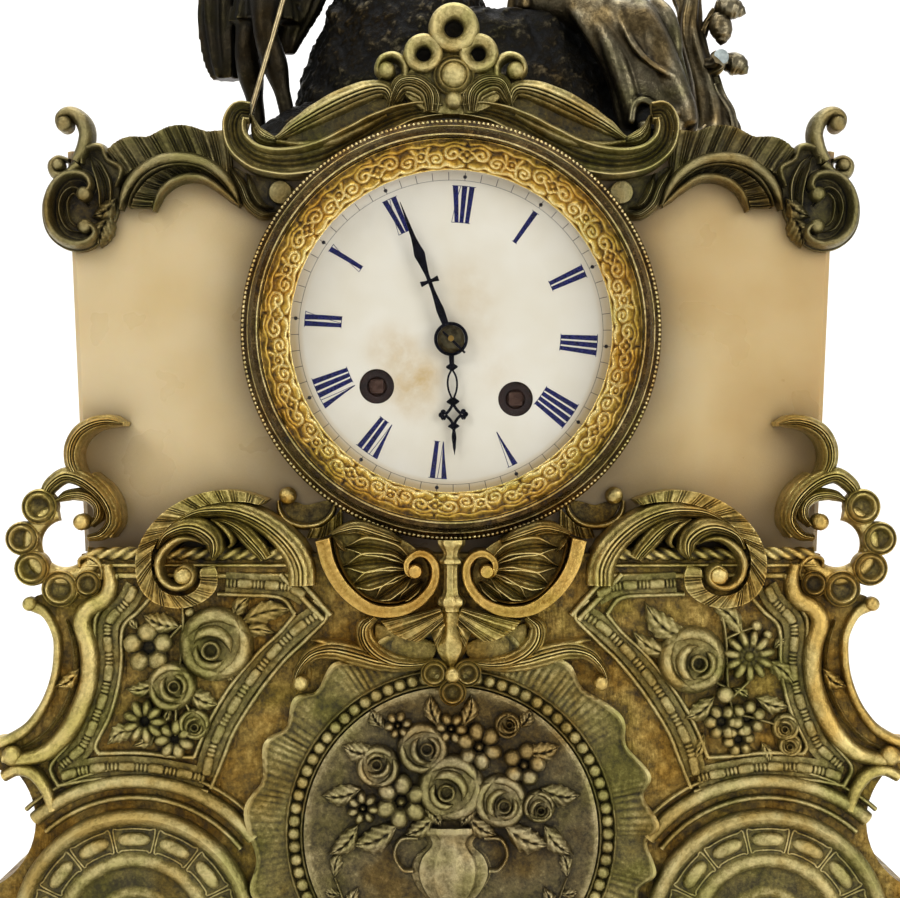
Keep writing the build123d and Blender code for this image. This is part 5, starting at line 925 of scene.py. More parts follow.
@dataclass(frozen=True)
class Enamel(Finish):
    """Fired white enamel on copper: glossy, faintly uneven, yellowed by oil round the hands and winding holes."""

    stains: tuple[tuple[float, float, float, float], ...] = (
        (-12.0, 222.0, 14.0, 1.0), (-18.0, 235.0, 12.0, 0.8), (-9.0, 230.0, 12.0, 0.5), (5.0, 256.0, 16.0, 0.35),
        (8.0, 244.0, 14.0, 0.35), (14.0, 228.0, 14.0, 0.25))

    def dress(self, tree: Tree, at: Socket, shader: bpy.types.Node) -> dict[str, Socket]:
        """Stains (x, z, radius, strength) that a noise breaks up, and dust low on the rim; see Finish."""
        flat = add(tree, "VectorMath", {0: at, 1: (1.0, 0.0, 1.0)}, operation="MULTIPLY")
        broken, cloud, ripple = (noise(tree, at, *lumps, 0.62) for lumps in ((9.0, 6.0), (30.0, 3.0), (5.0, 3.0)))
        torn = remap(tree, broken, 0.22, 0.72)
        total: Socket | float = 0.0
        for x, z, radius, much in self.stains:
            reach = add(tree, "VectorMath", {0: flat, 1: (x * MM, 0.0, z * MM)}, operation="DISTANCE")
            spot = remap(tree, reach, 0.0, radius * MM, much, 0.0, interpolation_type="SMOOTHSTEP")
            total = add(tree, "Math", {0: spot, 1: total}, operation="ADD")
        stain = add(tree, "Math", {0: total, 1: torn}, operation="MULTIPLY", use_clamp=True)
        ground = add(tree, "ValToRGB", {"Fac": cloud}, [(0.3, "#EAE3CE"), (0.7, "#F5F1E3")])
        reach = add(tree, "VectorMath", {0: flat, 1: (0.0, 0.0, DIAL_Z * MM)}, operation="DISTANCE")
        rim = remap(tree, reach, 45.5 * MM, 48.5 * MM)
        deep = add(tree, "SeparateXYZ", {0: at}).node.outputs["Z"]
        low = remap(tree, deep, (DIAL_Z + 34) * MM, (DIAL_Z - 4) * MM, 0.0, 0.8)
        dust = add(tree, "Math", {0: rim, 1: low}, operation="MULTIPLY")
        oiled = add(tree, "Mix", {0: stain, 6: ground, 7: linear("#CBAA68")}, data_type="RGBA")
        mixed = add(tree, "Mix", {0: dust, 6: oiled, 7: linear("#D6BC84")}, data_type="RGBA")
        gloss = remap(tree, stain, 0.0, 1.0, 0.16, 0.4)
        bump = add(tree, "Bump", {"Height": ripple, "Strength": 0.05, "Distance": 0.0003})
        shader.inputs["IOR"].default_value = 1.5
        return {"Base Color": mixed, "Roughness": gloss, "Normal": bump}


@dataclass(frozen=True)
class Coat(Finish):
    """Even finish that varies a little from place to place: enamel paint, blued steel, turned brass, glass."""

    low: str
    high: str
    metallic: float = 0.0
    gloss: float = 0.25
    rough: float = 0.45
    size_mm: float = 4.0
    ior: float = 1.5
    alpha: float = 1.0
    bump_mm: float = 0.02

    def dress(self, tree: Tree, at: Socket, shader: bpy.types.Node) -> dict[str, Socket]:
        """One noise turns the colour, a finer one the roughness and the bump; see Finish."""
        broad, fine = (noise(tree, at, size, 4.0) for size in (self.size_mm, self.size_mm / 3))
        colour = add(tree, "ValToRGB", {"Fac": broad}, [(0.32, self.low), (0.68, self.high)])
        rough = remap(tree, fine, 0.3, 0.7, self.gloss, self.rough)
        bump = add(tree, "Bump", {"Height": fine, "Strength": 0.25, "Distance": self.bump_mm * MM})
        shader.inputs["Metallic"].default_value = self.metallic
        shader.inputs["Alpha"].default_value = self.alpha
        if self.metallic < 0.5:
            shader.inputs["IOR"].default_value = self.ior
        return {"Base Color": colour, "Roughness": rough, "Normal": bump}


# Antique gilding of the mounts: olive-brown gold, near black in the hollows, pale gold on the ridges
GILT = Patina("gilt_bronze_antique", "#221C0F", "#5C5030", "#94834C", "#DCC682", bias=0.02)
# The same casting where it is a plain ground, matted with a punch, with no carving of its own
GROUND = Patina("gilt_bronze_ground", "#241D0F", "#5E4D28", "#8A723B", "#BFA55F", carved=False, matting=1.4)
# Flower panels, collar, roundels and palmette: greener and darker than the rest
FIELD = Patina("gilt_bronze_green", "#1E1B10", "#524A2E", "#847848", "#CDBD84", polish=0.5, bias=0.02,
               tinge=("#E8DABD", "#D6DDC4"))
# Corner crestings: greyer and less gilded
CREST = Patina("gilt_bronze_greyed", "#191611", "#4A432E", "#706745", "#988C62", polish=0.44)
# Stamped sheet of the sight ring: the brightest gold
STAMPED = Patina("stamped_gilt_brass", "#3A290D", "#8C6B27", "#CFA646", "#FBE49C", polish=0.24, dull=0.5, bias=0.14)
# Flat C-bands of the cartouche: rubbed to clear yellow gold
RUBBED = Patina("gilt_bronze_rubbed", "#2A1F0C", "#6A5124", "#977534", "#CCA85C", polish=0.32)
# Relief plaque: bronze that has kept little gilding
MEDAL = Patina("medal_bronze_worn", "#1A1711", "#473F2D", "#746848", "#B5A67B", polish=0.38, bias=0.05)
# Standing figure: dark chemical patina, brown-black, rubbed to brass on knees and folds
DARK = Patina("dark_bronze_patina", "#070605", "#181510", "#302B21", "#786B4A", polish=0.34, dull=0.5, bias=-0.06,
              cloudy=0.5)
# Seated figure and vine stump: browner and more rubbed
ROBE = Patina("dark_bronze_robe", "#090806", "#24201A", "#504939", "#B8AC8C", polish=0.28, dull=0.46, bias=0.06,
              cloudy=0.4)
# The rock under them: matt, almost black; the same finish colours the disc that paints the shadow under the hem
ROCK = Patina("dark_bronze_rock", "#050504", "#100F0D", "#25221C", "#655C47", polish=0.45, bias=-0.1)
# Turned rim of the bezel: lacquered brass gone brown
TONED = Patina("toned_brass_rim", "#100B06", "#2C2114", "#4A3B24", "#7C6740", polish=0.16, dull=0.32, carved=False)
# The same brass on the row of beads, rubbed on their tops
TONED_BEADS = Patina("toned_brass_beads", "#17110A", "#554726", "#9A8550", "#E2CF98", polish=0.24, dull=0.42)
# Gold leaf over bole on the wooden plinth
LEAF = Patina("gold_leaf_on_wood", "#2A160C", "#6A4A22", "#9B7F42", "#D3B672", polish=0.34, dull=0.6)
STONE = Alabaster("alabaster_polished")
DIAL = Enamel("fired_enamel")
BRASS = Coat("brass_satin_plate", "#8E6F35", "#B8954F", 1.0, 0.25, 0.4, 7.0)
# Brass boss that holds the hands, gone grey
COLLET = Coat("grey_brass_collet", "#332E22", "#6E664C", 1.0, 0.28, 0.5, 2.2)
STEEL = Coat("polished_steel", "#7B7C80", "#A6A7AB", 1.0, 0.2, 0.36, 5.0)
BLUED = Coat("blued_steel_hands", "#08080D", "#1B1B26", 0.85, 0.28, 0.45, 2.5)
INK = Coat("vitreous_blue_numerals", "#090C3C", "#151B66", 0.0, 0.2, 0.35, 1.2)
# Squares of the winding arbors, browned steel, dark like the painted shade of the cups round them
ARBOR = Coat("browned_steel_square", "#4A362E", "#6E574C", 1.0, 0.3, 0.5, 2.0)
# Dark brown ring inside the winding holes: painted shade of the holes
HOLE_SHADE = Coat("winding_hole_painted_shade", "#1E100D", "#38201A", 0.0, 0.35, 0.6, 2.0)
TRACK = Coat("vitreous_black_track", "#23232C", "#3A3A44", 0.0, 0.25, 0.4, 1.2)
GLASS = Coat("dial_glass_clear", "#0A0B0A", "#141614", 0.0, 0.02, 0.05, 20.0, 1.5, 0.05, 0.002)
BELL = Coat("bell_metal_turned", "#8C7A4C", "#B4A06A", 1.0, 0.22, 0.38, 3.0)
# Sawn end of the vine branch, bare and whitened
CUT = Coat("bare_metal_cut", "#97A3A2", "#C6D0CD", 0.5, 0.35, 0.5, 1.5)
STAFF = Coat("pale_brass_staff", "#8F7E5C", "#B7A67E", 1.0, 0.3, 0.48, 3.0)
PAPER = Coat("studio_paper", "#F4F3F1", "#F8F7F6", 0.0, 0.8, 0.95, 400.0)


def run(points: Points, width: Values, rise: Values, section: Section, ground: float, **how: object) -> Shape:
    """Band along a smooth curve through points, sampled about every half millimetre; see band and spline."""
    count = int(np.clip(strides(points).sum() / RUN_STEP, *RUN_COUNTS))
    return band(spline(points, count), width, rise, section, ground, **how)


def rope(start: Pair, end: Pair, radius: float, pitch: float, y: float) -> Shape:
    """Twisted rope moulding: a bar whose radius is r (1 + 0.17 cos(3 a - 2 pi s / pitch)).

    Args:
        start: (x, z) of one end.
        end: (x, z) of the other.
        radius: mean radius.
        pitch: length of one turn of a strand over three.
        y: depth of its axis.

    Returns:
        The rope as a closed surface.
    """
    length = float(np.hypot(end[0] - start[0], end[1] - start[1]))
    s = np.linspace(0, length, int(length / 0.4))
    x, z = np.interp(s, (0, length), (start[0], end[0])), np.interp(s, (0, length), (start[1], end[1]))
    around = 18
    strand = np.cos(3 * turns(around)[None] - 2 * np.pi * s[:, None] / pitch)
    shape = tube(np.stack([x, np.full_like(s, y), z], 1), radius * (1 + 0.17 * strand))
    shape.height[around:-around] = np.clip(0.5 + 0.5 * strand, 0, 1).reshape(-1)
    return shape


def baluster(x: float, profile: Points, ground: float, flutes: int = 0, flat: float = 1.0) -> Shape:
    """Half-turned upright: radius against height about a vertical axis in the ground, fluted if asked.

    Args:
        x: place of the axis.
        profile: (z, radius) from the top down.
        ground: y of the axis.
        flutes: hollows over the front half.
        flat: depth over half width.

    Returns:
        The upright as a closed surface.
    """
    p = spline(profile, 60)
    a = np.linspace(0, np.pi, 33)[None]
    cut = 1 - 0.12 * np.abs(np.sin(flutes * a / 2)) if flutes else 1.0
    r = np.maximum(p[:, 1:], 0.05) * cut
    rings = np.stack([x + r * np.cos(a), ground - flat * r * np.sin(a), np.broadcast_to(p[:, :1], r.shape)], -1)
    return loft(rings, np.sin(a) * 0.7 + 0.3)


@dataclass
class Bezel:
    """Hinged front: toned rim with a row of beads, stamped sight ring and the domed glass."""

    bead_ring: float = 63.2
    bead_pitch: float = 1.42
    bead_y: float = -50.5
    inner: float = 49.8
    outer: float = 58.0
    inner_y: float = -44.2
    outer_y: float = -52.2
    repeats: int = 12
    steps: int = 72
    stamped: float = 1.35

    def beads(self) -> Shape:
        """Fine beads round the rim, half balls that look forwards."""
        ring = circle((0.0, DIAL_Z), self.bead_ring, 720)
        beads = strung(ring, self.bead_pitch, 0.72, 1.45, self.bead_y, True)
        wires = [band(circle((0.0, DIAL_Z), r, 360), 0.6, h, Section.ROUND, y, True)
                 for r, y, h in ((61.6, -52.8, 0.55), (58.5, -56.9, 0.4))]
        return joined([beads, *wires])

    def motif(self, u: Array, v: Array) -> Array:
        """Height of one stamped repeat: ridges exp(-(d / w)²) along paired volutes, a flower and ring bosses.

        Args:
            u: place along the ring within the repeat, millimetres from its middle.
            v: place across the ring, millimetres from its middle.

        Returns:
            Heights from 0 to 1.
        """
        half = np.pi * (self.inner + self.outer) / 2 / self.repeats
        lines = [spiral((4.3, 0.4), 3.7, 0.7, 150, -520, 60), spiral((9.6, -1.4), 2.9, 0.6, 20, 470, 50),
                 spline([(1.2, -4.0), (3.6, -4.6), (6.4, -3.6), (8.2, -4.4), (11.0, -4.2), (half, -3.4)], 40),
                 spline([(1.0, 4.2), (4.0, 4.9), (7.4, 3.6), (10.4, 4.4), (half, 3.6)], 40),
                 spline([(half - 2.6, 3.0), (half - 1.6, 0.0), (half - 2.4, -3.2)], 24)]
        ridge = np.zeros(u.shape)
        for line in lines:
            d = np.sqrt(((np.abs(u)[..., None] - line[:, 0]) ** 2 + (v[..., None] - line[:, 1]) ** 2).min(-1))
            ridge = np.maximum(ridge, np.exp(-(d / 0.86) ** 2))
        r, a = np.hypot(u, v), np.arctan2(v, u)
        petals = np.exp(-((r - 1.7 - 0.7 * np.abs(np.cos(2 * a))) / 0.62) ** 2)
        heart = np.exp(-(r / 0.6) ** 2)
        rings = np.exp(-((np.hypot(np.abs(u) - half, v) - 1.7) / 0.55) ** 2)
        knobs = np.exp(-(np.hypot(np.abs(u) - half, v) / 0.7) ** 2)
        return np.max([ridge, 0.9 * petals, heart, rings, knobs], axis=0)

    def sight(self) -> Shape:
        """Stamped sight ring: a cone from the glass down to the dial, raised by the motif, with a plain lip."""
        rows, cols = self.repeats * self.steps, 44
        a = turns(rows)[:, None]
        t = np.linspace(0, 1, cols)[None]
        slant = float(np.hypot(self.outer - self.inner, self.outer_y - self.inner_y))
        mean = (self.inner + self.outer) / 2
        sector = 2 * np.pi / self.repeats
        u = ((a + sector / 2) % sector - sector / 2) * mean + 0 * t
        v = (t - 0.5) * slant + 0 * a
        h = self.motif(u[:self.steps], v[:self.steps])
        h = np.tile(h, (self.repeats, 1)) * np.clip(np.minimum(t, 1 - t) / 0.05, 0, 1)
        lip = np.exp(-((t - 0.03) / 0.03) ** 2) * 0.8
        lift = self.stamped * np.maximum(h, lip)
        r = self.inner + (self.outer - self.inner) * t - lift * 0.55
        y = self.inner_y + (self.outer_y - self.inner_y) * t ** 0.9 - lift * 0.55
        turn = np.radians(DIAL_TWIST)
        front = np.stack([r * np.sin(a + turn), y + 0 * a, DIAL_Z + r * np.cos(a + turn)], -1)
        back = [(self.outer, self.inner_y), (self.inner + 0.4, self.inner_y)]
        ray = a[:, 0] + turn
        rear = np.stack([np.stack([far * np.sin(ray), np.full(rows, deep), DIAL_Z + far * np.cos(ray)], -1)
                         for far, deep in back], 1)
        # The outer third is darkened towards the rim: painted shade under the bezel's rim
        tone = np.maximum(h, lip) * (1 - 0.5 * np.clip((t - 0.66) / 0.34, 0, 1))
        return backed(front, rear, tone, True)

    def build(self) -> None:
        """Places the beads and the sight ring on the swinging bezel."""
        place("bezel_beads", self.beads(), "bezel", "brass", TONED_BEADS.make())
        place("sight_ring_stamped", self.sight(), "bezel", "gilt_bronze", STAMPED.make(), "sight_ring")


@dataclass
class DialPrint:
    """What is fired on the enamel: Roman numerals, the minute track and the dots at each five minutes."""

    inner: float = 34.0
    outer: float = 45.6
    track: Pair = (47.2, 49.7)
    flat: float = 35.35
    front: float = -39.5
    rim: float = -38.9
    radius: float = 50.5
    thick: float = 0.05
    serif: float = 0.2
    dot: float = 0.62
    holes: tuple[Pair, ...] = ((20.02, 219.31), (-23.01, 223.23))
    cup_radius: float = 4.15
    cup_y: float = -36.2
    pin: tuple[Pair, ...] = ((-2.6, 2.2), (0.4, -0.6), (4.3, -4.4))

    def depth(self, r: Array) -> Array:
        """Y of the enamel at a radius: flat in the middle, then a cone that falls back to the rim."""
        return np.interp(r, (0, self.flat, self.radius), (self.front, self.front, self.rim))

    def strokes(self, corners: Array) -> Shape:
        """Thin prisms over four-cornered strokes.

        Args:
            corners: (count, 4, 2) of angle (radians, clockwise from twelve) and radius.

        Returns:
            All strokes as one surface of the print's thickness, with each long side cut in four to follow the cone.
        """
        f = np.linspace(0, 1, 5)[None, :, None]
        left = corners[:, None, 0] * (1 - f) + corners[:, None, 1] * f
        right = corners[:, None, 3] * (1 - f) + corners[:, None, 2] * f
        turn = np.radians(DIAL_TWIST)
        loops = []
        for edge, lift in ((left, 0.0), (left, self.thick), (right, self.thick), (right, 0.0)):
            a, r = edge[..., 0] + turn, edge[..., 1]
            loops.append(np.stack([r * np.sin(a), self.depth(r) - lift, DIAL_Z + r * np.cos(a)], -1))
        rings = np.stack(loops, 2)
        n, rows = rings.shape[:2]
        index = np.arange(n * rows * 4).reshape(n, rows, 4)
        beside = np.roll(index, -1, 2)
        sides = np.stack([index[:, :-1], beside[:, :-1], beside[:, 1:], index[:, 1:]], -1).reshape(-1, 4)
        caps = np.concatenate([index[:, 0, ::-1], index[:, -1]])
        return Shape(rings.reshape(-1, 3), np.vstack([sides, caps]), np.full(n * rows * 4, 0.5)).outward()

    def numerals(self) -> Shape:
        """Numerals I to XII on radial lines; thick strokes, thin strokes and hairline serifs.

        A letter is strokes between the inner and outer circle given as (tangent at the inner circle, tangent at
        the outer circle, thickness at the inner one, thickness at the outer one) in millimetres at mid radius.
        """
        letters = {"I": ([(0.0, 0.0, 1.45, 1.45)], 2.0), "V": ([(0.1, -0.75, 0.3, 1.55), (0.2, 1.1, 0.18, 0.18)], 2.9),
                   "X": ([(0.4, -0.4, 1.45, 1.45), (-1.4, 1.1, 0.18, 0.18)], 2.3)}
        words = ["I", "II", "III", "IIII", "V", "VI", "VII", "VIII", "IX", "X", "XI", "XII"]
        mid = (self.inner + self.outer) / 2
        quads = []
        for hour, word in enumerate(words, 1):
            at = -sum(letters[c][1] for c in word) / 2
            for c in word:
                pieces, wide = letters[c]
                centre = at + wide / 2
                for low, high, thin, thick in pieces:
                    quads.append([(centre + low - thin / 2, self.inner), (centre + high - thick / 2, self.outer),
                                  (centre + high + thick / 2, self.outer), (centre + low + thin / 2, self.inner)])
                reach = wide / 2 + (0.0 if c == "V" else 0.1)
                for edge, sign in ((self.inner, 1), (self.outer, -1)):
                    if c == "V" and sign > 0:
                        continue
                    quads.append([(centre - reach, edge), (centre - reach, edge + sign * self.serif),
                                  (centre + reach, edge + sign * self.serif), (centre + reach, edge)])
                at += wide
            count = sum(len(letters[c][0]) + (1 if c == "V" else 2) for c in word)
            for q in quads[-count:]:
                q[:] = [(np.radians(30 * hour) + x / mid, r) for x, r in q]
        return self.strokes(np.array(quads, float))

    def minutes(self) -> Shape:
        """A hairline circle, sixty ticks outside it and twelve dots."""
        steps = np.linspace(0, 2 * np.pi, 241)
        r = self.track[0]
        circles = [[(a, r - 0.05), (b, r - 0.05), (b, r + 0.05), (a, r + 0.05)] for a, b in zip(steps[:-1], steps[1:])]
        ticks = turns(60)
        w = 0.085 / self.track[0]
        marks = [[(a - w, self.track[0]), (a - w, self.track[1]), (a + w, self.track[1]), (a + w, self.track[0])]
                 for a in ticks]
        mid = sum(self.track) / 2 - 0.1
        dots = []
        for a in ticks[::5]:
            k = np.linspace(0, np.pi, 5)
            for p, q in zip(k[:-1], k[1:]):
                dots.append([(a + side * np.sin(f) / mid, mid + self.dot * np.cos(f))
                             for side, f in ((-self.dot, p), (-self.dot, q), (self.dot, q), (self.dot, p))])
        return self.strokes(np.array(circles + marks, float)) + self.strokes(np.array(dots, float))

    def build(self) -> None:
        """Places the print on the dial, which stays with the case."""
        place("dial_numerals", self.numerals(), "case", "enamel", INK.make(), crease=30)
        place("dial_minute_track", self.minutes(), "case", "enamel", TRACK.make(), crease=30)
        # Dark rings in the winding holes paint the shade inside them
        cups = joined([band(circle(at, self.cup_radius, 64), 2.3, 0.5, Section.FLAT, self.cup_y, True)
                       for at in self.holes])
        place("winding_hole_cups", cups, "case", "brass", HOLE_SHADE.make(), crease=30)
        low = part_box("hand_collet")[0][1] / MM
        hub = float(np.mean(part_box("hand_collet"), axis=0)[2]) / MM
        pin = tube(spline([(x, low - 0.1, hub + z) for x, z in self.pin], 16), (0.34, 0.42, 0.36), 10)
        place("hand_taper_pin", pin, "minute_work", "steel", BLUED.make(), crease=50)


@dataclass
class Hands:
    """Pierced hands of blued steel, drawn along their length from the arbor, in place of the plain ones."""

    minute_turn: float = -20.4
    hour_turn: float = 178.2
    wire: float = 0.62

    def strips(self, node: str, turn: float, lines: Sequence[tuple[Points, Values]]) -> Shape:
        """Flat strips of one hand.

        Args:
            node: node whose depth they take.
            turn: direction of the hand, degrees clockwise from twelve.
            lines: points (along, across) and widths of each strip.

        Returns:
            All strips as one surface.
        """
        low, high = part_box(node)
        hub = np.mean(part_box("hand_collet"), axis=0)[[0, 2]] / MM
        a = np.radians(turn)
        along, across = np.array([np.sin(a), np.cos(a)]), np.array([np.cos(a), -np.sin(a)])
        parts = []
        for points, width in lines:
            p = np.asarray(points, float)
            parts.append(run(hub + p[:, :1] * along + p[:, 1:] * across, width, (high[1] - low[1]) / MM, Section.FLAT,
                             high[1] / MM))
        return joined(parts)

    def minute(self) -> Shape:
        """Ring round the collet, a waisted stem, a cross-bar, a long diamond and the point."""
        k = np.linspace(0, 2 * np.pi, 40)
        blade = [(4.6, 2.0), (7.0, 2.3), (9.6, 2.5), (13.0, 1.7), (15.8, 1.25), (20.9, 1.25), (24.6, 2.3), (27.8, 3.5),
                 (30.4, 2.4), (33.1, 1.55), (39.0, 0.9), (44.9, 0.2)]
        stations = np.linspace(blade[0][0], blade[-1][0], 60)
        widths = np.interp(stations, *np.transpose(blade))
        return self.strips("minute_hand", self.minute_turn, [
            (np.stack([4.75 * np.cos(k), 4.75 * np.sin(k)], 1), 1.0),
            (np.stack([stations, 0 * stations], 1), widths),
            ([(18.9, -2.9), (18.9, 0.0), (18.9, 2.9)], (1.7, 1.1, 1.1, 1.7))])

    def hour(self) -> Shape:
        """Stem, a long pierced loop between two buds, a pierced lozenge with three-lobed ends, and the point."""
        w = self.wire
        lines: list[tuple[Points, Values]] = [
            ([(4.6, 0.0), (7.6, 0.0)], (1.6, 1.5)), ([(7.2, 0.0), (8.5, 0.0), (9.9, 0.0)], (0.9, 3.7, 0.9)),
            ([(18.0, 0.0), (19.0, 0.0), (20.6, 0.0)], (1.6, 4.0, 1.2)),
            ([(25.9, 0.0), (26.7, 0.0), (27.9, 0.0)], (1.6, 3.6, 1.2)),
            ([(27.6, 0.0), (30.4, 0.0), (33.4, 0.0), (35.7, 0.0)], (0.9, 1.5, 1.0, 0.2))]
        k = np.linspace(0, 2 * np.pi, 16)
        for side in (-1, 1):
            lines += [([(9.5, 0.2 * side), (11.5, 1.15 * side), (13.7, 1.45 * side), (16.0, 1.15 * side),
                        (18.2, 0.3 * side)], w),
                      ([(20.3, 0.2 * side), (21.7, 1.05 * side), (23.3, 2.5 * side)], 0.9),
                      ([(23.3, 2.5 * side), (24.8, 1.05 * side), (26.2, 0.2 * side)], 0.9)]
            lines += [(np.stack([23.3 + da + 0.42 * np.cos(k), side * dc + 0.42 * np.sin(k)], 1), 0.86)
                      for da, dc in ((-0.85, 3.1), (0.85, 3.1), (0.0, 3.75))]
        return self.strips("hour_hand", self.hour_turn, lines)

    def build(self) -> None:
        """Places each hand on its own arbor."""
        place("minute_hand_pierced", self.minute(), "minute_work", "blued_steel", BLUED.make(), "minute_hand",
              crease=35)
        place("hour_hand_pierced", self.hour(), "hour_work", "blued_steel", BLUED.make(), "hour_hand", crease=35)


@dataclass
class AcanthusScrolls:
    """Leafy scrolls at the shoulders of the base, drawn on the left and mirrored."""

    rise: float = 6.2
    eye_rise: float = 9.5

    def shape(self) -> Shape:
        """Crimped border, two reeded leaves, a curled leaf, a plain volute with its eye, and the small cup scroll."""
        g, k = BASE_FACE, self.rise
        over = {"stepped": True}
        parts = [
            pleated([(-55.5, 188.5), (-61.4, 190.5), (-67.3, 191.4), (-73.2, 190.9), (-79.1, 189.2), (-84.6, 186.2),
                     (-88.8, 182.7), (-92.1, 178.5), (-94.3, 173.8), (-95.1, 169.6), (-94.6, 164.6), (-92.6, 160.4),
                     (-88.8, 157.3), (-83.3, 155.9), (-78.3, 156.4), (-74.0, 158.3), (-70.8, 161.6), (-70.3, 165.8),
                     (-71.3, 168.7)],
                    [(-57.2, 186.9), (-61.8, 187.8), (-66.9, 187.9), (-71.9, 187.3), (-77.4, 185.6), (-82.0, 182.9),
                     (-85.8, 179.5), (-88.6, 175.5), (-90.0, 172.1), (-90.0, 167.9), (-89.2, 164.6), (-87.1, 161.6),
                     (-84.6, 160.1), (-81.2, 159.6), (-78.3, 160.3), (-76.1, 162.2), (-75.3, 164.6), (-75.5, 166.7),
                     (-74.9, 167.9)], 66, (3.2, 3.6, 4.0, 4.4, 4.6, 4.6, 4.4), (4.6, 5.0, 5.2, 5.4, 5.6, 5.4, 5.0), g,
                    0.6, 0.3, **over),
            run([(-86.7, 178.5), (-82.0, 182.2), (-76.6, 184.8), (-70.7, 185.5), (-65.6, 185.2), (-60.6, 183.7),
                 (-55.5, 180.9), (-50.9, 177.1), (-47.4, 172.8), (-45.2, 167.9), (-45.0, 162.6)],
                (0.6, 2.4, 4.0, 4.9, 5.6, 6.3, 6.9, 7.4, 8.0, 8.6, 8.4), (4.4, 5.6, k, 6.6, 6.4, 6.0, 5.4),
                Section.REEDED, g, **over),
            run([(-72.4, 182.6), (-67.3, 181.7), (-63.1, 179.2), (-59.7, 175.7), (-57.2, 172.8), (-55.9, 170.8)],
                (0.6, 2.8, 4.7, 5.6, 5.2, 4.0), (5.0, 6.2, 6.6, 6.2, 5.4), Section.REEDED, g, **over),
            run([(-88.3, 173.8), (-86.4, 177.4), (-82.9, 179.6), (-78.7, 180.5), (-74.7, 179.4), (-71.5, 176.6),
                 (-71.0, 173.4), (-71.9, 170.4)], (1.7, 3.5, 4.9, 5.7, 6.7, 7.2, 5.6, 1.4),
                (5.4, 6.8, 7.6, 7.8, 7.4, 6.4), Section.REEDED, g, **over),
            run([(-71.9, 182.6), (-68.8, 180.6), (-66.6, 178.2), (-65.8, 175.7), (-66.8, 174.3)],
                (0.6, 1.7, 2.3, 2.0, 0.8), (6.6, 7.2, 7.4, 6.8), Section.ROUND, g, **over),
            run([(-74.7, 175.5), (-77.4, 176.7), (-80.8, 176.9), (-83.9, 175.5), (-86.5, 173.0), (-87.9, 170.0),
                 (-87.7, 167.1), (-86.5, 164.4), (-83.9, 162.4), (-80.8, 162.2), (-78.2, 163.7), (-77.4, 166.3),
                 (-78.6, 168.1), (-80.4, 168.6), (-81.9, 167.4)],
                (0.8, 1.7, 2.2, 2.6, 2.9, 3.1, 3.1, 2.9, 2.8, 2.7, 2.6, 2.5, 2.3, 1.9, 1.3),
                (6.4, 7.2, 7.8, 8.2, 8.2, 8.0, 8.4), Section.ROUND, g, **over),
            boss((-80.3, 165.9),
                 [(2.9, 0), (2.9, 6.6), (2.5, 7.6), (1.2, self.eye_rise - 1.2), (0, self.eye_rise - 1.0)], g),
            run([(-53.3, 187.9), (-52.9, 184.8), (-50.9, 181.9), (-47.1, 180.2), (-42.9, 180.1), (-39.1, 181.4),
                 (-36.4, 184.4), (-35.7, 187.9)], (1.3, 1.9, 2.3, 2.4, 2.3, 2.0, 1.7, 0.8), (3.4, 3.6, 3.7, 3.6, 3.2),
                Section.ROUND, BODY_FACE),
            # Near-black plate: painted shade inside the small cup scroll
            plate([(-52.2, 187.3), (-50.1, 182.9), (-46.3, 180.9), (-42.1, 181.0), (-38.3, 183.5), (-36.6, 187.7),
                   (-40.4, 187.5), (-44.6, 186.5), (-48.4, 187.5)], 0.8, BODY_FACE, 0.0),
            boss((-50.4, 189.4), [(2.7, 0), (2.7, 2.2), (2.2, 3.2), (1.0, 3.7), (0, 3.8)], BODY_FACE),
            pleated([(-43.3, 179.3), (-39.5, 179.9), (-36.2, 182.7), (-33.6, 185.6)],
                    [(-44.6, 176.4), (-40.4, 176.4), (-36.6, 178.0), (-33.6, 180.6)], 9, 3.4, 2.6, BODY_FACE, 0.5),
        ]
        return joined(parts)

    def build(self) -> None:
        """Places the left scroll and its mirror image."""
        left = self.shape()
        place_pair("acanthus_scroll", left, left.mirrored(), GILT)


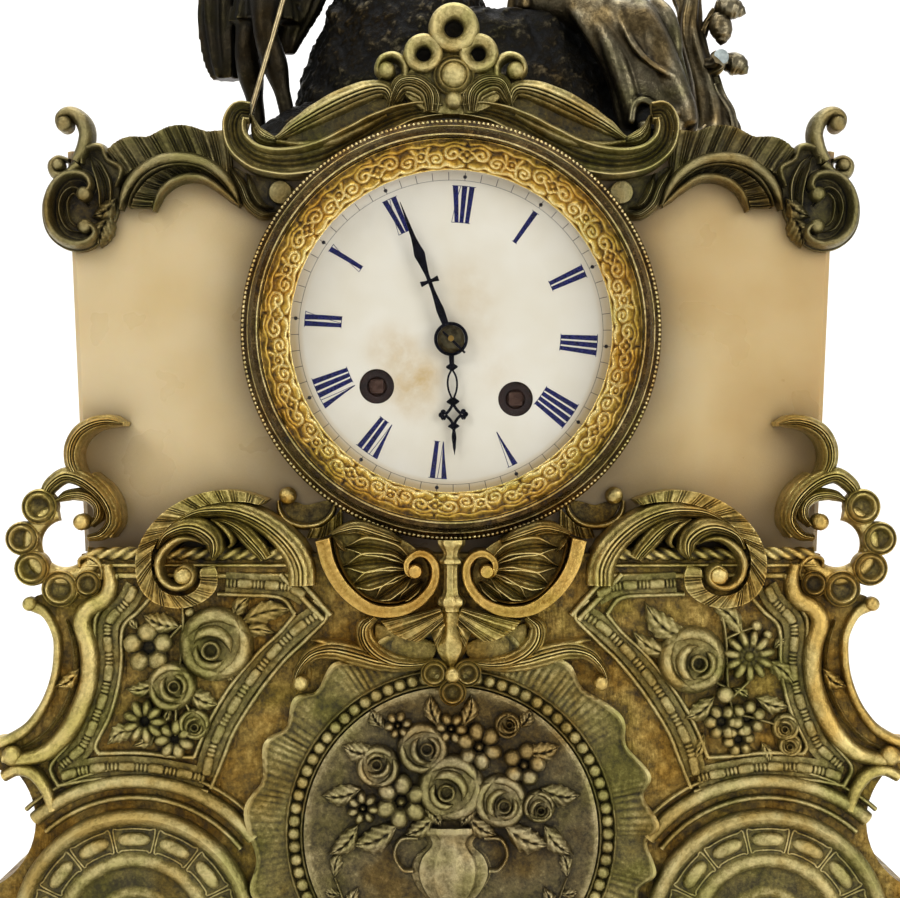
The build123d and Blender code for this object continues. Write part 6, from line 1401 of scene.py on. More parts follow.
@dataclass
class SideLoops:
    """Open loops of graduated dished discs beside the body's foot, with two curled leaves."""

    disc_rise: float = 6.2
    set_back: float = 3.0

    def shape(self) -> Shape:
        """Five discs on a bent bar, a broad leaf that ends in a ball, a hooked leaf and a small curl."""
        g = BASE_FACE + self.set_back
        parts = [cup(c, r, self.disc_rise, g) for c, r in (
            ((-124.5, 186.3), 5.5), ((-129.7, 176.7), 5.2), ((-126.8, 167.7), 5.4), ((-118.2, 161.5), 5.8),
            ((-109.8, 163.0), 4.2))]
        parts.append(band(arc((-117.4, 175.0), 10.2, 100, 330, 120), 6.2, 4.6, Section.ROUND, g))
        parts += [
            run([(-123.3, 189.0), (-121.5, 192.7), (-116.9, 195.8), (-111.4, 194.5), (-106.3, 190.6), (-103.2, 186.0),
                 (-102.8, 181.5), (-105.7, 177.9), (-109.8, 176.9)], (3.7, 4.8, 5.1, 5.1, 4.9, 4.5, 4.1, 3.7, 2.3),
                (5.0, 6.4, 7.4, 7.6, 7.2, 6.4), Section.REEDED, g),
            run([(-120.2, 187.9), (-115.6, 189.9), (-110.5, 189.7), (-107.2, 187.2), (-106.8, 183.7), (-109.0, 180.5)],
                (1.4, 3.5, 4.2, 4.2, 3.9, 1.8), (5.0, 5.6, 5.8, 5.2), Section.REEDED, g),
            ball((-111.8, 181.7), 2.6, g, 4.2),
            run([(-113.5, 195.9), (-115.1, 200.0), (-114.9, 204.6), (-112.5, 208.9), (-108.3, 211.5), (-103.6, 212.3),
                 (-99.2, 211.4)], (3.9, 4.5, 4.8, 4.8, 4.5, 4.0, 1.4), (5.6, 6.4, 6.6, 6.2, 5.0), Section.REEDED,
                BODY_FACE, lift=9.0),
            run([(-109.6, 195.5), (-104.5, 191.3), (-101.9, 186.3), (-101.6, 181.1), (-103.6, 177.1)],
                (3.2, 3.0, 2.8, 2.8, 1.8), (3.4, 3.8, 3.6), Section.ROUND, BODY_FACE, lift=8.0),
            run([(-112.5, 168.1), (-112.4, 170.3), (-109.6, 171.3), (-106.8, 169.7), (-105.4, 166.8), (-105.9, 164.4)],
                (1.4, 1.8, 2.0, 2.2, 2.3, 2.0), (5.0, 5.4, 5.0), Section.ROUND, g),
        ]
        return joined(parts)

    def build(self) -> None:
        """Places the left loop and its mirror image."""
        left = self.shape()
        place_pair("side_loop", left, left.mirrored(), GILT)


@dataclass
class FlowerPanels:
    """Framed panels on the base with a spray of flowers each: bead-and-reel frame between plain fillets."""

    bead: float = 1.65
    fillet: float = 1.7

    def frame(self) -> Shape:
        """Bead-and-reel on four sides of the left panel over a flat border, with an inner and an outer fillet."""
        g = BASE_FACE
        sides = [[(-95.5, 162.2), (-98.1, 157.5), (-103.0, 152.2), (-103.9, 147.0), (-103.3, 139.7), (-104.2, 132.4),
                  (-106.8, 124.1), (-110.9, 114.6), (-114.8, 110.6), (-117.9, 108.0)],
                 [(-118.0, 104.7), (-111.3, 106.6), (-102.6, 107.7), (-91.7, 107.4), (-81.5, 105.7), (-74.4, 104.1)],
                 [(-74.1, 105.0), (-72.8, 111.0), (-69.5, 119.4), (-62.6, 131.0), (-54.6, 141.3), (-46.6, 149.3),
                  (-40.4, 153.7)], [(-44.1, 159.5), (-49.2, 162.0), (-58.2, 162.8), (-68.1, 163.3)]]
        border = joined([run(side, 6.4, 1.5, Section.FLAT, g) for side in sides])
        border.height *= 0.4
        string = joined([bead_and_reel(spline(side, 60), self.bead, g - 1.2) for side in sides])
        string.height *= 0.7
        parts = [border, string]
        fillets = [[(-90.8, 159.0), (-94.6, 154.6), (-99.2, 149.7), (-99.7, 139.7), (-100.8, 131.7), (-103.3, 123.0),
                    (-107.4, 114.6), (-106.6, 111.7)],
                   [(-106.6, 111.7), (-94.6, 111.9), (-84.4, 110.9), (-77.7, 110.5)],
                   [(-77.7, 110.5), (-73.5, 120.7), (-67.0, 131.6), (-59.0, 141.4), (-51.7, 148.3), (-47.2, 153.8)],
                   [(-47.2, 153.8), (-51.7, 158.8), (-62.6, 159.6), (-70.6, 159.9)],
                   [(-101.1, 165.9), (-102.4, 160.2), (-106.4, 154.8), (-107.8, 150.6), (-107.4, 139.7),
                    (-108.4, 131.7), (-111.3, 123.0), (-115.8, 114.6), (-121.1, 107.7), (-118.9, 101.9)],
                   [(-118.9, 101.9), (-111.3, 103.4), (-102.6, 104.2), (-91.7, 103.9), (-81.5, 102.3), (-73.5, 100.1)],
                   [(-72.6, 101.2), (-68.8, 110.6), (-65.5, 118.6), (-58.6, 129.5), (-51.0, 139.1), (-43.3, 146.6),
                    (-37.5, 153.4), (-41.5, 158.2)]]
        parts += [run(line, self.fillet, 2.3, Section.ROUND, g) for line in fillets]
        chevron = [[(-47.3, 165.9), (-41.5, 159.3), (-36.4, 153.5)], [(-51.7, 165.9), (-44.8, 158.6), (-38.6, 152.1)]]
        parts += [run(line, 2.2, 2.6, Section.ROUND, g) for line in chevron]
        return joined(parts)

    def stems(self, lines: Sequence[Points]) -> Shape:
        """Thin round stalks."""
        return joined([run(line, (1.4, 1.2, 0.9), (2.6, 3.0, 2.6), Section.ROUND, BASE_FACE) for line in lines])

    def left_spray(self) -> Shape:
        """Full rose, open flowers and buds with toothed leaves."""
        g = BASE_FACE
        parts = [
            rose((-71.0, 144.8), 11.4, 8.4, g, 20), blossom((-91.5, 143.7), 7.8, 5.4, 5, g, 20, -0.26),
            rose((-84.3, 132.1), 7.6, 7.4, g, 160), blossom((-92.6, 121.5), 6.8, 5.4, 9, g, 0, -0.2),
            rose((-77.5, 120.7), 5.0, 5.6, g, 80), blossom((-83.5, 116.1), 6.2, 4.6, 7, g, 30, -0.16),
            ball((-79.0, 154.6), 1.5, g, 2.0),
            leaflet((-81.9, 150.2), (-93.0, 153.7), 7.4, 4.0, g, 0.1),
            leaflet((-63.7, 151.3), (-48.1, 155.3), 7.0, 3.6, g, 0.08),
            leaflet((-65.9, 152.4), (-60.8, 159.2), 5.0, 3.6, g, 0.1, 3),
            leaflet((-63.7, 148.4), (-53.2, 148.1), 5.0, 3.2, g, 0.1, 3),
            leaflet((-79.7, 131.0), (-70.2, 126.6), 6.6, 4.0, g, -0.1, 4),
            leaflet((-88.1, 133.5), (-98.6, 131.3), 5.0, 3.4, g, 0.12, 4),
            leaflet((-93.9, 119.0), (-104.0, 114.3), 6.0, 3.0, g, -0.15, 5),
            leaflet((-88.8, 118.6), (-96.4, 113.9), 4.4, 2.8, g, 0.1, 3),
            leaflet((-85.1, 126.6), (-87.7, 120.4), 3.4, 3.0, g, 0.1, 3),
            leaflet((-69.5, 136.8), (-65.5, 133.5), 3.6, 2.6, g, 0.1, 3),
            leaflet((-75.0, 124.4), (-77.1, 128.8), 2.6, 2.6, g, 0.1, 3),
            leaflet((-94.6, 149.2), (-97.5, 153.2), 3.0, 2.2, g, 0.1, 3),
            self.stems([[(-81.1, 156.4), (-80.9, 148.4), (-81.7, 139.7), (-83.5, 133.9)],
                        [(-81.4, 150.6), (-85.1, 146.6), (-87.7, 144.4)],
                        [(-85.1, 128.8), (-88.8, 125.9), (-91.0, 123.0)],
                        [(-81.1, 128.8), (-79.3, 125.2), (-77.7, 121.9)],
                        [(-83.0, 128.8), (-83.1, 123.0), (-83.3, 117.2)]]),
        ]
        return joined(parts)

    def right_spray(self) -> Shape:
        """Cup flower, daisy, three ring flowers, berries and buds with leaves."""
        g = BASE_FACE
        parts = [
            rose((72.9, 140.1), 10.4, 8.4, g, 120), blossom((90.0, 141.3), 8.0, 5.4, 11, g, 10, 0.34),
            blossom((81.9, 121.2), 5.6, 4.8, 6, g, 0, -0.3), blossom((89.7, 122.4), 5.6, 5.2, 6, g, 20, -0.3),
            blossom((87.0, 115.8), 5.0, 4.4, 6, g, 10, -0.3), ball((92.4, 150.3), 1.7, g, 1.6),
            ball((95.7, 147.6), 1.5, g, 1.4),
            rose((101.1, 119.7), 4.4, 4.8, g), rose((102.6, 114.3), 3.8, 4.2, g), ball((82.8, 129.6), 2.6, g, 2.4),
            leaflet((72.3, 145.8), (58.5, 157.5), 8.0, 4.0, g, 0.12),
            leaflet((67.5, 141.6), (54.9, 148.8), 6.0, 3.4, g, 0.12, 4),
            leaflet((88.2, 147.3), (78.3, 157.2), 6.4, 3.8, g, -0.12, 4),
            leaflet((95.1, 139.8), (104.1, 132.0), 6.0, 3.4, g, 0.1, 4),
            leaflet((79.5, 129.0), (70.5, 122.4), 6.4, 3.6, g, 0.12, 4),
            leaflet((92.1, 128.7), (102.3, 126.0), 5.8, 3.4, g, -0.1, 4),
            leaflet((76.5, 117.9), (72.9, 109.8), 3.8, 2.6, g, 0.1, 4),
            leaflet((93.9, 115.2), (96.3, 108.6), 3.6, 2.6, g, 0.1, 4),
            leaflet((85.2, 131.4), (90.3, 128.4), 3.6, 3.2, g, 0.1, 3),
            leaflet((97.5, 143.4), (101.7, 146.4), 3.0, 2.4, g, 0.1, 3),
            self.stems([[(81.3, 157.5), (83.1, 146.4), (83.7, 131.4), (86.1, 120.9)],
                        [(83.1, 146.4), (88.2, 148.8), (92.1, 150.0)], [(83.7, 131.4), (78.3, 134.4), (74.7, 138.0)],
                        [(86.1, 123.9), (94.2, 121.8), (100.5, 119.7)],
                        [(84.6, 128.4), (90.3, 134.4), (90.3, 139.8)]]),
        ]
        return joined(parts)

    def build(self) -> None:
        """Places both panels; the frames mirror each other and the sprays differ."""
        frame = self.frame()
        place_pair("flower_panel", frame + self.left_spray(), frame.mirrored() + self.right_spray(), FIELD)


@dataclass
class Cartouche:
    """Scrolled shell under the dial with a baluster, a hanging bud and side scrolls."""

    band_rise: float = 8.2

    def bands(self) -> Shape:
        """Flat rubbed C-bands that end in volutes, on both sides."""
        g = BASE_FACE
        line = [(-38.6, 176.5), (-36.5, 168.7), (-31.8, 161.4), (-24.5, 156.0), (-16.5, 155.1), (-9.7, 157.8),
                (-5.5, 162.9), (-4.7, 168.1), (-6.8, 171.6), (-10.2, 172.3), (-13.1, 169.9), (-12.9, 166.6),
                (-10.5, 165.4)]
        left = run(line, (4.6, 4.4, 4.3, 4.2, 3.9, 3.6, 3.4, 3.1, 2.9, 2.6, 2.3, 2.0, 1.2),
                   (6.6, 7.6, self.band_rise, 8.0, 7.4, 8.2), Section.FLAT, g, stepped=True)
        lip = run([(-34.9, 175.5), (-33.1, 168.7), (-29.2, 162.5), (-23.7, 158.5), (-16.8, 157.6), (-11.6, 159.3)],
                  (0.7, 0.9, 1.0, 1.0, 0.9, 0.5), (6.0, 6.4, 6.6, 6.4, 5.6), Section.ROUND, g, stepped=True)
        return joined([left, lip, boss((-10.7, 167.1), [(2.3, 0), (2.3, 7.4), (1.8, 8.8), (0, 9.4)], g)]).both()

    def body(self) -> Shape:
        """Dished shell lobes, baluster, pleated skirt, bud, discs and the lower scrolls over dark plates that paint
        the shade of the hollows.
        """
        g = BASE_FACE
        over = {"stepped": True}
        # Darkened plate under the lobes: painted shade of the shell's hollow
        half = [plate([(-35.7, 175.5), (-29.8, 179.8), (-22.0, 178.8), (-12.3, 174.9), (-6.4, 167.1), (-9.7, 159.3),
                       (-17.5, 157.0), (-25.3, 158.0), (-31.8, 163.8)], 1.0, g, 0.4)]
        half += [run(line, width, (3.6, 5.6, 6.0, 4.6), Section.LOBE, g, **over) for line, width in (
            ([(-11.6, 168.9), (-17.5, 172.9), (-24.6, 174.5), (-32.3, 174.1)], (2.3, 6.0, 6.8, 1.0)),
            ([(-12.3, 167.9), (-18.8, 169.7), (-25.3, 169.6), (-32.4, 168.3)], (2.3, 6.2, 7.3, 1.0)),
            ([(-12.4, 166.8), (-18.5, 165.8), (-24.3, 164.3), (-30.4, 162.4)], (2.3, 6.2, 7.0, 1.0)),
            ([(-12.0, 165.8), (-15.8, 163.0), (-19.4, 160.6), (-22.9, 158.2)], (2.2, 5.5, 6.0, 1.0)),
            ([(-8.7, 163.8), (-11.5, 161.2), (-13.9, 159.3), (-15.8, 157.8)], (1.6, 3.4, 3.6, 1.0)))]
        half += [
            run([(-35.9, 178.1), (-32.4, 179.3), (-27.9, 180.0), (-22.0, 178.3), (-14.9, 175.8)],
                (1.6, 4.0, 4.8, 4.3, 1.3), (4.2, 5.4, 5.6, 4.6), Section.REEDED, g, **over),
            run([(-35.4, 177.4), (-33.7, 174.9), (-31.8, 172.9)], (1.0, 2.6, 1.0), (4.6, 6, 5), Section.REEDED, g,
                **over),
            # Darkened plate under the skirt: painted shade of the hollow
            plate([(-22.7, 150.8), (-18.8, 149.5), (-14.2, 147.6), (-8.4, 146.6), (-4.5, 144.3), (-5.8, 140.4),
                   (-12.3, 139.0), (-18.1, 140.0), (-22.4, 144.0)], 1.6, g, 0.15),
            pleated([(-3.3, 156.2), (-3.0, 155.4), (-2.6, 154.5), (-2.4, 153.4), (-2.1, 152.1), (-1.7, 150.4)],
                    [(-21.2, 152.0), (-18.4, 149.0), (-14.1, 146.7), (-9.3, 145.9), (-6.5, 148.5), (-4.3, 144.3)], 15,
                    8.0, (4.0, 4.6, 5.2, 5.4, 5.4, 6.6), g, 0.7, 1.6),
            run([(-22.9, 153.3), (-26.1, 150.2), (-25.7, 145.9), (-22.3, 142.0), (-16.5, 139.4), (-9.7, 139.1),
                 (-5.4, 140.3)], (2.6, 5.6, 5.9, 5.6, 4.9, 3.5, 1.6), (5.6, 6.8, 7.2, 6.6, 5.0), Section.REEDED, g),
            run([(-5.4, 139.1), (-14.2, 138.7), (-22.0, 139.9), (-29.4, 142.0), (-35.9, 143.3), (-41.5, 142.1),
                 (-45.3, 138.3), (-46.7, 134.4), (-44.8, 132.9)], (2.0, 3.9, 5.5, 6.5, 7.0, 6.4, 4.7, 3.1, 1.4),
                (5.0, 6.2, 7.0, 7.2, 6.8, 6.0), Section.REEDED, g),
            run([(-35.0, 144.2), (-38.9, 145.7), (-42.2, 146.1)], (3.3, 2.3, 0.5), (5.6, 5.0, 3.0), Section.ROUND, g),
            ball((-45.2, 133.4), 2.4, g, 4.8), cup((-5.0, 136.4), 4.2, 6.6, g),
        ]
        left = joined(half)
        middle = [
            baluster(0.0,
                     [(176.4, 4.29), (175.1, 4.16), (173.2, 2.73), (171.5, 2.47), (170.3, 3.64), (169.4, 3.64),
                      (168.6, 2.47), (163.8, 2.41), (160.4, 2.73), (159.1, 3.90), (158.0, 4.42), (156.9, 4.16),
                      (156.0, 3.25), (155.0, 2.99)], g - 4.5, 9, 0.9),
            baluster(0.0,
                     [(156.0, 3.25), (154.1, 3.90), (150.2, 4.68), (146.3, 5.07), (143.0, 4.55), (140.1, 2.86),
                      (137.0, 0.33)], g - 2.5, 7, 0.95),
            cup((0.5, 130.7), 4.2, 7.6, g), ball((0.5, 135.9), 2.4, g, 6.0),
        ]
        carved = left.both() + joined(middle)
        carved.height = 0.54 + 0.5 * carved.height
        return carved

    def build(self) -> None:
        """Places the shell and, over it, the rubbed bands."""
        place("shell_cartouche_carved", self.body(), "case", "gilt_bronze", GILT.make(), "shell_cartouche")
        place("shell_cartouche_bands", self.bands(), "case", "gilt_bronze", RUBBED.make())


@dataclass
class Medallion:
    """Round plaque in the middle of the base: urn of flowers, bead ring and pleated collar."""

    centre: Pair = (0.0, 87.6)
    plaque: float = 44.4
    bead_ring: float = 47.4
    collar_inner: float = 49.4
    collar: float = 61.0
    waves: int = 21
    beads: int = 76

    def relief(self) -> Shape:
        """Dished plate with an urn, a bunch of flowers and two leafy sprays in low relief."""
        g, (cx, cz) = BASE_FACE, self.centre
        r = self.plaque
        plate_ring = boss(self.centre,
                          [(r, 0), (r, 3.4), (r - 1.2, 3.9), (r - 2.6, 3.2), (r * 0.8, 2.2), (r * 0.45, 1.7),
                           (0, 1.6)], g, 96)
        plate_ring.height *= 0.45
        urn = [(cz + 2, 10.4), (cz + 0.6, 10.8), (cz - 1.4, 8.0), (cz - 3.6, 7.6), (cz - 7, 11.4), (cz - 12, 12.6),
               (cz - 18, 9.4), (cz - 22, 4.4), (cz - 24, 3.4), (cz - 25.4, 4.6), (cz - 27.4, 3.6), (cz - 30, 7.0),
               (cz - 31.4, 9.0), (cz - 33.6, 9.2)]
        parts = [plate_ring, baluster(cx, urn, g - 1.4, 13, 0.42)]
        flowers = [(0, 14, 10.4, "rose"), (-15, 10, 8.4, "open"), (15, 10, 8.4, "rose"), (-8.5, 26, 8.0, "rose"),
                   (8.5, 26.5, 7.4, "open"), (-22, 20.5, 6.8, "rose"), (22, 21, 6.8, "open"), (0, 32, 5.0, "open"),
                   (-26.5, 8, 5.2, "open"), (26.5, 8.5, 5.2, "rose"), (-16, 33, 4.4, "open"), (17, 33, 4.2, "rose")]
        for i, (x, z, size, kind) in enumerate(flowers):
            at = (cx + x, cz + z)
            parts.append(rose(at, size, 7.2, g - 1.2, 50 * i) if kind == "rose" else
                         blossom(at, size, 5.6, 5 + i % 3, g - 1.2, 25 * i, 0.24))
        leaves = [(-16, 3, -30, -3, 8.4), (-27, 14, -39, 12, 7.0), (-22, 25, -33, 27, 6.6), (-3, 32, -6, 42.5, 5.6),
                  (-20, 32, -24, 38, 5.0), (-5, 6, -14, 0, 6.4), (-28, 3, -37, -6, 6.4), (-8, 8, -3, 2.5, 5.4)]
        spray = [leaflet((cx + a, cz + b), (cx + c, cz + d), w, 4.4, g - 1.4, 0.12, 5) for a, b, c, d, w in leaves]
        vine = run([(cx - 9, cz - 31), (cx - 20, cz - 31), (cx - 30, cz - 24), (cx - 35, cz - 13)], (1.6, 1.3, 0.8),
                   3.0, Section.ROUND, g - 1.2)
        low = [(-14, -31, -17, -37, 3.8), (-20, -31, -24, -24, 4.4), (-25, -28.5, -31, -31, 4.0),
               (-30, -24, -28, -16, 4.4), (-33, -18, -38.5, -17, 3.8), (-35, -13, -33, -5, 4.2)]
        spray += [leaflet((cx + a, cz + b), (cx + c, cz + d), w, 2.8, g - 1.4, 0.1, 4) for a, b, c, d, w in low]
        handle = run([(cx - 10, cz - 1), (cx - 15, cz - 1.5), (cx - 17, cz - 6), (cx - 14.6, cz - 10.5),
                      (cx - 11.4, cz - 11)], (1.8, 1.6, 1.5, 1.5, 1.7), 3.6, Section.ROUND, g - 1.2)
        parts.append(joined(spray + [vine, handle]).both())
        return joined(parts)

    def surround(self) -> Shape:
        """Pleated collar: height 1.8 + 1.5 t^1.5, waves growing to the rim, fine pleats and a raised, waved edge.

        It is sunk where the shell lies over it and painted dark there as the shell's shadow; a ring of beads stands in
        a channel inside it.
        """
        g, (cx, cz) = BASE_FACE, self.centre
        rows = self.waves * 48
        a = turns(rows)[:, None]
        t = np.linspace(0, 1, 14)[None]
        phase = self.waves * a + 1.1 * np.sin(3 * a) + 0.6 * np.sin(5 * a)
        wave = np.sin(phase + 0.25 * np.sin(phase))
        r = self.collar_inner + (self.collar + 1.7 * wave - self.collar_inner) * t
        pleat = np.abs(np.cos(self.waves * 4 * a + 0.8 * wave)) * (0.5 + 0.5 * np.sin(7 * a + 2 * np.sin(3 * a)))
        h = 1.8 + 1.5 * t ** 1.5 + 1.3 * wave * t + 0.6 * pleat * np.sin(np.pi * t) ** 0.5
        h = h + 1.1 * np.exp(-((t - 0.94) / 0.06) ** 2)
        sunk_and_shaded = np.exp(-((a - np.pi / 2) / 0.36) ** 6) * np.clip((t - 0.15) / 0.15, 0, 1)
        h = h * (1 - 0.85 * sunk_and_shaded)
        front = np.stack([cx + r * np.cos(a), g - h, cz + r * np.sin(a)], -1)
        back = front[:, [-1, 0]] * (1, 0, 1) + (0, g, 0)
        # Under the shell the tone falls to nothing: painted shadow of the shell
        tone = np.clip(0.2 + 0.3 * pleat + 0.2 * t + 0.22 * wave * t + 0.3 * (t > 0.86), 0, 1) * (1 - sunk_and_shaded)
        collar = backed(front, back, tone, True)
        ring = circle(self.centre, self.bead_ring, 360)
        seat = band(ring, 5.6, 3.4, Section.CHANNEL, g, True)
        pitch = 2 * np.pi * self.bead_ring / self.beads
        beads = strung(ring, pitch, pitch * 0.5, 2.2, g - 1.9, True)
        beads.height *= 0.5
        return joined([collar, seat, beads])

    def build(self) -> None:
        """Places the plaque and its surround."""
        place("medallion_relief", self.relief(), "case", "medal_bronze", MEDAL.make(), "medallion_plaque")
        place("medallion_collar", self.surround(), "case", "gilt_bronze", FIELD.make(), "medallion_surround")


@dataclass
class Roundels:
    """Dished roundels at the foot of the base with a ring of kidney beads each."""

    centre: Pair = (-95.5, 58.0)
    radius: float = 37.0
    beans: int = 14

    def shape(self) -> Shape:
        """Turned mouldings, the beads as short arcs with rounded ends, and plain arcs over the roundel."""
        g, r = BASE_FACE, self.radius
        turned = [(r, 0), (r, 3.6), (r - 0.8, 5.4), (r - 2.2, 6.2), (r - 3.6, 5.4), (r - 4.4, 4.0), (r - 5.0, 3.4),
                  (r - 12.6, 3.3), (r - 13.2, 3.6), (r - 14.2, 4.8), (r - 15.6, 4.9), (r - 16.8, 4.0), (r - 17.6, 2.6),
                  (r - 19, 2.2), (r - 23, 1.5), (r - 24, 2.2), (r - 25.4, 2.6), (r - 26.6, 2.0), (7.0, 1.2),
                  (5.4, 2.4), (4.6, 4.0), (2.6, 5.2), (0, 5.6)]
        parts = [boss(self.centre, turned, g, 120)]
        step = 360 / self.beans
        for i in range(self.beans):
            line = arc(self.centre, r - 8.8, step * i + 2.4, step * (i + 1) - 2.4, 24)
            u = np.linspace(-1, 1, 24)
            full = np.sqrt(np.clip(1 - np.abs(u) ** 3, 0.02, 1))
            parts.append(band(line, 4.6 * full, 2.4 * full, Section.ROUND, g - 2.6))
            ends = (step * i + 1.2, step * (i + 1) - 1.2)
            loop = np.vstack([arc(self.centre, r - 5.6, *ends, 9), arc(self.centre, r - 12.0, *ends[::-1], 9)])
            parts.append(band(spline(loop, 72, True), 0.8, 0.8, Section.ROUND, g - 3.0, True))
        for over, wide, high in ((40.4, 2.0, 2.4), (45.4, 4.6, 4.0), (49.4, 1.5, 2.2)):
            parts.append(band(arc(self.centre, over, 38, 132, 90), wide, high, Section.ROUND, g))
        return joined(parts)

    def build(self) -> None:
        """Places the left roundel and its mirror image."""
        left = self.shape()
        place_pair("roundel", left, left.mirrored(), FIELD)


@dataclass
class BaseMouldings:
    """Mouldings cast on the base: rope under the body, coved outer edge and side scrolls."""

    rope_radius: float = 1.9
    scroll_back: float = 9.0

    def front(self) -> Shape:
        """Rope, fillets and the two lines of the coved edge, drawn on the left and mirrored."""
        g = BASE_FACE
        parts = [
            rope((-110.0, 172.0), (-46.0, 172.0), self.rope_radius, 4.2, g + 0.2),
            run([(-110.5, 168.6), (-80.0, 168.6), (-42.0, 168.6)], 1.4, 1.8, Section.ROUND, g),
            run([(-107.0, 165.4), (-80.0, 165.4), (-46.0, 165.4)], 2.0, 1.4, Section.ROUND, g),
            run([(-103.9, 168.8), (-103.0, 163.0), (-104.8, 158.5), (-109.7, 155.4), (-111.6, 151.3), (-109.9, 145.5),
                 (-109.1, 139.0), (-110.3, 130.3), (-114.8, 120.1), (-121.5, 112.7), (-129.5, 110.0), (-135.3, 110.6)],
                (3.3, 5.1, 5.7, 6.1, 6.1, 6.1, 6.3, 6.3, 6.1, 5.7, 4.8, 3.6), (4.2, 4.8, 4.8, 4.4), Section.ROUND, g),
            run([(-126.6, 156.4), (-122.8, 154.2), (-119.9, 149.3), (-118.9, 144.1), (-119.7, 135.3), (-122.9, 126.6),
                 (-128.0, 119.5), (-133.8, 115.7), (-137.5, 114.6)], (3.6, 2.9, 2.9, 2.9, 2.9, 2.9, 3.2, 3.6, 3.6),
                (3.4, 3.6, 3.4), Section.ROUND, g),
            run([(-116.3, 152.1), (-114.2, 145.5), (-113.6, 139.0), (-114.5, 131.7), (-118.6, 123.0), (-124.4, 116.4),
                 (-130.9, 112.8)], (0.9, 1.6, 1.7, 1.7, 1.7, 1.6, 0.9), (1.8, 2.2, 1.8), Section.STRIATED, g),
            ball((-127.2, 157.0), 2.2, g, 2.6), ball((-132.5, 111.2), 3.2, g, 2.2),
            leaflet((-112.2, 137.5), (-119.7, 132.1), 5.2, 4.6, g, 0.15, 4),
            run([(-135.3, 104.8), (-130.9, 107.0), (-125.9, 105.5), (-122.2, 100.5), (-120.4, 94.6)],
                (3.6, 4.4, 4.4, 4.1, 3.6), (4, 4.6, 4.2), Section.ROUND, g),
            run([(-141.0, 22.0), (-142.0, 40.0), (-141.0, 56.0), (-136.0, 66.0)], (3.0, 3.4, 3.4, 2.6), 3.4,
                Section.ROUND, g),
            run([(-144.0, 17.5), (-70.0, 17.5), (0.0, 17.5)], 5.0, 3.0, Section.ROUND, g),
            run([(-142.0, 23.0), (-70.0, 23.0), (0.0, 23.0)], 1.6, 1.8, Section.ROUND, g),
        ]
        return joined(parts).both()

    def scrolls(self) -> Shape:
        """Side scrolls that bridge the lower scoop, each a rounded band that curls in a ball at both ends."""
        g = BASE_FACE + self.scroll_back
        line = [(-131.5, 112.5), (-137.5, 113.5), (-144.0, 108.0), (-148.5, 97.5), (-148.5, 84.0), (-145.5, 70.0),
                (-140.5, 58.5), (-135.0, 58.0)]
        scroll = run(line, (4.2, 5.6, 6.0, 5.6, 5.4, 5.0, 4.6, 3.4), (8.4, 9.2, 9.4, 9.0, 8.4), Section.REEDED, g)
        return joined([scroll, ball((-132.5, 110.0), 3.2, g, 7.4), ball((-136.0, 60.5), 2.6, g, 7.0)]).both()

    def build(self) -> None:
        """Places the mouldings of the front."""
        place("base_mouldings", self.front() + self.scrolls(), "case", "gilt_bronze", GILT.make())


@dataclass
class Plinth:
    """Gilt wooden plinth: a torus, a cove and a fillet carried round a rectangle with eased corners."""

    half_x: float = 152.0
    half_y: float = 61.0
    corner: float = 4.0

    def build(self) -> None:
        """Places the plinth: loops whose inset follows the moulding's profile."""
        profile = np.array([(0, 0.0), (0, 0.6), (0.0, 3.2), (0.2, 4.6), (0.9, 5.9), (2.0, 6.5), (3.2, 6.7), (3.4, 7.6),
                            (3.7, 9.0), (4.6, 10.4), (5.4, 11.0), (5.4, 11.6), (4.4, 11.8), (4.0, 12.6), (4.3, 13.5),
                            (5.2, 14.0), (9.0, 14.0)])
        a = turns(192)[None]
        inset, z = profile[:, :1], profile[:, 1:]
        x, y = (np.sign(way) * (half - inset - self.corner) + self.corner * way
                for half, way in ((self.half_x, np.cos(a)), (self.half_y, np.sin(a))))
        rings = np.stack([x, y, np.broadcast_to(z, x.shape)], -1)
        place("plinth_moulded", loft(rings, np.clip(1 - inset / 6, 0.1, 0.9)), "case", "giltwood", LEAF.make(),
              "plinth", crease=40)


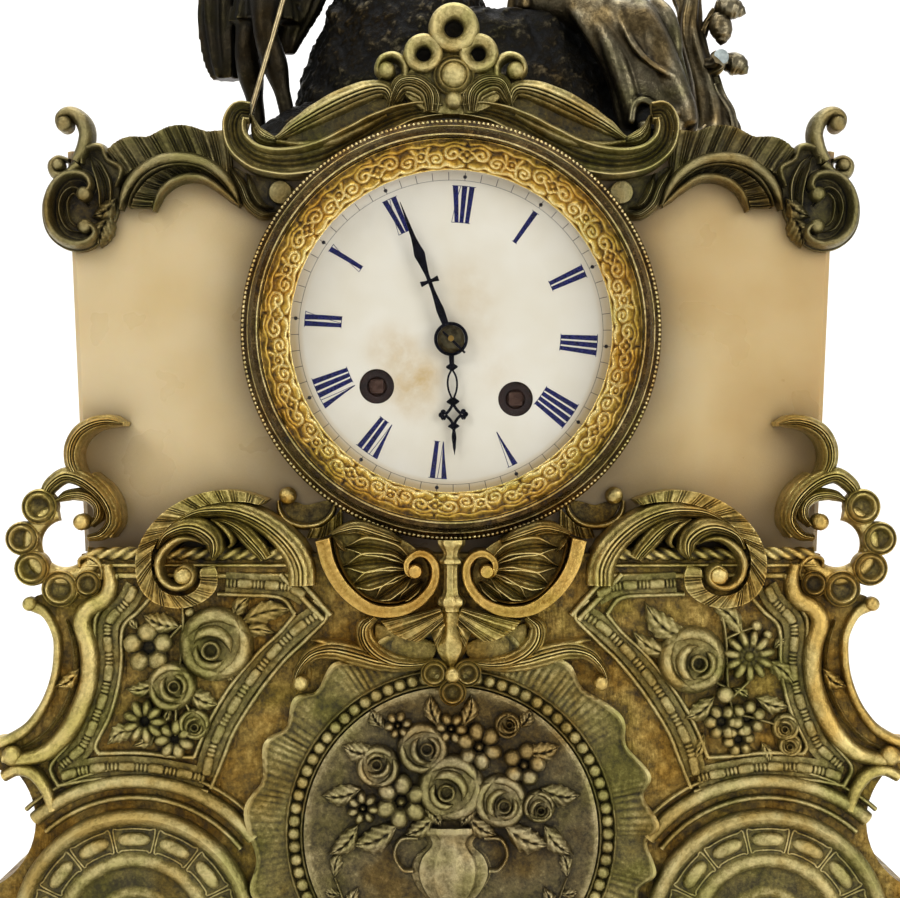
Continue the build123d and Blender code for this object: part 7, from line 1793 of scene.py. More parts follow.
@dataclass
class Crest:
    """Palmette over the dial and the corner crestings of the body, drawn on the left and mirrored."""

    rise: float = 8.0

    def palmette(self) -> Shape:
        """Three eyelet lobes, a ball in a ring, a pendant, ball volutes and the leafy arms that hug the bezel."""
        g, k = BODY_FACE, self.rise
        half = [
            eyelet((-8.4, 325.0), 6.3, k, g, 0.37), ball((-19.8, 320.1), 2.8, g, 4.6),
            run([(-21.1, 318.0), (-22.6, 320.7), (-21.2, 323.9), (-17.4, 324.8), (-14.2, 322.1), (-14.1, 316.4)],
                (1.7, 2.5, 2.8, 3.0, 3.2, 3.4), (5.6, 6.6, 7.0, 6.4), Section.ROUND, g),
            run([(-61.8, 307.4), (-65.2, 307.4), (-66.7, 303.0), (-65.0, 297.3), (-59.2, 292.9), (-50.2, 291.6),
                 (-39.7, 293.6), (-30.2, 298.4), (-20.7, 303.9), (-11.2, 307.4), (-2.7, 307.9)],
                (6.1, 7.4, 8.2, 8.9, 9.9, 10.4, 10.1, 9.3, 8.0, 6.3, 3.8), (6.6, 7.6, 8.4, 8.6, 8.2, 7.2, 6.4),
                Section.LOBE, g),
            run([(-53.5, 299.2), (-47.3, 303.1), (-39.7, 307.4), (-32.1, 311.2), (-24.5, 314.0), (-19.6, 313.8),
                 (-17.7, 308.8)], (2.5, 5.5, 7.2, 8.0, 7.6, 6.1, 2.5), (6.0, k, 8.6, 8.6, 8.0, 6.0), Section.REEDED,
                g),
            run([(-53.5, 298.4), (-45.4, 297.3), (-35.9, 298.4), (-27.4, 302.2), (-19.8, 306.4)],
                (1.9, 3.4, 3.8, 3.4, 1.7), (5.4, 6.6, 6.8, 5.6), Section.ROUND, g),
            # Near-black plate: painted shade of the hollow between the arms
            plate([(-51.1, 298.6), (-41.6, 304.6), (-31.2, 309.6), (-21.7, 311.7), (-16.0, 308.8), (-23.6, 304.1),
                   (-35.0, 299.3), (-44.5, 297.4)], 4.2, g, 0.0),
            run([(-6.5, 307.4), (-7.2, 312.5), (-10.7, 315.3), (-15.0, 315.3), (-17.4, 311.7), (-18.8, 308.4)],
                (5.1, 8.0, 9.1, 8.0, 5.3, 2.1), (7.2, 8.8, 9.2, 8.2, 6.0), Section.STRIATED, g),
            run([(-4.4, 306.9), (-3.8, 311.7), (-6.0, 315.3), (-10.3, 316.9)], (2.1, 3.2, 2.8, 1.3), (6.4, 7.4, 7.0),
                Section.REEDED, g),
            run([(-61.6, 306.5), (-58.7, 300.3), (-51.1, 297.9)], (1.3, 4.7, 1.9), (4.0, 4.6, 4.0), Section.STRIATED,
                g),
        ]
        middle = [
            plate([(-15.6, 314.7), (-12.2, 320.7), (-6.8, 321.6), (-3.8, 325.9), (0.9, 327.1), (5.5, 325.9),
                   (8.7, 321.6), (13.9, 320.7), (17.3, 314.7), (10.6, 307.9), (0.9, 306.2), (-8.8, 307.9)], 5.6, g),
            eyelet((0.9, 332.8), 7.9, k + 0.6, g, 0.38), cup((0.9, 318.2), 6.5, 8.4, g),
            ball((0.9, 318.2), 4.7, g, 5.2, 28),
            ball((0.9, 310.6), 2.8, g, 6.2),
        ]
        return joined(half).both() + joined(middle)

    def corner(self) -> Shape:
        """Hooked curl, big C-scroll with two balls, ruffled leaf, two arches with a crimped cove, and an S-scroll."""
        g = BODY_FACE
        parts = [
            pleated([(-105.4, 295.2), (-101.6, 298.1), (-98.2, 299.4), (-93.5, 299.8), (-90.6, 301.3), (-87.4, 302.7),
                     (-83.6, 303.1), (-79.5, 302.5), (-74.9, 301.0), (-72.0, 301.3), (-67.9, 301.7)],
                    [(-100.5, 288.0), (-98.2, 289.7), (-95.2, 291.2), (-92.3, 292.5), (-88.8, 293.7), (-85.4, 294.4),
                     (-81.3, 294.6), (-77.2, 294.0), (-73.7, 292.6), (-70.2, 290.3), (-67.3, 287.6)], 30,
                    (6.4, 6.8, 6.0, 6.8, 6.2, 6.0), 4.2, g, 0.8, -1.0, 1.8),
            run([(-118.3, 302.2), (-120.3, 303.4), (-120.3, 306.0), (-117.0, 307.3), (-113.5, 304.7), (-112.2, 300.6),
                 (-113.3, 296.1), (-115.5, 292.4)], (1.5, 2.9, 4.3, 4.9, 5.2, 5.1, 4.7, 3.8),
                (5.6, 6.8, 7.6, 7.4, 6.2), Section.ROUND, g), ball((-118.7, 303.6), 2.5, g, 5.4),
            run([(-117.6, 292.7), (-120.9, 293.3), (-122.9, 291.3), (-121.9, 288.5), (-118.4, 288.2), (-114.8, 291.5)],
                (1.4, 2.4, 3.0, 3.4, 3.6, 3.8), (5.0, 6.0, 6.2, 5.6), Section.ROUND, g),
            ball((-120.9, 291.2), 2.0, g, 4.4),
            # Darkened plate: painted shade of the hollow round the C-scroll
            plate([(-113.3, 295.8), (-107.5, 296.6), (-105.1, 292.5), (-101.3, 289.6), (-102.2, 283.3),
                   (-102.8, 275.7), (-107.5, 269.4), (-115.6, 267.0), (-122.0, 272.8), (-122.6, 281.0),
                   (-117.3, 288.0)], 2.2, g, 0.4),
            run([(-112.3, 282.1), (-110.6, 284.9), (-112.0, 287.6), (-115.6, 288.4), (-119.6, 287.1), (-122.6, 283.2),
                 (-123.7, 277.8), (-122.7, 272.1), (-119.6, 268.3), (-115.1, 266.7), (-111.2, 267.5), (-109.1, 269.9),
                 (-110.2, 272.1), (-112.2, 272.3)],
                (3.3, 3.6, 3.8, 3.8, 4.1, 4.5, 4.8, 4.9, 4.8, 4.5, 4.3, 4.1, 3.6, 3.1),
                (7.6, 8.2, 8.6, 9.0, 9.0, 8.6, 8.0), Section.OGEE, g),
            run([(-111.5, 278.7), (-115.5, 283.3), (-118.4, 281.6), (-119.2, 277.5), (-117.6, 272.8), (-113.3, 270.7)],
                (0.9, 2.3, 3.0, 3.3, 2.9, 1.2), (3.4, 4.4, 4.8, 4.4, 3.4), Section.LOBE, g),
            ball((-112.5, 282.0), 2.3, g, 6.2, 20), ball((-112.2, 272.1), 2.3, g, 6.2, 20),
            run([(-113.5, 291.5), (-113.3, 295.4), (-110.2, 296.9), (-107.2, 296.5), (-105.4, 292.8), (-101.4, 289.9),
                 (-102.9, 284.5)], (1.7, 2.3, 2.3, 2.2, 2.2, 2.4, 1.4), (5.4, 6.6, 6.4, 5.6), Section.ROUND, g),
            run([(-111.1, 294.2), (-108.9, 290.9), (-106.9, 286.2), (-106.3, 281.0), (-107.5, 275.7)],
                (1.2, 4.1, 4.9, 4.3, 1.4), (3.4, 5.0, 5.2, 3.8), Section.LOBE, g),
            leaflet((-102.8, 281.0), (-110.7, 275.2), 6.4, 6.4, g, 0.15, 4),
            leaflet((-104.4, 275.7), (-107.9, 265.9), 7.6, 6.4, g, -0.12, 5),
            run([(-101.6, 277.4), (-100.7, 281.0), (-98.8, 285.1), (-95.1, 289.2), (-89.7, 292.2), (-82.9, 293.1),
                 (-76.3, 291.9), (-70.6, 288.2), (-67.0, 283.5), (-64.9, 278.7)],
                (1.3, 3.6, 4.3, 4.7, 4.8, 4.7, 4.5, 4.2, 3.5, 1.4), (6.4, 8.0, 8.4, 8.0, 6.0), Section.ROUND, g),
            run([(-99.0, 278.1), (-97.8, 281.9), (-94.5, 286.8), (-89.3, 290.1), (-82.9, 291.2), (-76.6, 290.1),
                 (-71.4, 286.8), (-67.9, 282.7)], (0.9, 1.5, 1.6, 1.6, 1.6, 1.5, 1.4, 0.7), (6.4, 7.0, 7.0, 6.0),
                Section.ROUND, g),
            pleated([(-98.2, 278.1), (-96.3, 282.4), (-93.0, 286.3), (-88.5, 289.2), (-83.0, 290.4), (-77.3, 289.4),
                     (-72.6, 286.8), (-68.7, 283.0)],
                    [(-92.3, 278.1), (-90.8, 281.6), (-87.8, 285.1), (-84.2, 287.0), (-80.6, 287.7), (-76.2, 287.0),
                     (-72.0, 284.6), (-67.9, 280.8)], 34, 6.4, 4.2, g, 1.0, -1.4),
            run([(-91.4, 277.0), (-90.6, 279.7), (-89.0, 283.0), (-85.6, 285.9), (-81.2, 287.4), (-76.1, 287.0),
                 (-71.3, 284.1), (-67.7, 281.0), (-65.0, 278.5)], (1.2, 2.4, 2.9, 3.0, 3.0, 2.9, 2.7, 2.2, 0.9),
                (6.0, 7.0, 7.2, 6.0), Section.ROUND, g),
            run([(-67.9, 290.3), (-64.3, 284.5), (-61.9, 279.1), (-57.9, 275.9), (-53.6, 276.1)],
                (1.2, 3.6, 4.1, 3.4, 1.5), (5.4, 6.6, 6.8, 5.6), Section.REEDED, g),
            run([(-62.7, 288.5), (-60.9, 282.7), (-58.4, 278.9), (-54.8, 278.0)], (0.9, 2.9, 2.9, 1.0),
                (5.0, 7.0, 7.0, 5.0), Section.REEDED, g),
            boss((-52.5, 282.8), [(3.7, 0), (3.7, 3.4), (3.4, 4.0), (2.4, 4.2), (0, 4.2)], g),
            # Darkened plate: painted shade of the hollow behind the scrolls
            plate([(-67.3, 290.3), (-62.1, 288.5), (-53.4, 286.8), (-48.1, 283.3), (-53.4, 275.7), (-60.9, 277.5)],
                  2.4, g, 0.2),
        ]
        return joined(parts)

    def build(self) -> None:
        """Places the palmette and both corner crestings."""
        place("crest_palmette_carved", self.palmette(), "case", "gilt_bronze", FIELD.make(), "crest_palmette")
        left = self.corner()
        place_pair("cresting", left, left.mirrored(), CREST)


def on_mound(points: Sequence[Spot]) -> Array:
    """Points whose heights are given above the ledge of the mound."""
    return np.asarray(points, float) + (0, 0, MOUND_TOP)


def bar(points: Sequence[Spot], radius: Values, around: int = 18) -> Shape:
    """Limb along a smooth line over the mound, with rounded ends drawn in over the last radius."""
    rows = 44
    path, u = spline(on_mound(points), rows), np.linspace(0, 1, rows)
    end = np.sqrt(np.clip(1 - (1 - np.clip(np.minimum(u, 1 - u) / 0.06, 0, 1)) ** 2, 0.04, 1))
    return tube(path, taper(rows, radius) * end, around, ASKEW)


def cloth(levels: Points, folds: int, depth: Values, **how: object) -> Shape:
    """Draped cloth whose heights are given above the ledge of the mound; see drape."""
    return drape(np.asarray(levels, float) + (0, 0, MOUND_TOP, 0, 0), folds, depth, **how)


@dataclass
class Head:
    """Head of a figure with a calm, general face: an egg whose radius is raised or sunk round each feature."""

    centre: Spot
    size: float
    turn: float
    nod: float

    def shape(self) -> Shape:
        """Egg of 72 by 56 points: bumps exp(-da² - de²) at brow, nose, lips, chin and cheeks, hollows at the eyes."""
        a = np.linspace(-np.pi, np.pi, 72, endpoint=False)[None]
        e = np.linspace(-np.pi / 2 + 0.02, np.pi / 2 - 0.02, 56)[:, None]

        def mark(side: float, height: float, wide: float, tall: float) -> Array:
            """Soft spot round an angle to the side and a height, both in radians, mirrored to both sides."""
            return np.exp(-((np.abs(a) - side) / wide) ** 2 - ((e - height) / tall) ** 2)

        r = 1 + 0.16 * np.clip(-e - 0.2, 0, 2) * np.exp(-(a / 0.9) ** 2)
        for share, *spot in (
                (0.05, 0.3, 0.22, 0.35, 0.1), (-0.09, 0.36, 0.06, 0.2, 0.12), (0.035, 0.36, 0.05, 0.1, 0.05),
                (0.2, 0.0, -0.16, 0.1, 0.14), (0.08, 0.0, 0.02, 0.08, 0.16), (0.05, 0.1, -0.22, 0.08, 0.06),
                (0.07, 0.0, -0.44, 0.2, 0.05), (0.06, 0.0, -0.56, 0.18, 0.05), (-0.04, 0.0, -0.5, 0.22, 0.025),
                (0.1, 0.0, -0.82, 0.25, 0.14), (0.04, 0.6, -0.3, 0.3, 0.25)):
            r = r + share * mark(*spot)
        line = 0.36 + 0.9 * np.clip(np.abs(a) - 0.75, 0, 1.0) * -1.1
        hair = 1 / (1 + np.exp(-(e - line) / 0.05))
        lock = np.cos(15 * a + 5 * np.sin(3 * e)) * np.cos(9 * e + 2 * np.sin(4 * a))
        r = r + hair * (0.1 + 0.05 * lock)
        x = self.size * 0.86 * r * np.cos(e) * np.sin(a)
        y = -self.size * 0.96 * r * np.cos(e) * np.cos(a)
        z = self.size * 1.14 * r * np.sin(e)
        n, t = np.radians(self.nod), np.radians(self.turn)
        y, z = y * np.cos(n) + z * np.sin(n), z * np.cos(n) - y * np.sin(n)
        x, y = x * np.cos(t) - y * np.sin(t), x * np.sin(t) + y * np.cos(t)
        c = on_mound([self.centre])[0]
        return loft(np.stack([x + c[0], y + c[1], z + c[2]], -1), np.clip(0.5 + 0.4 * hair * lock, 0, 1))


@dataclass
class Figures:
    """Dark bronze group on top: rock, standing youth with a staff, seated robed figure and a vine stump."""

    voxel: float = 0.75

    def crag(self, levels: Points, seed: int) -> Shape:
        """Loops of ellipses broken by lumps of three sizes that fade towards the underside.

        Args:
            levels: x, y, z and two half axes of each loop, from the bottom up.
            seed: number that picks the lumps.

        Returns:
            The rock as a closed surface.
        """
        rows, around = 110, 220
        c, a = spline(levels, rows), turns(around)[None]
        p = ellipses(c, a, np.ones((rows, around)))
        lump = rough(p, 24.0, seed) + 0.5 * np.abs(rough(p, 9.0, seed + 5)) + 0.22 * rough(p, 3.2, seed + 2)
        fade = np.clip((p[..., 2] - BODY_TOP - 0.5) / 5.0, 0, 1)
        push = np.stack([np.cos(a) + 0 * c[:, :1], np.sin(a) + 0 * c[:, :1], np.full(p.shape[:2], 0.35)], -1)
        step = 1.4 * np.clip((p[..., 2] - MOUND_TOP) / 10, 0.25, 1)
        return loft(p + push * (lump * fade * step - 0.5 * fade)[..., None], np.clip(0.4 + 0.45 * lump, 0, 1))

    def rock(self) -> Shape:
        """Ledge with the rock that carries the seat, the boulder behind it and the slope that the youth stands on."""
        ledge = [(4, -2, BODY_TOP, 92, 35), (4, -2, BODY_TOP + 5, 91.5, 34.6), (4, -2, MOUND_TOP, 88, 32),
                 (4, -1, MOUND_TOP + 3, 68, 29), (7, 0, MOUND_TOP + 8, 56, 26.5), (7, 1, MOUND_TOP + 16, 52, 24.5),
                 (7, 3, MOUND_TOP + 30, 47.5, 22), (6, 4, MOUND_TOP + 42, 41, 18.5), (3, 4, MOUND_TOP + 44, 26, 13),
                 (3, 4, MOUND_TOP + 44.5, 6, 4)]
        boulder = [(-16, 1, BODY_TOP + 2, 38, 26), (-16, 2, MOUND_TOP + 18, 35, 24),
                   (-15, 3, MOUND_TOP + 36, 29.5, 21), (-14, 4, MOUND_TOP + 50, 25, 17),
                   (-14, 4, MOUND_TOP + 53.6, 17, 11), (-14, 4, MOUND_TOP + 54, 4, 3)]
        apron = [(-27, -12, BODY_TOP + 2, 42, 19), (-27, -12, MOUND_TOP, 40, 18), (-27, -11, MOUND_TOP + 6, 33, 16),
                 (-26, -10, MOUND_TOP + 12, 21, 13), (-25, -9, MOUND_TOP + 16, 10, 8), (-25, -9, MOUND_TOP + 17, 3, 3)]
        return self.crag(ledge, 3) + self.crag(boulder, 12) + self.crag(apron, 21)

    def youth(self) -> Shape:
        """Standing youth: legs, feet, belted tunic, arms and the hanging cloak."""
        return joined([
            bar([(-52.5, -12, 3), (-53.4, -12.4, 10), (-56.4, -12.4, 22), (-60, -15, 35), (-60.2, -11, 46),
                 (-60, -6, 57)], (2.4, 2.6, 4.3, 3.9, 5.4, 6.2)),
            bar([(-63, -2, 3), (-63.8, -2, 9), (-65.5, -1.5, 20), (-67, -5, 31), (-66, -3, 43), (-64.5, -1, 55)],
                (2.4, 2.8, 4.4, 4.0, 5.4, 6.2)),
            bar([(-52.6, -9.6, 2.0), (-51.6, -13, 2.4), (-48.5, -19.2, 1.5)], (1.8, 2.3, 1.6)),
            bar([(-63.4, 0.4, 2.0), (-61.8, -3.6, 2.4), (-58.4, -9.4, 1.5)], (1.8, 2.3, 1.6)),
            cloth([(-61.5, -4, 40, 10.6, 8.6), (-61.2, -3.4, 50, 9.2, 7.2), (-60, -3, 61, 7.5, 5.6),
                   (-58.6, -3, 75, 9.4, 6.0), (-57.6, -3, 83.5, 6.8, 4.8), (-57.2, -3.2, 86, 3.4, 3.0)], 11,
                  (0.13, 0.07, 0.03, 0.02, 0.0)),
            cloth([(-60.4, -3.2, 59.2, 8.0, 6.0), (-60.2, -3.2, 60.6, 8.4, 6.4), (-60, -3.2, 62, 8.0, 6.0)], 3, 0.0,
                  rows=10),
            bar([(-57.4, -3, 83), (-56.3, -4, 91)], (3.4, 2.7)),
            bar([(-50, -3.6, 82), (-45.4, -6, 76), (-41.5, -9, 70)], (3.3, 3.1, 2.4)),
            bar([(-41.5, -9, 70), (-45.4, -12.2, 66), (-48.5, -14.8, 62.6)], (2.5, 2.5, 1.7)),
            bar([(-47.8, -14.2, 63.4), (-49.4, -16.4, 62.2), (-50.6, -16.8, 60.8)], (1.7, 2.3, 1.7)),
            bar([(-66, -3, 82), (-70.6, -0.4, 76), (-74.5, 2, 69)], (3.3, 3.1, 2.5)),
            bar([(-74.5, 2, 69), (-72, -1.8, 63.4), (-68.5, -5, 58)], (2.5, 2.5, 1.8)),
            cloth([(-74.5, 5, 23, 4.6, 3.8), (-74.8, 5.2, 30, 6.8, 5.2), (-75.4, 5.8, 45, 8.2, 6.0),
                   (-74.6, 6, 56, 7.8, 5.8), (-69.5, 5, 70, 6.8, 4.2), (-64, 3.6, 82, 7.6, 3.2),
                   (-60, 0.6, 87, 6.4, 3.2)], 9, (0.26, 0.22, 0.16, 0.12, 0.05), twist=1.2),
            cloth([(-53.6, 0, 30.4, 1.8, 1.6), (-53.2, 0.6, 36, 4.4, 3.4), (-50, 2.4, 46, 6.8, 5.2),
                   (-48.6, 3, 54, 7.6, 6.2), (-53, 3, 61, 7.0, 5.6), (-58, 3, 66, 5.0, 4.0)], 10,
                  (0.2, 0.16, 0.12, 0.08), twist=0.8),
            bar([(-66, -1.6, 84), (-61, -6.4, 79), (-55, -7.6, 83), (-50.6, -3, 85.6)], (2.0, 1.6, 1.5, 1.8)),
        ])

    def robed(self) -> Shape:
        """Seated figure: pleated robe over the knees, bodice, arms and a shawl down the back."""
        return joined([
            cloth([(66, -17.4, 0.6, 11.4, 7.2), (65, -17, 8, 12.0, 7.6), (62.6, -16, 20, 12.6, 8.4),
                   (56.4, -14, 35, 15.0, 10.0), (50, -10.6, 45, 14.6, 8.8), (44, -8, 49, 9.0, 6.0)], 5,
                  (0.14, 0.12, 0.1, 0.08, 0.05), twist=0.7, rows=56, around=132),
            bar([(40.8, -13, 44), (49.1, -18.6, 34), (54, -21.4, 21.6), (57.4, -22, 9.4), (58.4, -21.6, 2)],
                (3.4, 3.9, 3.8, 3.4, 3.2), 30),
            bar([(57.2, -12.6, 45), (62.8, -18.4, 34), (67.3, -20.6, 24), (71, -21, 15.6), (74, -20.4, 9),
                 (75.4, -19.6, 2)], (5.4, 6.0, 5.8, 5.4, 4.6, 4.2), 36),
            bar([(65.6, -10.4, 46), (69.8, -14, 40), (71.8, -16, 33), (73, -17, 24)], (2.4, 2.8, 2.6, 1.6), 24),
            bar([(53.2, -20.6, 43.6), (54.6, -23.6, 36), (58, -25.8, 28), (63.8, -26.9, 21.6), (71.6, -26.2, 17.4)],
                (1.2, 1.2, 1.2, 1.1, 0.8), 14),
            bar([(57.2, -25.4, 2.4), (58.2, -25, 8.6), (61, -25.8, 10.6), (64.4, -26, 8.8), (67.8, -25.8, 6.8),
                 (73, -24.4, 6.8)], 1.4, 14),
            bar([(54, -13.6, 40), (43, -7, 45.5), (31, 0, 49.5)], (9.4, 10.6, 11.4), 40),
            bar([(51, -16.4, 42), (41, -10, 47), (31, -2, 52)], (5.4, 6.2, 6.6), 30),
            cloth([(31, 1, 44, 12.4, 9.8), (30.4, 1, 52, 10.6, 8.4), (29, 1, 60, 8.0, 6.2), (27.4, 0, 71, 9.4, 6.6),
                   (26.4, 0, 80, 7.4, 5.0), (26, -0.2, 84, 3.4, 3.0)], 9, (0.1, 0.06, 0.03, 0.02, 0.0)),
            bar([(26, -0.2, 80), (24.6, -1.4, 89)], (3.2, 2.6)),
            bar([(19.4, -0.6, 79), (14.6, -3, 73.4), (10.5, -6, 67)], (3.4, 3.3, 2.5)),
            bar([(10.5, -6, 67), (8, -9, 62.4), (6, -12, 58)], (2.5, 2.4, 1.6)),
            bar([(33.6, 0.2, 79), (38.4, 1, 73), (42, 1, 66)], (3.4, 3.3, 2.5)),
            bar([(42, 1, 66), (43.6, -4.4, 60), (44, -10, 54)], (2.5, 2.4, 1.6)),
            bar([(43.6, -9, 55), (43.6, -12.4, 52.6), (42.4, -15, 51.6)], (1.5, 2.0, 1.4)),
            bar([(6.4, -11.4, 58.6), (5.2, -13.6, 56.2), (4.8, -14.4, 53.6)], (1.5, 2.0, 1.4)),
            cloth([(35.4, 9.4, 46, 8.6, 5.0), (34.4, 9.0, 56, 7.8, 4.4), (31.6, 6.8, 70, 8.2, 3.8),
                   (28, 4.2, 81, 8.0, 3.0), (25.4, 3.8, 90, 5.6, 4.0), (24, 2.2, 97, 4.6, 4.0)], 7,
                  (0.22, 0.16, 0.12, 0.08, 0.05), twist=0.8),
            bar([(60, -27.0, 1.6), (61.4, -29.4, 1.6), (62.6, -31.0, 1.4)], (1.8, 2.0, 1.2)),
        ])

    def stump(self) -> Shape:
        """Vine stump: ridged bark cos(7 a + 6 u) on bent bars, a cut branch, roots and vine leaves."""
        def bark(points: Sequence[Spot], radius: Values) -> Shape:
            """One bar with bark ridges that wind along it."""
            rows, around = 60, 40
            a, u = turns(around)[None], np.linspace(0, 1, rows)[:, None]
            ridge = np.cos(7 * a + 6 * u + 1.5 * np.sin(9 * u)) * 0.09 + 0.05 * np.sin(17 * u + 3 * a)
            return tube(spline(on_mound(points), rows), taper(rows, radius)[:, None] * (1 + ridge), up=ASKEW)

        parts = [bark([(87.4, 1, 0.4), (86.4, 3, 8), (84.5, 5, 22), (82, 6.8, 32), (80, 8, 42), (80.6, 9.6, 54),
                       (82, 11, 66)], (7.4, 6.0, 5.2, 4.5, 4.0, 3.3, 2.4)),
                 bark([(84, 6, 23), (86.6, 2.4, 26.4), (88.8, -2.8, 28.8)], (3.3, 3.3, 2.9)),
                 bark([(80, 8, 42), (77, 11, 52), (74, 13, 61)], (2.8, 2.4, 1.4)),
                 bark([(87, 1, 4), (90, -3, 2), (92, -7, 0.9)], (4.0, 3.0, 1.4)),
                 bark([(85, 0, 4), (81, -6, 1.6), (78, -10, 0.6)], (3.6, 2.4, 0.9)),
                 bark([(86.6, 3, 20), (91, 2, 13), (94, 0, 5), (94.6, -1, 0.6)], (3.0, 2.6, 2.2, 1.6)),
                 bark([(83, 7, 36), (86.6, 5, 44), (88, 4, 46.4)], (1.8, 1.4, 1.0))]
        buds = [[(87.6, 4, 46.6), (91, 3, 46.8), (94.6, 2.4, 45.8), (98, 2, 44.4)],
                [(88, 4, 45.4), (89.4, 3, 41.4), (90, 2.4, 37.4), (89.6, 2, 33.8)],
                [(89.4, 2.6, 27.4), (92.6, 2.4, 28), (95.6, 2, 27), (98.4, 1.6, 24.4)],
                [(81.6, 11, 64), (83.4, 12, 68.6), (85, 12.4, 72), (87.4, 12, 76)],
                [(81.4, 11, 65), (79.8, 13, 69), (78, 14.2, 73), (75, 14.6, 76.4)],
                [(74.2, 13, 60), (72.6, 14.4, 63), (70.4, 15.2, 65.6), (67, 15.6, 67.4)]]
        parts += [bar(bud, (0.8, 2.6, 3.5, 3.9, 3.8, 3.2, 2.0, 0.5), 24) for bud in buds]
        return joined(parts)

    def build(self) -> None:
        """Places the rock, the two skinned figures with their heads, the stump and a dark disc painted as the shadow
        under the hem.
        """
        place("rock_mound_cast", self.rock(), "case", "dark_bronze", ROCK.make(), "rock_mound")
        for name, shape, finish, head in (
                ("standing_figure", self.youth(), DARK, Head((-55.5, -5.2, 95.6), 6.3, 24.0, 6.0)),
                ("seated_figure", self.robed(), ROBE, Head((23.5, -2.2, 92.2), 6.1, -24.0, 8.0))):
            skin = remeshed(name + "_cast", shape, self.voxel, 2)
            finish_piece(name + "_cast", skin, "case", finish.make(), (name,), 60.0)
            place(name + "_head", head.shape(), "case", "dark_bronze", finish.make(), crease=60)
        place("vine_stump_cast", self.stump(), "case", "dark_bronze", ROBE.make(), "vine_stump")
        cut = boss((89.0, MOUND_TOP + 29.0), [(2.6, 0), (2.6, 0.5), (2.3, 0.8), (1.2, 0.7), (0, 0.6)], -2.6)
        place("vine_stump_cut_face", cut, "case", "dark_bronze", CUT.make())
        # Near-black disc on the robe, tone nil: painted shadow in the hollow under the hem
        hollow = boss((63.6, MOUND_TOP + 4.4), [(5.0, 0), (4.8, 1.6), (4.0, 2.3), (0, 2.0)], -24.4, 32, (1.0, 0.8))
        hollow.height *= 0.0
        place("robe_hem_painted_shadow", hollow, "case", "dark_bronze", ROCK.make())


@dataclass
class Movement:
    """Carried-over nodes: body, base, bezel, dial, movement and back keep their solids and get real finishes."""

    def build(self) -> None:
        """Puts a finish into every material slot of the nodes that are shown as they are."""
        finishes = {"gilt_bronze": GROUND, "medal_bronze": GROUND, "dark_bronze": TONED, "brass": BRASS,
                    "steel": STEEL, "blued_steel": BLUED, "enamel": DIAL, "glass": GLASS, "bell_metal": BELL,
                    "alabaster": STONE, "giltwood": GROUND}
        own = {"front_bezel": TONED, "staff": STAFF, "hand_collet": COLLET, "going_arbor": ARBOR,
               "strike_arbor": ARBOR}
        slots = {part["node"]: part["material_slot"] for part in FRAME["record"]["subparts"]}
        for name, node in FRAME["nodes"].items():
            finish = own.get(name, finishes[slots[name]]).make()
            for index in range(max(len(node.material_slots), 1)):
                if node.material_slots:
                    node.material_slots[index].material = finish
                else:
                    node.data.materials.append(finish)


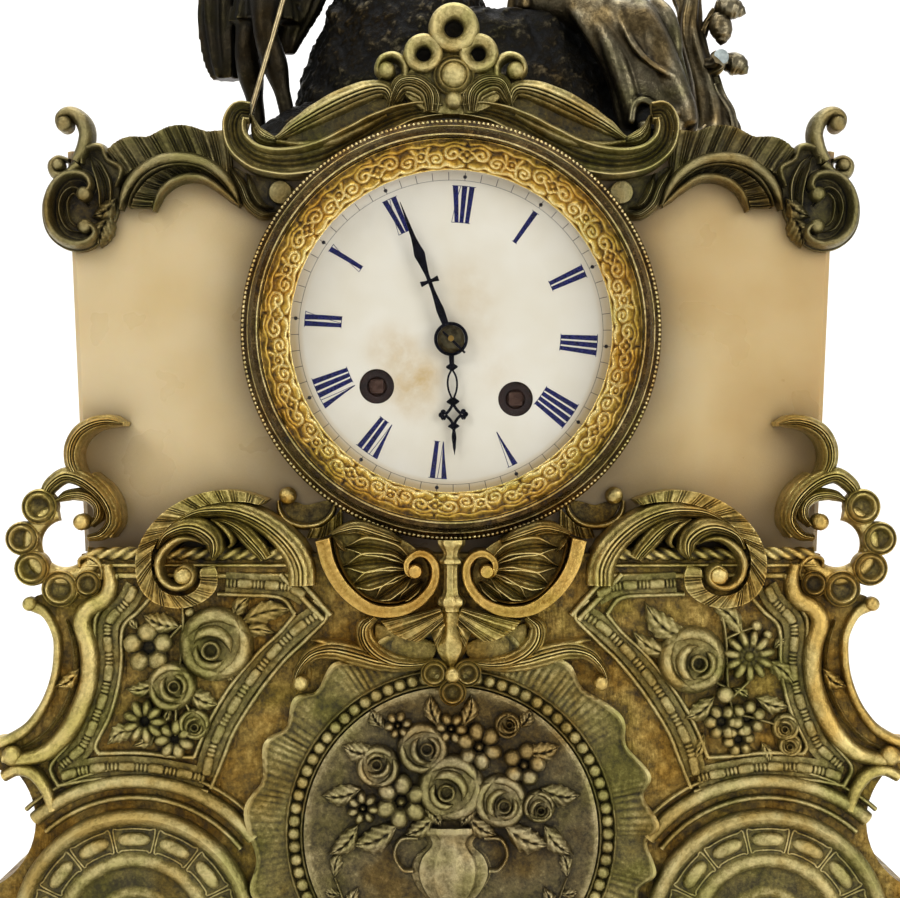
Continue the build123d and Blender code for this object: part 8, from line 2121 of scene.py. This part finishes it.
@dataclass
class Studio:
    """Pale sweep, soft lights and the camera that stands level in front of the clock."""

    eye: Spot = (-0.3, -618.0, 203.8)
    half_width: float = 135.0
    distance: float = 560.0
    sensor: float = 36.0
    sky: float = 0.42
    wall_y: float = 3000.0
    wall_top: float = 4500.0
    floor_front: float = -3500.0
    half_floor: float = 4000.0
    bend: float = 500.0
    # Name, place, aim, size and watts of each lamp
    lamps: tuple[tuple[str, Spot, Spot, float, float], ...] = (
        ("key", (-700, -900, 900), (0, -40, 200), 500, 4.8), ("fill", (800, -900, 500), (0, -40, 200), 600, 5.0),
        ("top", (0, -150, 1300), (0, 0, 250), 700, 4.2), ("wall", (0, 1400, 2900), (0, 3000, 500), 3000, 104))

    def sweep(self) -> None:
        """Floor that bends up into a wall: a profile of two straights and a quarter circle carried along X."""
        a = np.linspace(0, np.pi / 2, 24)
        r = self.bend
        bend = np.stack([self.wall_y - r + r * np.sin(a), r - r * np.cos(a)], 1)
        profile = np.vstack([(self.floor_front, 0.0), bend, (self.wall_y, self.wall_top)])
        x = np.array([-self.half_floor, self.half_floor])[:, None]
        points = np.stack([x + 0 * profile[:, 0], profile[:, 0] + 0 * x, profile[:, 1] + 0 * x - 0.05], -1)
        n = len(profile)
        i = np.arange(n - 1)
        mesh = bpy.data.meshes.new("studio_sweep")
        mesh.from_pydata(points.reshape(-1, 3) * MM, [], np.stack([i, i + n, i + n + 1, i + 1], 1))
        mesh.polygons.foreach_set("use_smooth", np.ones(n - 1, bool))
        mesh.materials.append(PAPER.make())
        floor = bpy.data.objects.new("studio_sweep", mesh)
        bpy.context.scene.collection.objects.link(floor)

    def lamp(self, name: str, place_mm: Spot, aim: Spot, size: float, watts: float) -> None:
        """Square soft light at a place, turned to a point."""
        data = bpy.data.lights.new(name, "AREA")
        data.shape, data.size, data.energy = "SQUARE", size * MM, watts
        lamp = bpy.data.objects.new(name, data)
        lamp.location = Vector(place_mm) * MM
        lamp.rotation_euler = (Vector(aim) - Vector(place_mm)).to_track_quat("-Z", "Y").to_euler()
        bpy.context.scene.collection.objects.link(lamp)

    def build(self) -> None:
        """Sets the sweep, the world, four lamps and the camera."""
        self.sweep()
        world = bpy.context.scene.world or bpy.data.worlds.new("studio")
        bpy.context.scene.world = world
        world.use_nodes = True
        sky = world.node_tree.nodes["Background"]
        sky.inputs["Color"].default_value = (1.0, 1.0, 1.0, 1.0)
        sky.inputs["Strength"].default_value = self.sky
        for lamp in self.lamps:
            self.lamp(*lamp)
        bpy.context.scene.view_settings.view_transform = "Standard"
        data = bpy.data.cameras.new("camera")
        data.sensor_fit, data.sensor_width = "HORIZONTAL", self.sensor
        data.lens = self.sensor * self.distance / (2 * self.half_width)
        data.clip_start, data.clip_end = 0.01, 50.0
        camera = bpy.data.objects.new("camera", data)
        camera.location = [v * MM for v in self.eye]
        camera.rotation_euler = (np.pi / 2, 0.0, 0.0)
        bpy.context.scene.collection.objects.link(camera)
        bpy.context.scene.camera = camera


def main() -> None:
    """Builds the sub-assemblies in order."""
    logging.basicConfig(level=logging.INFO, format="%(name)s: %(message)s")
    for assembly in (Studio(), Movement(), Plinth(), BaseMouldings(), Roundels(), Medallion(), FlowerPanels(),
                     Cartouche(), AcanthusScrolls(), SideLoops(), Crest(), Bezel(), DialPrint(), Hands(), Figures()):
        assembly.build()


if __name__ == "__main__":
    main()
